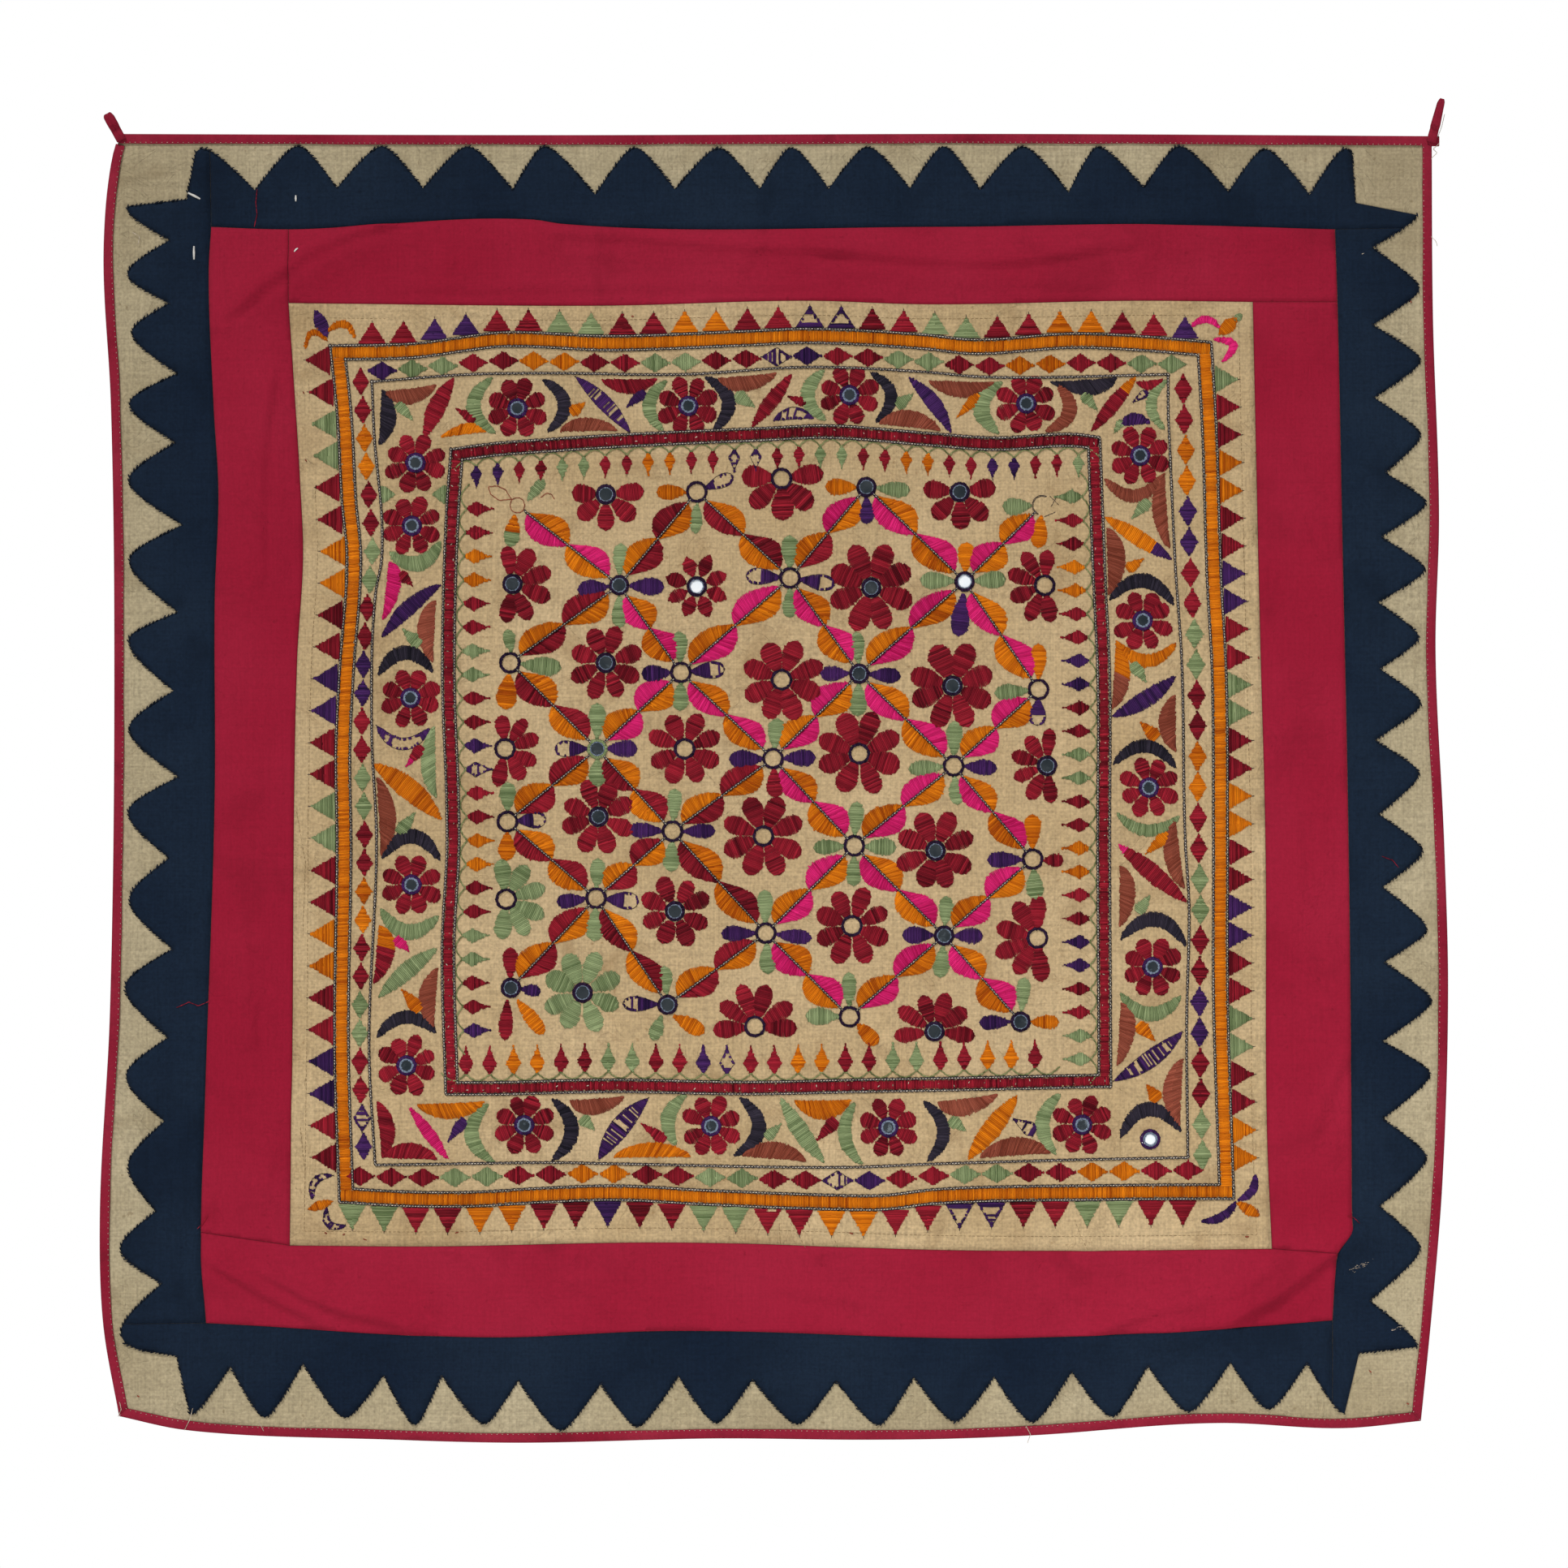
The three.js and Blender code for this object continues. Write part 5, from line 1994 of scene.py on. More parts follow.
@dataclass
class Needle:
    """Lays filled motifs and lines on the panel, thread by thread."""

    face: Face
    seed: int = 20
    pitch: float = 1.4
    cover: float = 1.5
    thickness: float = 0.8
    fewest: int = 4
    leaf_steps: int = 25
    ragged: float = 0.32
    overreach: float = 0.1
    shortest: float = 0.8
    lift: float = 0.15
    lift_spread: float = 0.15
    tone_range: Place = (0.3, 0.64)
    tone_spread: float = 0.21
    stub: float = 2.2
    stub_share: float = 0.3
    stubs_left: float = 0.6
    splits: dict[str, float] = field(default_factory=lambda: {
        "MO": 0.72, "OV": 0.72, "OB": 0.5, "OM": 0.4, "PM": 0.12, "MP": 0.6, "OG": 0.5,
    })

    def __post_init__(self) -> None:
        """Starts the random draws and the empty books."""
        self.draws = np.random.default_rng(self.seed)
        self.books = {thread: StitchBook() for thread in Thread}
        self.lines = {kind: LineBook() for kind in LineWork}

    def bridge(self, letters: str, near: np.ndarray, far: np.ndarray, lean: float = 0.0,
               bare: Place = WORN_PART, loss: float = WORN_LOSS) -> None:
        """Fills the space between two lines with stitches from one to the other.

        Args:
            letters: The thread's letter, small where the motif is worn, or two where the thread changes.
            near: Line where the stitches start.
            far: Line where they end.
            lean: How far, as a share of the lines, each stitch slants.
            bare: Where a worn motif has lost its stitches, as shares of the lines.
            loss: How many of its stitches it has lost there.
        """
        near_line, far_line = Polyline(near), Polyline(far)
        longest = max(near_line.length, far_line.length)
        count = max(self.fewest, round(longest / self.pitch))
        share = (np.arange(count) + 0.5) / count
        starts, stops = near_line.at(share - lean), far_line.at(share + lean)
        run = stops - starts
        length = np.linalg.norm(run, axis=1, keepdims=True)
        run = run / np.maximum(length, 1e-6)
        starts = starts - run * self.draws.normal(self.overreach, self.ragged, (count, 1))
        stops = stops + run * self.draws.normal(self.overreach, self.ragged, (count, 1))
        kept = length[:, 0] > self.shortest
        tones = self.draws.uniform(*self.tone_range) + self.draws.normal(0.0, self.tone_spread, count)
        if letters.islower():
            gone = (share > bare[0]) & (share < bare[1]) & (self.draws.random(count) < loss)
            self.stubs(letters, starts[gone], stops[gone], tones[gone], longest / count)
            self.outline(np.vstack([near, far[::-1], near[:1]]))
            kept &= ~gone
        first = share < self.splits.get(letters, 1.0)
        for letter, part in ((letters[0], kept & first), (letters[-1], kept & ~first)):
            self.lay(letter, starts[part], stops[part], tones[part], longest / count)

    def stubs(self, letter: str, starts: np.ndarray, stops: np.ndarray, tones: np.ndarray,
              pitch: float) -> None:
        """Lays the short ends that worn stitches leave along both edges of a motif.

        Args:
            letter: The thread's letter.
            starts: Flat places where the worn stitches started.
            stops: Flat places where they ended.
            tones: How light each is.
            pitch: Distance from stitch to stitch.
        """
        run = stops - starts
        length = np.maximum(np.linalg.norm(run, axis=1, keepdims=True), 1e-6)
        short = run / length * np.minimum(self.stub, self.stub_share * length)
        for ends, way in ((starts, short), (stops, -short)):
            left = self.draws.random(len(ends)) < self.stubs_left
            self.lay(letter, ends[left], (ends + way)[left], tones[left], pitch)

    def lay(self, letter: str, starts: np.ndarray, stops: np.ndarray, tones: np.ndarray,
            pitch: float) -> None:
        """Adds flat stitches to a thread's book.

        Args:
            letter: The thread's letter.
            starts: Flat places where the stitches start.
            stops: Flat places where they end.
            tones: How light each is.
            pitch: Distance from stitch to stitch.
        """
        if len(starts) == 0:
            return
        lift = self.lift + self.draws.uniform(0.0, self.lift_spread, len(starts))
        size = (pitch * self.cover, self.thickness)
        ups = self.face.normals((starts + stops) / 2.0)
        book = self.books[Thread(letter.upper())]
        book.add(self.face.points(starts, lift), self.face.points(stops, lift), ups, size, tones)

    def motif(self, letters: str, start: Place, stop: Place, width: float, form: Form, bend: float = 0.0,
              bare: Place = WORN_PART, loss: float = WORN_LOSS) -> None:
        """Fills a leaf, petal, cone or other motif along its middle line.

        Args:
            letters: The thread's letter or letters.
            start: One end of its middle line.
            stop: The other end.
            width: Its greatest width.
            form: How it widens.
            bend: How far its middle line bows to the left.
            bare: Where it has lost its stitches if it is worn.
            loss: How many it has lost there.
        """
        spine = bow(start, stop, bend)
        share = np.linspace(0.0, 1.0, len(spine))
        side = left_of(np.gradient(spine, axis=0))
        reach = (half_width(form, share) * width / 2.0)[:, None]
        self.bridge(letters, spine + side * reach, spine - side * reach, 0.0, bare, loss)

    def half_leaf(self, letters: str, start: Place, stop: Place, bulge: float, peak: float = 0.5,
                  lean: float = 0.05, fullness: float = 0.62) -> None:
        """Fills a leaf that lies on one side of a line.

        Args:
            letters: The thread's letter or letters.
            start: Where the line starts.
            stop: Where it ends.
            bulge: How far the leaf reaches to the left, or to the right below zero.
            peak: Where it reaches furthest, as a share of the line.
            lean: How far each stitch slants.
            fullness: How fast it swells at its ends, faster where it is lower.
        """
        stem = bow(start, stop, 0.0, self.leaf_steps)
        share = np.linspace(0.0, 1.0, len(stem)) ** (math.log(0.5) / math.log(peak))
        side = left_of(np.gradient(stem, axis=0))
        edge = stem + side * (bulge * np.sin(np.pi * share) ** fullness)[:, None]
        self.bridge(letters, stem, edge, lean)

    def outline(self, line: np.ndarray) -> None:
        """Draws a motif's outline in one thin line."""
        self.lines[LineWork.OUTLINE].add(self.face, line)


# Embroidered bands round the field


@dataclass(frozen=True)
class MotifRow:
    """A row of small motifs on one side: its ends, its chart, and each motif's width and length."""

    first: float
    last: float
    chart: str
    width: float
    length: float

    def places(self) -> Iterable[tuple[str, float]]:
        """Pairs each letter of the chart with its place along the side."""
        return zip(self.chart, np.linspace(self.first, self.last, len(self.chart)))


@dataclass
class Bands:
    """The orange band, the thin line and the maroon band, with the rows of small motifs between."""

    chain_inset: float = 1.3
    orange_width: float = 14.2
    maroon_width: float = 12.5
    tail: float = 1.2
    rhomb_loss: float = 0.6
    scallop_depth: float = 5.5
    scallop_steps: int = 8
    fleck_wander: float = 2.6
    chain_lift: float = 0.3
    fleck_lift: float = 0.9
    scallop_lift: float = 0.2
    orange: FrameLine = field(default_factory=lambda: FrameLine(
        top=((-370, -173), (-297, -171), (-253, -165), (-227, -162), (-139, -165), (-25, -161), (25, -159),
             (123, -164), (161, -168), (245, -163), (299, -165), (358, -170)),
        right=((-876, 378), (-712, 373), (-584, 373), (-443, 372), (-368, 368), (-241, 364), (-172, 360)),
        bottom=((-362, -882), (-302, -885), (-249, -885), (-196, -882), (-132, -880), (-56, -884), (48, -888),
                (88, -888), (129, -883), (273, -880), (378, -879)),
        left=((-879, -362), (-756, -366), (-584, -364), (-507, -365), (-443, -362), (-347, -356),
              (-304, -360), (-232, -364), (-174, -370)),
    ))
    thin: FrameLine = field(default_factory=lambda: FrameLine(
        top=((-334, -204), (-253, -198), (-184, -197), (-77, -198), (25, -192), (123, -196), (168, -200),
             (327, -198)),
        right=((-844, 339), (-734, 338), (-634, 340), (-584, 337), (-432, 334), (-358, 329), (-251, 324)),
        bottom=((-332, -850), (-179, -848), (-132, -849), (61, -852), (129, -849), (338, -844)),
        left=((-849, -331), (-756, -336), (-579, -330), (-496, -334), (-379, -331), (-351, -326),
              (-315, -326), (-251, -332), (-207, -334)),
    ))
    maroon: FrameLine = field(default_factory=lambda: FrameLine(
        top=((-271, -259), (-236, -254), (-184, -250), (-139, -247), (-9, -241), (42, -239), (123, -245),
             (180, -249), (245, -246), (269, -249)),
        right=((-787, 277), (-584, 276), (-443, 276), (-379, 273), (-251, 268)),
        bottom=((-275, -793), (-232, -793), (-139, -791), (-20, -793), (70, -791), (277, -787)),
        left=((-792, -274), (-668, -277), (-584, -273), (-443, -277), (-315, -274), (-259, -270)),
    ))
    cones: dict[Side, MotifRow] = field(default_factory=lambda: {
        Side.TOP: MotifRow(-334, 337, "MMVVMMGGMMOOMMvvMMGGMMOOMMV", 23, 17),
        Side.RIGHT: MotifRow(-202, -844, "GMMOOMMVVMMGGMMOOMMVVMMGGMMOO", 22, 18.5),
        Side.BOTTOM: MotifRow(-350, 335, "GGMMOOMMVMMGGMMOOMMvvMMGGMM", 23, 20),
        Side.LEFT: MotifRow(-186, -844, "MMGGMMOOMMVVMMGGMMOOMMVVMM", 24, 20),
    })
    rhombs: dict[Side, MotifRow] = field(default_factory=lambda: {
        Side.TOP: MotifRow(-326, 326, "VGGMMOOMMGGMMvVMMGGMMOOMMGG", 15.5, 25),
        Side.RIGHT: MotifRow(-210, -842, "MMOOVVMMGGMMOOMMGGMMVVMMGG", 15, 25),
        Side.BOTTOM: MotifRow(-344, 339, "MMMGGMMOOMMGGMMvVMMGGMMOOMM", 16, 26),
        Side.LEFT: MotifRow(-204, -835, "MMOOMMGGMMVVMMGGMMOOMMGGMMvV", 14, 23),
    })
    drops: dict[Side, MotifRow] = field(default_factory=lambda: {
        Side.TOP: MotifRow(-248, 249, "VVMMGGMMOOMMvvMMGGMMOOMMVVMMG", 9.5, 18.5),
        Side.RIGHT: MotifRow(-299, -763, "GMMOOMMVVMMGGMMOOMMVVMMGG", 12, 23),
        Side.BOTTOM: MotifRow(-256, 213, "MMOOMMGGMMVvMMOOMMGGMMOOM", 12.5, 23.5),
        Side.LEFT: MotifRow(-309, -739, "MMOOMMGGMMVvMMOOMMGGMMV", 12.5, 22.5),
    })

    def sew(self, needle: Needle) -> None:
        """Sews all bands and rows.

        Args:
            needle: The needle.
        """
        self.band(needle, self.orange, "O", self.orange_width)
        self.band(needle, self.maroon, "M", self.maroon_width)
        self.chain(needle, self.thin, 0.0)
        for side in Side:
            self.flecks(needle, side)
            self.cone_row(needle, side)
            self.rhomb_row(needle, side)
            self.drop_row(needle, side)
            self.scallops(needle, side)

    def chain(self, needle: Needle, line: FrameLine, inwards: float) -> None:
        """Sews one chain line all round."""
        loop = line.loop(inwards)
        needle.lines[LineWork.CHAIN].add(needle.face, np.vstack([loop, loop[:1]]), self.chain_lift)

    def band(self, needle: Needle, line: FrameLine, letter: str, width: float) -> None:
        """Fills a band all round and edges it with two chain lines.

        Args:
            needle: The needle.
            line: The band's outer edge.
            letter: Its thread.
            width: Its width, edges and all.
        """
        half = width / 2.0 - 2.0 * self.chain_inset
        for side in Side:
            middle = line.path(side, width / 2.0)
            run = unit(np.gradient(middle, axis=0))
            grow = -half if side.upright else half
            middle[0] -= run[0] * grow
            middle[-1] += run[-1] * grow
            across = left_of(run) * half
            needle.bridge(letter, middle + across, middle - across)
        self.chain(needle, line, self.chain_inset)
        self.chain(needle, line, width - self.chain_inset)

    def flecks(self, needle: Needle, side: Side) -> None:
        """Sews the pale flecks that show along the maroon band.

        Args:
            needle: The needle.
            side: The side.
        """
        path = self.maroon.path(side, self.maroon_width / 2.0)
        wander = self.fleck_wander * needle.draws.uniform(-1.0, 1.0, len(path))
        line = path + left_of(np.gradient(path, axis=0)) * wander[:, None]
        needle.lines[LineWork.FLECK].add(needle.face, line, self.fleck_lift)

    def cone_row(self, needle: Needle, side: Side) -> None:
        """Sews the pointed motifs that stand outside the orange band.

        Args:
            needle: The needle.
            side: The side.
        """
        row = self.cones[side]
        for letter, along in row.places():
            base, tip, end = (self.orange.points(side, along, -reach)[0] for reach in
                              (0.0, row.length, row.length + self.tail))
            needle.motif(letter, base, tip, row.width, Form.CONE)
            needle.outline(np.array([tip, end]))

    def rhomb_row(self, needle: Needle, side: Side) -> None:
        """Sews the row of rhombs between the orange band and the thin line.

        Args:
            needle: The needle.
            side: The side.
        """
        row = self.rhombs[side]
        half = row.length / 2.0
        for letter, along in row.places():
            inner = self.orange.points(side, along, self.orange_width)[0]
            middle = (inner + self.thin.points(side, along)[0]) / 2.0
            run = np.array([0.0, half] if side.upright else [half, 0.0])
            needle.motif(letter, middle - run, middle + run, row.width, Form.RHOMB, loss=self.rhomb_loss)

    def drop_row(self, needle: Needle, side: Side) -> None:
        """Sews the tailed drops that hang inside the maroon band.

        Args:
            needle: The needle.
            side: The side.
        """
        row = self.drops[side]
        start = self.maroon_width + self.scallop_depth
        for letter, along in row.places():
            base, tip = (self.maroon.points(side, along, reach)[0] for reach in (start, start + row.length))
            needle.motif(letter, base, tip, row.width, Form.KITE)

    def scallops(self, needle: Needle, side: Side) -> None:
        """Sews the fine scalloped line that swings from drop to drop.

        Args:
            needle: The needle.
            side: The side.
        """
        places = np.array([along for _, along in self.drops[side].places()])
        pitch = places[1] - places[0]
        places = np.concatenate([[places[0] - pitch], places, [places[-1] + pitch]])
        share = np.linspace(0.0, 1.0, (len(places) - 1) * self.scallop_steps + 1)
        along = np.interp(share, np.linspace(0.0, 1.0, len(places)), places)
        swing = self.scallop_depth * (1.0 - np.abs(np.sin(np.pi * share * (len(places) - 1))))
        line = self.maroon.points(side, along, self.maroon_width)
        line[:, side.across] += side.inward * swing
        needle.lines[LineWork.SCALLOP].add(needle.face, line, self.scallop_lift)


# Field of flowers


@dataclass
class Rings:
    """The stitched rings that hold the glasses, or mark where one is lost."""

    inner: float = 5.9
    outer: float = 8.4
    bare_outer: float = 9.0
    rim_inner: float = 5.1
    wide_rim_inner: float = 4.3
    bare_inner: float = 6.5
    stitches: int = 34
    glass_top: float = 1.9
    bare_top: float = 0.8
    foot_lift: float = 0.3
    stray: float = 0.18
    tone: float = 0.45
    tone_spread: float = 0.17
    cover: float = 1.4
    thickness: float = 0.9
    near: float = 6.0
    glasses: dict[str, np.ndarray] = field(default_factory=dict)

    def glass_at(self, place: Place) -> np.ndarray | None:
        """Finds the glass at a place, if one is left there.

        Args:
            place: The place.

        Returns:
            The middle of the glass, or None.
        """
        for centre in self.glasses.values():
            if math.hypot(centre[0] - place[0], centre[1] - place[1]) < self.near:
                return centre
        return None

    def sew(self, needle: Needle, place: Place, thread: Thread) -> None:
        """Sews one ring of close radial stitches, with a pale rim on a glass.

        Args:
            needle: The needle.
            place: The ring's middle.
            thread: Its thread.
        """
        glass = self.glass_at(place)
        if glass is None:
            bare = (self.bare_outer, self.bare_inner)
            self.round(needle, np.array(place, float), thread, bare, (self.foot_lift, self.bare_top))
            return
        self.round(needle, glass, thread, (self.outer, self.inner), (self.foot_lift, self.glass_top))
        rim = self.wide_rim_inner if thread is Thread.VIOLET else self.rim_inner
        self.round(needle, glass, Thread.PALE_BLUE, (self.inner, rim), (self.glass_top, self.glass_top))

    def round(self, needle: Needle, centre: np.ndarray, thread: Thread, reach: Place, lift: Place) -> None:
        """Sews one round of stitches.

        Args:
            needle: The needle.
            centre: Its middle.
            thread: Its thread.
            reach: Its outer and inner radius.
            lift: How high its outer and inner ends stand.
        """
        turn = np.arange(self.stitches) * 2.0 * math.pi / self.stitches
        ray = np.column_stack([np.cos(turn), np.sin(turn)])
        stray = needle.draws.normal(0.0, self.stray, (2, self.stitches, 1))
        starts, stops = (centre + ray * (radius + wander) for radius, wander in zip(reach, stray))
        low, high = (np.full(self.stitches, height) for height in lift)
        tones = needle.draws.normal(self.tone, self.tone_spread, self.stitches)
        size = (2.0 * math.pi * reach[0] / self.stitches * self.cover, self.thickness)
        points = needle.face.points(starts, low), needle.face.points(stops, high)
        needle.books[thread].add(*points, needle.face.normals(starts), size, tones)


@dataclass(frozen=True)
class Spray:
    """Which petals a flower has, by first and last direction in degrees, and how far they stray."""

    first: float
    last: float
    count: int
    turn_stray: float = 0.04
    reach_stray: float = 0.03
    width_stray: float = 0.05
    full_step: float = 45.0

    def angles(self) -> np.ndarray:
        """Gives the petals' directions in radians."""
        return np.radians(np.linspace(self.first, self.last, self.count))

    @property
    def room(self) -> float:
        """The room beside each petal, as a share of that in a full flower."""
        return (self.last - self.first) / (self.count - 1) / self.full_step


FULL_SPRAY = Spray(22.5, 337.5, 8)


def sew_flower(needle: Needle, letter: str, place: Place, radius: float, spray: Spray, core: float,
               width: float, form: Form = Form.PETAL) -> None:
    """Sews the petals of one flower.

    Args:
        needle: The needle.
        letter: The thread's letter.
        place: The flower's middle.
        radius: How far its petals reach.
        spray: Which petals it has.
        core: Radius of the ring that they start from.
        width: Width of a petal.
        form: How a petal widens.
    """
    for angle in spray.angles():
        turned = angle + needle.draws.normal(0.0, spray.turn_stray)
        ray = np.array([math.cos(turned), math.sin(turned)])
        reach = radius * needle.draws.normal(1.0, spray.reach_stray)
        wide = width * spray.room * needle.draws.normal(1.0, spray.width_stray)
        needle.motif(letter, place + ray * core, place + ray * reach, wide, form)


@dataclass
class FlowerField:
    """The middle of the panel: flowers and ring nodes by turns, joined by leafed diagonals.

    Each row runs from left to right and starts with a node or a flower by turns. A place's third
    number is the reach of its flower, or 0 at a node.
    """

    rings: Rings
    core: float = 8.8
    petal_share: float = 0.48
    leaf_bulge: float = 14.0
    leaf_gap: float = 8.6
    leaf_start: float = 11.5
    drop: Place = (13.0, 25.8)
    drop_stray: float = 3.0
    drop_range: Place = (0.88, 1.13)
    drop_bare: Place = (0.5, 1.0)
    odd_bare: Place = (0.3, 1.0)
    low_share: float = 0.92
    downward: float = -0.9
    leaf_fullness: float = 0.7
    leaf_range: Place = (0.92, 1.08)
    leaf_shift: float = 0.12
    stem_lift: float = 0.6
    sketch_lift: float = 0.1
    rows: tuple[tuple[tuple[float, float, float], ...], ...] = (
        ((-214, -306, 0), (-141, -297, 30), (-66, -295, 0), (4, -284, 34), (74, -291, 0), (151, -295, 30),
         (219, -306, 0)),
        ((-218, -371, 33), (-130, -372, 0), (-66, -373, 26), (11, -366, 0), (78, -374, 37), (155, -369, 0),
         (221, -372, 31)),
        ((-220, -436, 0), (-141, -436, 30), (-79, -444, 0), (4, -450, 34), (68, -445, 0), (145, -455, 36),
         (216, -458, 0)),
        ((-224, -507, 29), (-148, -507, 0), (-76, -507, 31), (-3, -515, 0), (68, -511, 35), (146, -521, 0),
         (223, -521, 30)),
        ((-222, -567, 0), (-147, -563, 31), (-86, -575, 0), (-11, -579, 34.5), (64, -587, 0), (131, -591, 33),
         (211, -598, 0)),
        ((-223, -631, 33), (-149, -630, 0), (-84, -641, 30), (-9, -659, 0), (62, -653, 32), (138, -661, 0),
         (215, -663, 36)),
        ((-219, -704, 0), (-160, -708, 33), (-90, -718, 0), (-18, -736, 35), (60, -728, 0), (130, -740, 33),
         (201, -732, 0)),
    )
    green_flowers: tuple[tuple[int, int], ...] = ((5, 0), (6, 1))
    pointed_flower: tuple[int, int] = (1, 2)
    whole_flower: tuple[int, int] = (6, 1)
    without_ring: tuple[tuple[int, int], ...] = ((0, 0), (0, 6))
    faint_ring: tuple[float, float, float, float] = (219.0, -306.0, 70.0, 240.0)
    faint_reaches: Place = (7.5, 8.2)
    faint_steps: int = 12
    faint_strokes: tuple[Rows, ...] = (
        ((226, -299), (232, -305)), ((227, -306), (231, -299)), ((222, -315), (229, -312)),
    )
    ring_threads: dict[tuple[int, int], Thread] = field(default_factory=lambda: {(3, 1): Thread.GREEN})
    odd_drops: Chart = (
        ("OG", -216, -314, -220, -340, 13), ("G", -206, -302, -192, -285, 9),
        ("v", -59, -292, -36, -282, 11), ("G", -66, -304, -67, -329, 10),
        ("G", -219, -427, -222, -409, 10), ("G", -211, -437, -178, -440, 15),
        ("O", -221, -446, -224, -474, 17), ("M", -222, -714, -224, -747, 11.5),
        ("O", -214, -714, -192, -742, 12), ("V", -211, -705, -195, -707, 10),
        ("M", 220, -599, 236, -599, 11), ("V", 154, -379, 150, -414, 15.5),
        ("G", -95, -727, -102, -747, 11), ("O", -85, -727, -60, -741, 13),
    )
    sketches: tuple[Rows, ...] = (
        ((-208, -306), (-209, -302), (-212, -300), (-216, -300), (-219, -302), (-220, -306), (-219, -310),
         (-216, -312), (-212, -312), (-209, -310), (-208, -306)),
        ((-219, -301), (-224, -293), (-231, -290), (-238, -291), (-236, -297), (-229, -302), (-219, -301)),
        ((-194, -299), (-190, -296), (-186, -297), (-184, -300)),
    )
    drop_charts: tuple[str, ...] = (
        "-----", "---O-", "-GVO-", "--OG-",
        "GVGV-", "GvGv-", "OG-G-",
        "-----", "GvGV-", "GVGV-", "O-vG-",
        "GVGv-", "GVMV-", "GVGG-",
        "GvO--", "GVGV-", "GGGG-", "O-GV-",
        "GvGV-", "GVGV-", "GVGV-",
        "M----", "G--v-", "G--GO", "GO-V-",
    )
    drop_turns: tuple[float, ...] = (90.0, 0.0, -90.0, 180.0, -45.0)
    maroon_edges: tuple[tuple[int, int, int, int], ...] = (
        (0, 2, 1, 1), (0, 2, 1, 3), (1, 1, 2, 0), (2, 0, 3, 1), (3, 1, 4, 0), (3, 1, 4, 2), (3, 3, 4, 2),
        (4, 0, 5, 1), (4, 2, 5, 1), (4, 2, 5, 3), (5, 1, 6, 0), (5, 1, 6, 2), (5, 3, 6, 2),
    )
    odd_edges: dict[tuple[int, int, int, int], str] = field(default_factory=lambda: {
        (0, 4, 1, 3): "MP", (0, 6, 1, 5): "OOPP",
    })
    edge_sprays: dict[Side, Spray] = field(default_factory=lambda: {
        Side.TOP: Spray(174.0, 364.0, 5),
        Side.RIGHT: Spray(86.0, 280.0, 6),
        Side.BOTTOM: Spray(-6.0, 186.0, 6),
        Side.LEFT: Spray(-100.0, 96.0, 6),
    })

    def cells(self) -> Iterable[tuple[int, int, np.ndarray, float]]:
        """Goes through the places.

        Returns:
            Each place's row, column, flat place and flower reach.
        """
        for row, line in enumerate(self.rows):
            for column, (x, z, reach) in enumerate(line):
                yield row, column, np.array([x, z], float), reach

    def spray_of(self, row: int, column: int) -> Spray:
        """Gives the petals of the flower at a place: all, or those away from a nearby edge.

        Args:
            row: The place's row.
            column: Its column.

        Returns:
            The spray.
        """
        last = len(self.rows) - 1
        if (row, column) == self.whole_flower:
            return FULL_SPRAY
        for side, near in ((Side.TOP, row == 0), (Side.BOTTOM, row == last),
                           (Side.LEFT, column == 0), (Side.RIGHT, column == last)):
            if near:
                return self.edge_sprays[side]
        return FULL_SPRAY

    def sew(self, needle: Needle) -> None:
        """Sews the diagonals, the flowers, the drops and the rings.

        Args:
            needle: The needle.
        """
        self.diagonals(needle)
        charts = iter(self.drop_charts)
        for row, column, place, reach in self.cells():
            if reach:
                letter = "G" if (row, column) in self.green_flowers else "M"
                form = Form.LEAF if (row, column) == self.pointed_flower else Form.PETAL
                width = reach * self.petal_share
                sew_flower(needle, letter, place, reach, self.spray_of(row, column), self.core, width, form)
            else:
                self.node_drops(needle, place, next(charts))
            if (row, column) not in self.without_ring:
                self.rings.sew(needle, place, self.ring_threads.get((row, column), Thread.NIGHT))
        for letters, *ends, width in self.odd_drops:
            needle.motif(letters, ends[:2], ends[2:], width, Form.DROP, 0.0, self.odd_bare)
        for line in self.sketches:
            needle.lines[LineWork.SKETCH].add(needle.face, np.array(line, float), self.sketch_lift)
        x, z, first, last = self.faint_ring
        turn = np.radians(np.linspace(first, last, self.faint_steps))
        for reach in self.faint_reaches:
            needle.outline(np.column_stack([x + reach * np.cos(turn), z + reach * np.sin(turn)]))
        for line in self.faint_strokes:
            needle.outline(np.array(line, float))

    def node_drops(self, needle: Needle, place: np.ndarray, chart: str) -> None:
        """Sews the drops round one node, each pointed towards it.

        Args:
            needle: The needle.
            place: The node.
            chart: Threads of its drops, with a dash where there is none.
        """
        for letter, turn in zip(chart, self.drop_turns):
            if letter == "-":
                continue
            angle = math.radians(turn + needle.draws.normal(0.0, self.drop_stray))
            ray = np.array([math.cos(angle), math.sin(angle)])
            width, length = self.drop * needle.draws.uniform(*self.drop_range, 2)
            length *= self.low_share if ray[1] < self.downward else 1.0
            first, last = (place + ray * reach for reach in (self.leaf_gap, self.leaf_gap + length))
            needle.motif(letter, first, last, width, Form.DROP, bare=self.drop_bare)

    def diagonals(self, needle: Needle) -> None:
        """Sews the leafed lines between neighbouring nodes.

        Args:
            needle: The needle.
        """
        for row, column, place, reach in self.cells():
            if reach or row == len(self.rows) - 1:
                continue
            for step in (-1, 1):
                other = column + step
                if 0 <= other < len(self.rows[row]):
                    far = np.array(self.rows[row + 1][other][:2], float)
                    edge = (row, column, row + 1, other)
                    letters = "MM" if edge in self.maroon_edges else "PP"
                    letters = self.odd_edges.get(edge, letters)
                    start, stop = (place, far) if step > 0 else (far, place)
                    self.diagonal(needle, start, stop, letters, step)

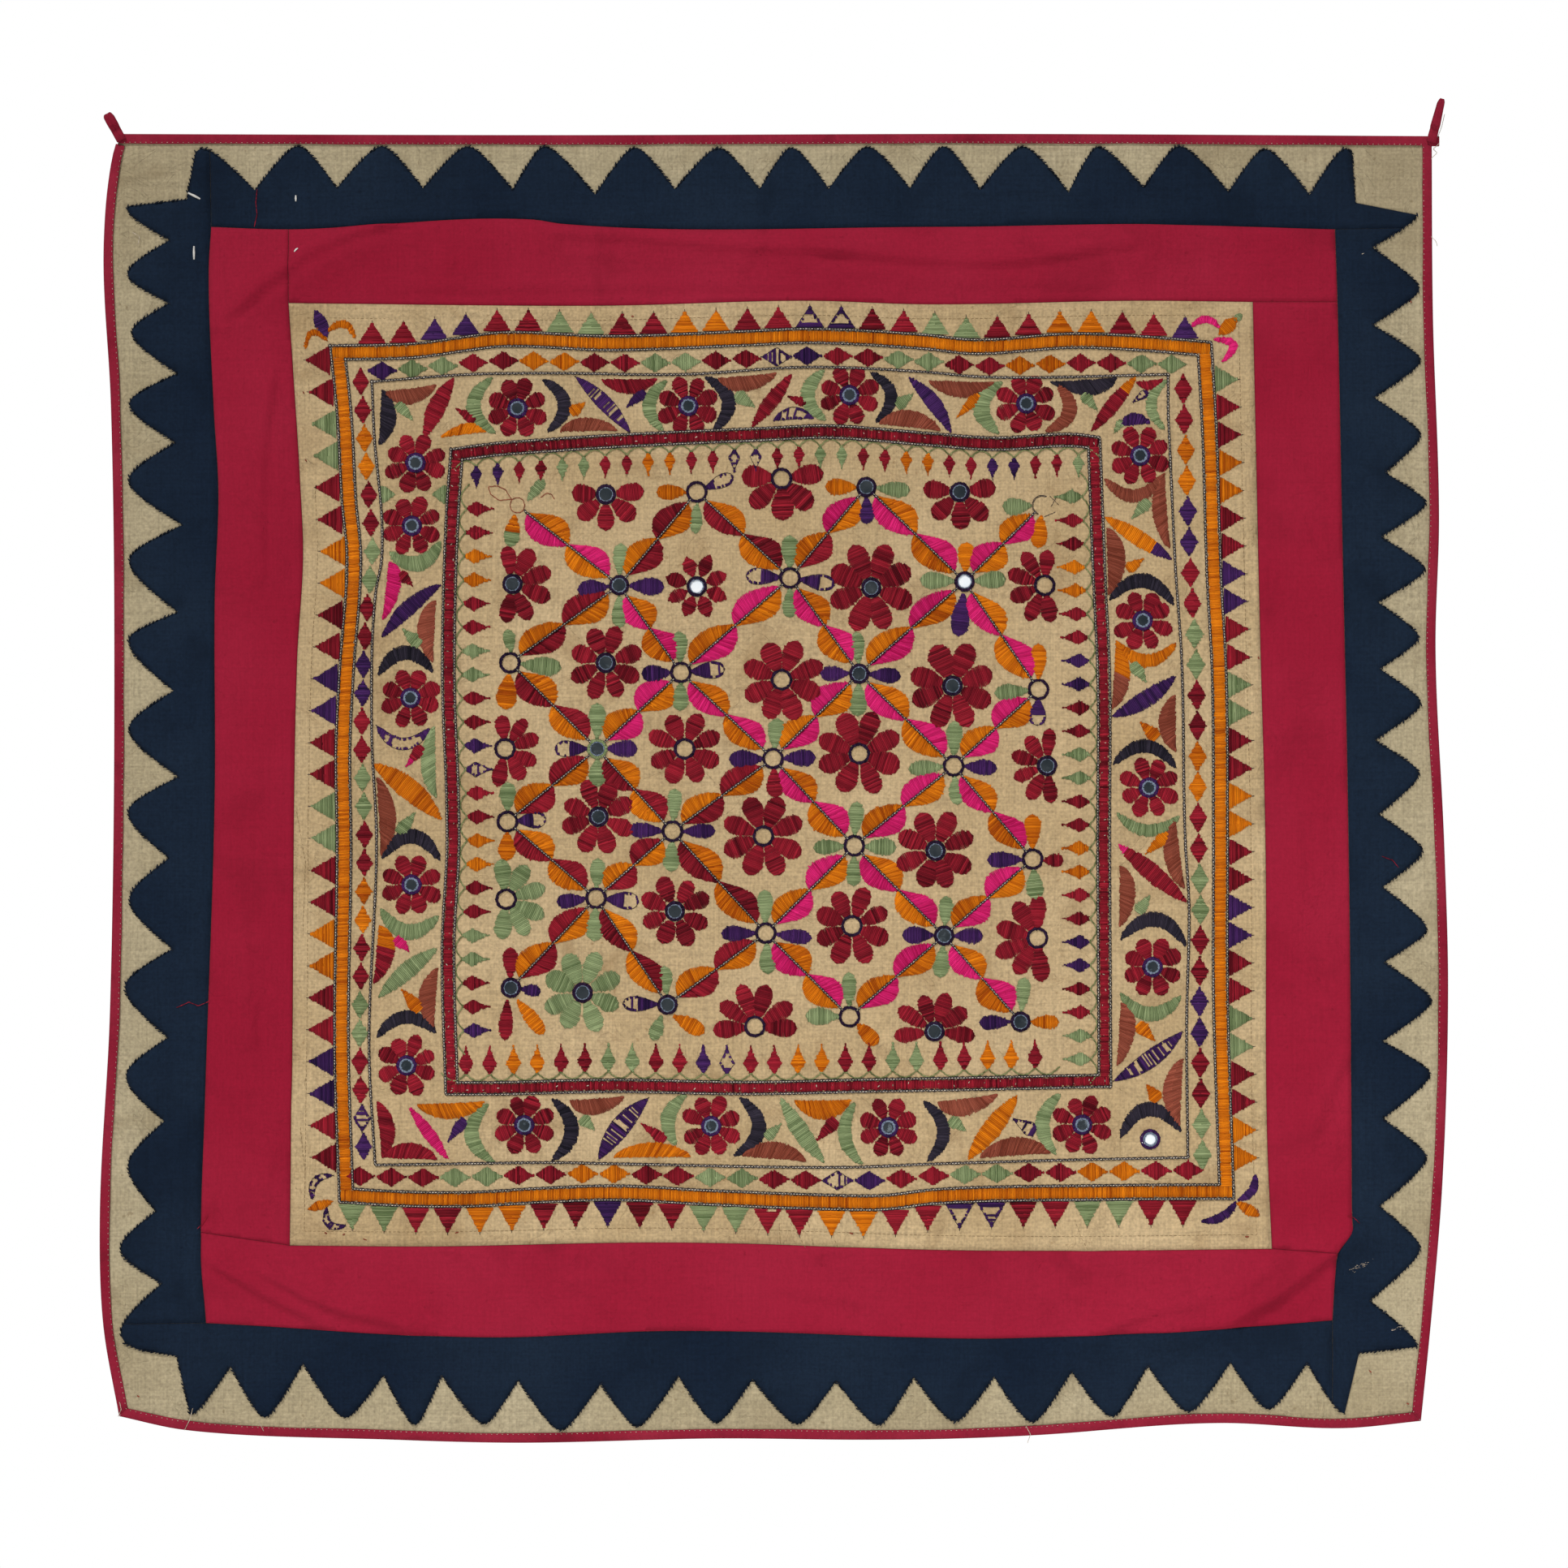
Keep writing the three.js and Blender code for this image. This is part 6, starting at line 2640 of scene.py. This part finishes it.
    def diagonal(self, needle: Needle, start: np.ndarray, stop: np.ndarray, letters: str, fall: int) -> None:
        """Sews one leafed line, from left to right.

        Args:
            needle: The needle.
            start: The left node.
            stop: The right node.
            letters: Threads of the left lower leaf and the right upper one, then of the others if not orange.
            fall: 1 where the line falls to the right, -1 where it rises.
        """
        run = (stop - start) / np.linalg.norm(stop - start)
        first, last = start + run * self.leaf_gap, stop - run * self.leaf_gap
        needle.lines[LineWork.STEM].add(needle.face, np.array([first, last]), self.stem_lift)
        first, last = start + run * self.leaf_start, stop - run * self.leaf_start
        middle = (first + last) / 2.0
        left_lower, right_upper, left_upper, right_lower = (letters + "OO")[:4]
        for near, far, upper, lower in ((first, middle, left_upper, left_lower),
                                        (middle, last, right_upper, right_lower)):
            bulge = self.leaf_bulge * needle.draws.uniform(*self.leaf_range)
            shift = self.leaf_shift * fall
            needle.half_leaf(upper, near, far, bulge, 0.5 + shift, fullness=self.leaf_fullness)
            needle.half_leaf(lower, near, far, -bulge, 0.5 - shift, fullness=self.leaf_fullness)


# Flower border


@dataclass
class FlowerBorder:
    """The border between the thin line and the maroon band, and the flourishes at the panel's corners.

    Each row of a chart holds the thread, the start and the stop. After them come the bow and the width of
    a crescent, the reach and the peak of a half leaf, the width and the bow of a leaf, and the width of a
    leaflet.
    """

    rings: Rings
    radius: float = 24.6
    core: float = 8.2
    petal: float = 12.8
    leaf_bare: Place = (0.15, 0.8)
    leaf_loss: float = 0.4
    lone_glass: Place = (308, -829)
    flowers: Rows = (
        (-214, -226), (-73, -224), (60, -215), (206, -222), (300, -265), (302, -401), (307, -539),
        (310, -687), (-208, -817), (-54, -818), (92, -819), (252, -817), (-298, -271), (-301, -323),
        (-302, -465), (-301, -619), (-305, -768),
    )
    crescents: Chart = (
        ("G", -231, -247, -234, -200, 18, 12), ("I", -194, -202, -190, -246, 17, 11),
        ("G", -93, -245, -90, -203, 14, 11), ("I", -60, -200, -53, -245, 17, 12),
        ("G", 41, -236, 40, -194, 15, 12), ("I", 76, -196, 81, -238, 16, 10),
        ("G", 184, -247, 187, -204, 17, 14), ("B", 231, -205, 221, -245, 16, 12),
        ("G", 323, -202, 321, -244, -13, 9), ("G", -320, -344, -277, -335, -15, 13),
        ("I", -329, -447, -283, -444, 18, 12), ("v", -330, -488, -286, -490, -14, 10),
        ("I", -326, -598, -277, -600, 20, 12), ("G", -327, -638, -278, -644, -17, 13),
        ("I", -330, -746, -280, -742, 16, 11), ("B", 270, -283, 319, -280, -17, 11),
        ("I", 274, -385, 328, -389, 19, 12), ("O", 280, -418, 330, -419, -16, 11),
        ("I", 277, -521, 330, -524, 18, 11), ("G", 280, -559, 333, -562, -14, 10),
        ("I", 283, -665, 338, -670, 20, 12), ("G", 283, -708, 334, -710, -17, 12),
        ("I", 283, -829, 334, -823, 22, 12), ("G", -232, -848, -237, -799, 17, 12),
        ("I", -186, -795, -186, -847, 17, 12), ("G", -83, -834, -74, -792, 11, 12),
        ("I", -31, -794, -36, -843, 19, 12), ("G", 71, -850, 65, -798, 12, 11),
        ("I", 120, -797, 123, -848, 16, 11), ("G", 231, -842, 235, -791, 14, 12),
        ("O", -370, -171, -389, -178, -12, 5), ("O", -371, -163, -348, -169, 10, 6),
        ("P", 342, -159, 366, -160, 7, 6), ("P", 360, -169, 367, -188, 14, 7),
        ("v", -366, -859, -383, -879, -8, 6), ("v", -371, -885, -355, -900, -9, 6),
        ("V", 349, -896, 379, -879, -6, 7), ("V", 379, -879, 394, -857, -6, 7),
    )
    half_leaves: Chart = (
        ("I", -326, -211, -328, -256, 13, 0.5), ("B", -323, -212, -281, -207, -13, 0.45),
        ("O", -277, -250, -240, -245, 9, 0.6), ("B", -178, -245, -132, -244, 11, 0.45),
        ("M", -144, -202, -99, -202, -12, 0.5), ("B", -48, -201, 0, -197, -13, 0.42),
        ("v", -2, -236, 30, -234, 10, 0.5), ("B", 85, -239, 135, -244, 14, 0.45),
        ("B", 126, -203, 180, -205, -13, 0.5), ("I", 226, -204, 281, -201, -13, 0.6),
        ("M", 297, -204, 319, -202, -8, 0.5), ("V", 283, -241, 308, -238, 10, 0.5),
        ("B", 320, -280, 324, -341, -12, 0.45), ("B", 272, -325, 274, -380, 15, 0.45),
        ("OB", 280, -418, 277, -474, 13, 0.5), ("B", 329, -463, 329, -509, -14, 0.5),
        ("B", 329, -566, 336, -622, -13, 0.5), ("B", 283, -604, 283, -654, 13, 0.42),
        ("B", 284, -717, 281, -768, 13, 0.38), ("B", 335, -763, 332, -818, -15, 0.5),
        ("P", -320, -353, -325, -400, 12, 0.33), ("B", -281, -385, -284, -435, -14, 0.45),
        ("G", -282, -489, -281, -547, -12, 0.5), ("B", -330, -531, -326, -595, 14, 0.5),
        ("OM", -328, -653, -332, -700, 15, 0.4), ("B", -279, -688, -283, -737, -14, 0.5),
        ("M", -330, -798, -325, -844, 13, 0.5), ("M", -325, -844, -280, -845, 13, 0.5),
        ("O", -296, -800, -241, -798, -13, 0.5), ("B", -170, -797, -126, -794, -13, 0.4),
        ("O", -134, -844, -71, -843, 12, 0.5), ("B", -28, -843, 24, -847, 14, 0.5),
        ("O", 15, -797, 61, -797, -16, 0.5), ("B", 133, -798, 182, -792, -14, 0.38),
        ("B", 168, -844, 226, -840, 15, 0.5),
    )
    leaves: Chart = (
        ("M", -291, -251, -266, -200, 15, 2), ("v", -166, -200, -121, -246, 12, 2),
        ("M", -21, -242, 13, -197, 12, 0), ("V", 108, -200, 144, -247, 12, 4),
        ("MO", 259, -246, 297, -199, 12, 0), ("OV", 270, -315, 327, -351, 13, 0),
        ("V", 276, -481, 330, -446, 14, -3), ("PM", 281, -585, 339, -634, 15, 0),
        ("v", 278, -781, 335, -740, 14, -3), ("V", -326, -416, -276, -371, 13, 4),
        ("O", -334, -519, -276, -566, 18, 3), ("G", -329, -713, -279, -671, 14, 2),
        ("P", -303, -802, -270, -846, 10, 0), ("v", -106, -795, -147, -846, 16, -3),
        ("G", 3, -794, 40, -849, 14, -2), ("O", 157, -846, 199, -792, 16, 0),
        ("V", -371, -167, -381, -145, 11, 0), ("O", 365, -165, 380, -151, 11, 0),
        ("G", 377, -154, 384, -148, 6, 0), ("O", -366, -880, -387, -887, 8, 0),
        ("O", 379, -881, 398, -892, 9, 0),
    )
    leaflets: Chart = (
        ("G", -313, -222, -300, -236, 10), ("M", -249, -236, -265, -226, 9),
        ("O", -170, -230, -158, -221, 11), ("V", -109, -212, -124, -225, 10),
        ("G", -34, -214, -18, -225, 12), ("M", 24, -222, 9, -216, 8), ("G", 99, -224, 113, -214, 11),
        ("O", 167, -215, 148, -234, 10), ("G", 253, -214, 265, -228, 10), ("v", 306, -212, 294, -221, 7),
        ("G", 285, -236, 278, -247, 7), ("G", 307, -302, 293, -317, 11), ("O", 289, -359, 303, -350, 10),
        ("G", 294, -436, 305, -452, 12), ("O", 314, -498, 300, -485, 12), ("O", 323, -577, 304, -594, 11),
        ("G", 298, -642, 308, -628, 11), ("O", 298, -734, 312, -748, 12), ("O", 315, -797, 305, -784, 12),
        ("M", -311, -362, -300, -373, 10), ("G", -294, -421, -309, -408, 12),
        ("MP", -292, -505, -306, -522, 10), ("G", -311, -577, -298, -559, 12),
        ("P", -314, -663, -303, -674, 11), ("O", -294, -723, -309, -705, 12),
        ("V", -257, -812, -271, -831, 10), ("G", -161, -811, -150, -821, 11),
        ("M", -92, -830, -112, -816, 10), ("G", -9, -828, 4, -816, 10), ("M", 49, -813, 33, -830, 12),
        ("G", 143, -812, 156, -822, 11), ("v", 213, -823, 195, -812, 12),
        ("G", -328, -297, -315, -297, 15), ("G", -271, -297, -284, -297, 16),
    )

    def sew(self, needle: Needle) -> None:
        """Sews the leaves, the crescents, the flowers and their rings.

        Args:
            needle: The needle.
        """
        for letters, *ends, bulge, peak in self.half_leaves:
            needle.half_leaf(letters, ends[:2], ends[2:], bulge, peak)
        for letters, *ends, width, bend in self.leaves:
            needle.motif(letters, ends[:2], ends[2:], width, Form.LEAF, bend, self.leaf_bare, self.leaf_loss)
        for letters, *ends, width in self.leaflets:
            needle.motif(letters, ends[:2], ends[2:], width, Form.LEAFLET)
        for letters, *ends, bend, width in self.crescents:
            needle.motif(letters, ends[:2], ends[2:], width, Form.ARCH, bend)
        for place in self.flowers:
            sew_flower(needle, "M", np.array(place, float), self.radius, FULL_SPRAY, self.core, self.petal)
            self.rings.sew(needle, place, Thread.VIOLET)
        self.rings.sew(needle, self.lone_glass, Thread.VIOLET)


# Glasses, sewing and the parts together


@dataclass
class Glasses:
    """The small round glasses, which keep their solids."""

    wardrobe: Wardrobe
    count: int = 40
    thick: float = 1.2
    seat_gap: float = 0.15
    # glasses given the near-white painted reflection
    bright: tuple[int, ...] = (6, 8, 36)

    def names(self) -> list[str]:
        """Gives the names of the glass solids."""
        return [f"mirror_{number:02d}" for number in range(1, self.count + 1)]

    def seat(self, drape: Drape) -> dict[str, np.ndarray]:
        """Draws the cloth to the back of each glass.

        Args:
            drape: The drape, which takes the seats.

        Returns:
            The middle of each glass's face, by name.
        """
        centres = {}
        for name in self.names():
            low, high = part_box(name)
            middle = (np.array(low) + np.array(high)) / 2.0 / MM
            back = middle[1] + self.thick / 2.0 + self.seat_gap
            drape.take_seat((middle[0], middle[2]), -back - FACE_FRONT)
            centres[name] = np.array([middle[0], middle[2]])
        return centres

    def dress(self) -> None:
        """Gives each glass its finish: dull silvered glass, or on a few a near-white painted reflection."""
        for number, name in enumerate(self.names(), start=1):
            kind = "bright_mirror_glass" if number in self.bright else "dull_mirror_glass"
            piece = bpy.data.objects[name]
            piece.data.materials.clear()
            piece.data.materials.append(self.wardrobe.of(kind))
        LOG.info("%d glasses dressed", self.count)


@dataclass
class Embroidery:
    """All needlework on the panel."""

    face: Face
    wardrobe: Wardrobe
    trees: StitchTrees
    glasses: dict[str, np.ndarray]
    arch: float = 0.35

    def build(self) -> None:
        """Sews every motif and lays the threads."""
        needle = Needle(self.face)
        rings = Rings(glasses=self.glasses)
        Bands().sew(needle)
        FlowerBorder(rings).sew(needle)
        FlowerField(rings).sew(needle)
        for number, thread in enumerate(Thread):
            finish = self.wardrobe.threads[thread]
            name = f"stitches_{thread.name.lower()}"
            needle.books[thread].lay(name, self.trees, self.wardrobe.of(finish.name), self.arch, number)
        self.lines(needle)

    def lines(self, needle: Needle) -> None:
        """Sews the chain, scalloped and outline lines, and the flecks.

        Args:
            needle: The needle.
        """
        chain, bead = self.wardrobe.chain.name, self.wardrobe.bead.name
        moss, fleck = self.wardrobe.moss.name, self.wardrobe.fleck.name
        rust = self.wardrobe.threads[Thread.BROWN].name
        linked = {"Swing": 0.3, "Arch": 0.2}
        dotted = {"Swing": 0.0, "Steps": 1}
        swung = {"Swing": 0.15, "Arch": 0.3}
        drawn = {"Swing": 0.1, "Arch": 0.3}
        works = (
            ("chain_lines", LineWork.CHAIN, chain, (2.4, 3.3, 2.6, 1.2, 0.2), linked),
            ("chain_beads", LineWork.CHAIN, bead, (2.4, 1.45, 1.25, 0.9, 1.05), dotted),
            ("stem_lines", LineWork.STEM, chain, (2.4, 3.3, 2.2, 1.1, 0.2), linked),
            ("stem_beads", LineWork.STEM, bead, (2.4, 1.3, 1.05, 0.8, 0.95), dotted),
            ("scalloped_lines", LineWork.SCALLOP, moss, (2.2, 2.8, 1.5, 0.9, 0.1), swung),
            ("outline_lines", LineWork.OUTLINE, chain, (2.2, 2.5, 0.6, 0.5, 0.1), drawn),
            ("sketch_lines", LineWork.SKETCH, rust, (1.8, 2.3, 0.8, 0.6, 0.1), drawn),
            ("band_flecks", LineWork.FLECK, fleck, (13.0, 1.3, 0.6, 0.5, 0.0),
             {"Swing": 0.6, "Stray": 1.4, "Uneven": 0.6}),
        )
        for seed, (name, kind, finish, sizes, turns) in enumerate(works):
            needle.lines[kind].sew(name, self.trees, self.wardrobe.of(finish), seed, sizes, turns)


@dataclass
class Sewing:
    """The visible sewing of the borders and the binding."""

    pattern: CuttingPattern
    drape: Drape
    wardrobe: Wardrobe
    trees: StitchTrees
    tooth_lift: float = -0.3
    tooth_seed: int = 3
    binding_line: float = 7.2
    binding_rise: float = 0.15
    binding_seed: int = 4

    def build(self) -> None:
        """Sews the teeth down and the binding on."""
        front = Face(self.drape, FACE_FRONT)
        teeth = LineBook()
        for side in Side:
            before, after = self.pattern.toothed_edge(side)
            corner = np.array(self.pattern.teeth[side].corner, float)
            teeth.add(front, np.vstack([after, corner]), self.tooth_lift)
            teeth.add(front, before, self.tooth_lift)
        black = self.wardrobe.of(self.wardrobe.overcast.name)
        teeth.sew("overcast_teeth", self.trees, black, self.tooth_seed, (3.4, 3.0, 1.25, 1.0, 0.0),
                  {"Turn": 0.5, "Swing": 0.1, "Stray": 0.35, "Uneven": 0.4, "Arch": 0.3})
        running = LineBook()
        fold = Face(self.drape, FACE_FRONT + self.binding_rise)
        running.add(fold, self.pattern.outer.loop(self.binding_line))
        pale = self.wardrobe.of(self.wardrobe.fleck.name)
        running.sew("binding_stitches", self.trees, pale, self.binding_seed, (4.4, 0.9, 0.55, 0.5, 0.05),
                    {"Swing": 0.05, "Arch": 0.4})


@dataclass
class Touches:
    """Tacks, loose threads, a faint hem line, lines of painted crease shade and small marks, charted by their
    ends.
    """

    pattern: CuttingPattern
    drape: Drape
    wardrobe: Wardrobe
    trees: StitchTrees
    hem_line: float = 12.0
    tacks: Chart = (
        (-486, -48, -476, -53), (-481, -92, -481, -103), (-397, -50, -397, -55), (-398, -97, -395, -94),
    )
    specks: Chart = (
        (-373, -906, -371, -907), (-358, -908, -356, -907), (-341, -911, -338, -912),
        (-265, -906, -262, -905), (-385, -872, -384, -875), (-391, -212, -390, -214),
        (-389, -268, -388, -270), (-380, -160, -378, -160), (396, -886, 397, -889),
        (386, -909, 389, -909), (391, -864, 392, -866), (395, -262, 396, -264), (397, -431, 398, -433),
        (-52, -783, -49, -784), (60, -906, 63, -907), (-120, -150, -118, -150), (519, -1046, 521, -1047),
        (488, -1019, 490, -1021), (-527, -1040, -525, -1041), (523, -137, 524, -139),
    )
    scuffs: Chart = ((481, -933, 5.0, 1.3, 34), (510, -985, 4.0, 0.8, 14), (484, -98, 1.0, 0.4, 4))
    scuff_slope: float = 0.4
    scuff_run: Place = (0.5, 0.2)
    scuff_stray: Place = (0.2, 0.15)
    scuff_seed: int = 19
    mark_lift: float = 0.2
    mark_tones: Place = (0.3, 0.8)
    mark_arch: float = 0.4
    mark_seed: int = 7
    line_seed: int = 8
    thin_sizes: tuple[float, ...] = (1.6, 2.4, 0.6, 0.6, 0.4)
    faint_sizes: tuple[float, ...] = (3.7, 2.6, 0.5, 0.3, 0.05)
    red_threads: tuple[Rows, ...] = (
        ((-494, -720), (-485, -716), (-477, -719), (-470, -716)),
        ((500, -596), (508, -599), (512, -604)),
        ((471, -892), (475, -893), (479, -897)),
        ((-429, -46), (-430, -56), (-429, -66), (-431, -75)),
        ((-470, -893), (-474, -899), (-477, -902)),
    )
    pale_threads: tuple[Rows, ...] = (
        ((-482, -1052), (-484, -1060), (-488, -1068)),
        ((-541, -1046), (-540, -1051), (-542, -1056)),
        ((-427, -1063), (-424, -1069)),
        ((206, -1066), (209, -1072), (207, -1078)),
        ((551, 16), (549, 7), (546, -1)),
        ((546, -8), (542, -12), (545, -15), (541, -19)),
        ((541, -85), (544, -88), (545, -91)),
        ((-531, -81), (-526, -84), (-527, -90)),
    )
    # faint brown lines along creases in the cloth: painted crease shade
    creases: tuple[Rows, ...] = (
        ((4, -888), (2, -900), (3, -914)), ((12, -899), (18, -908), (23, -917)),
        ((22, -886), (27, -901), (30, -915)), ((41, -899), (46, -908), (50, -917)),
        ((-396, -560), (-389, -600), (-391, -660)),
        ((-389, -780), (-393, -820), (-390, -850)), ((246, -896), (251, -910), (256, -919)),
    )

    def build(self) -> None:
        """Lays the single stitches and sews the lines."""
        self.single("white_tacks", self.tacks, self.wardrobe.tacking.name, (2.2, 1.2))
        self.single("rust_specks", self.specks, self.wardrobe.threads[Thread.BROWN].name, (1.4, 0.5))
        self.single("faint_scuffs", self.scuff_marks(), self.wardrobe.fleck.name, (0.3, 0.25))
        maroon = self.wardrobe.threads[Thread.MAROON].name
        self.sew("loose_red_threads", self.red_threads, maroon, self.thin_sizes)
        self.sew("loose_pale_threads", self.pale_threads, self.wardrobe.fleck.name, self.thin_sizes)
        # a faint brown line round the panel inside its edge, sewn in one piece with the painted crease shade
        # lines
        hem = self.pattern.panel.loop(self.hem_line)
        hem_and_crease_shade = [np.vstack([hem, hem[:1]]), *self.creases]
        self.sew("pressed_hem_lines", hem_and_crease_shade, self.wardrobe.pressed.name, self.faint_sizes)

    def scuff_marks(self) -> Chart:
        """Scatters short fine strokes over each scuffed place.

        Returns:
            Start and stop of each stroke.
        """
        random = np.random.default_rng(self.scuff_seed)
        marks = []
        for x, z, reach, spread, count in self.scuffs:
            along = random.normal(0.0, reach, count)
            across = random.normal(0.0, spread, count)
            middles = np.column_stack([x + along, z + self.scuff_slope * along + across])
            runs = random.normal(self.scuff_run, self.scuff_stray, (count, 2))
            marks.extend(np.hstack([middles - runs, middles + runs]).tolist())
        return tuple(marks)

    def single(self, name: str, chart: Chart, finish: str, size: Place) -> None:
        """Lays charted stitches one by one.

        Args:
            name: The piece's name.
            chart: Start and stop of each stitch.
            finish: Its thread.
            size: Width and height of a stitch.
        """
        face = Face(self.drape, FACE_FRONT)
        ends = np.array(chart, float)
        starts, stops = ends[:, :2], ends[:, 2:]
        lift = np.full(len(ends), self.mark_lift)
        book = StitchBook()
        tones = np.linspace(*self.mark_tones, len(ends))
        book.add(face.points(starts, lift), face.points(stops, lift), face.normals(starts), size, tones)
        book.lay(name, self.trees, self.wardrobe.of(finish), self.mark_arch, self.mark_seed)

    def sew(self, name: str, lines: Iterable[Rows], finish: str, sizes: tuple[float, ...]) -> None:
        """Sews charted lines in one thread.

        Args:
            name: The piece's name.
            lines: The lines' flat places.
            finish: Its thread.
            sizes: Pitch, length, width, height and lift of its stitches.
        """
        book = LineBook()
        for line in lines:
            book.add(Face(self.drape, FACE_FRONT), np.array(line, float))
        turns = {"Swing": 0.05, "Arch": 0.2}
        book.sew(name, self.trees, self.wardrobe.of(finish), self.line_seed, sizes, turns)


@dataclass
class Studio:
    """The camera, the light and the floor."""

    view_width: float = 1294.4
    view_middle: Place = (6.0, -536.0)
    lens: float = 100.0
    sensor: float = 36.0
    sky_strength: float = 0.27
    far_place: Spot = (-0.9, -1.75, 2.2)
    far_softness: float = 14.0
    far_strength: float = 2.16
    hem_place: Spot = (0.6, -1.9, -1.75)
    hem_size: float = 1.4
    hem_power: float = 24.0
    floor_level: float = -2000.0
    floor_reach: float = 4000.0
    floor_tints: tuple[Colour, Colour] = ((0.86, 0.86, 0.85), (0.90, 0.90, 0.89))
    floor_grain: float = 3.0
    floor_roughness: float = 0.9

    def build(self) -> None:
        """Sets up the studio."""
        self.camera()
        self.world()
        self.lights()
        self.floor()

    def camera(self) -> None:
        """Stands the camera square to the hanging, as in the photograph."""
        lens = bpy.data.cameras.new("camera")
        lens.lens = self.lens
        lens.sensor_width = self.sensor
        camera = link_object("camera", lens)
        distance = self.view_width * self.lens / self.sensor + FACE_FRONT
        camera.location = Vector((self.view_middle[0], -distance, self.view_middle[1])) * MM
        camera.rotation_euler = (math.pi / 2, 0.0, 0.0)
        bpy.context.scene.camera = camera
        bpy.context.scene.view_settings.view_transform = "Standard"

    def world(self) -> None:
        """Makes a white backdrop with softer light."""
        world = bpy.data.worlds.new("white_backdrop")
        world.use_nodes = True
        graph = NodeGraph(world.node_tree)
        world.node_tree.nodes.clear()
        path = graph.add("ShaderNodeLightPath")
        white = opaque((1.0, 1.0, 1.0))
        soft = graph.add("ShaderNodeBackground", {"Color": white, "Strength": self.sky_strength})
        seen = graph.add("ShaderNodeBackground", {"Color": white, "Strength": 1.0})
        mixed = graph.add("ShaderNodeMixShader", {
            0: path.outputs["Is Camera Ray"], 1: soft.outputs[0], 2: seen.outputs[0],
        })
        graph.add("ShaderNodeOutputWorld", {"Surface": mixed.outputs[0]})
        bpy.context.scene.world = world

    def lights(self) -> None:
        """Sets a soft far light from above, and a weak near one below that lifts the hem."""
        far = bpy.data.lights.new("far_light", "SUN")
        far.angle = math.radians(self.far_softness)
        self.hang(far, self.far_place, (0.0, 0.0, 0.0), self.far_strength)
        near = bpy.data.lights.new("hem_light", "AREA")
        near.size = self.hem_size
        self.hang(near, self.hem_place, (0.0, 0.0, self.view_middle[1] * MM), self.hem_power)

    @staticmethod
    def hang(lamp: bpy.types.Light, place: Spot, aim: Spot, strength: float) -> None:
        """Hangs one lamp.

        Args:
            lamp: The lamp.
            place: Where it hangs, in metres.
            aim: Where it points, in metres.
            strength: Its strength.
        """
        lamp.energy = strength
        light = link_object(lamp.name, lamp)
        light.location = place
        light.rotation_euler = (Vector(aim) - Vector(place)).to_track_quat("-Z", "Y").to_euler()

    def floor(self) -> None:
        """Lays a plain pale floor well below the hanging."""
        surface = Surface("pale_floor")
        grain = surface.graph.noise(surface.place, self.floor_grain)
        tint = surface.graph.blend(grain, *map(opaque, self.floor_tints))
        material = surface.finished({"Base Color": tint, "Roughness": self.floor_roughness})
        ends = np.array([(-1, -1), (1, -1), (1, 1), (-1, 1)]) * self.floor_reach
        corners = np.column_stack([ends, np.full(len(ends), self.floor_level)])
        make_object("pale_floor", corners, [[0, 1, 2, 3]], material)


def main() -> None:
    """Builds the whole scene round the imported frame."""
    logging.basicConfig(level=logging.INFO, format="%(message)s")
    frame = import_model()
    LOG.info("%d solids in the frame", len(frame["nodes"]))
    Studio().build()
    wardrobe = Wardrobe()
    pattern = CuttingPattern()
    drape = Drape()
    glasses = Glasses(wardrobe)
    centres = glasses.seat(drape)
    ClothPieces(pattern, SheetMaker(drape), wardrobe).build()
    Binding(pattern, drape, wardrobe).build()
    HangingLoop("hanging_loop_left", foot=(-543.5, 0.6), lean=-0.5, length=19.0, width=8.2,
                tip_share=1.0, groove=0.45, wardrobe=wardrobe).build()
    HangingLoop("hanging_loop_right", foot=(541.5, -0.5), lean=0.24, length=31.0, width=7.8,
                tip_share=0.62, groove=0.15, wardrobe=wardrobe).build()
    trees = StitchTrees()
    Embroidery(Face(drape, FACE_FRONT), wardrobe, trees, centres).build()
    Sewing(pattern, drape, wardrobe, trees).build()
    Touches(pattern, drape, wardrobe, trees).build()
    glasses.dress()


if __name__ == "__main__":
    main()
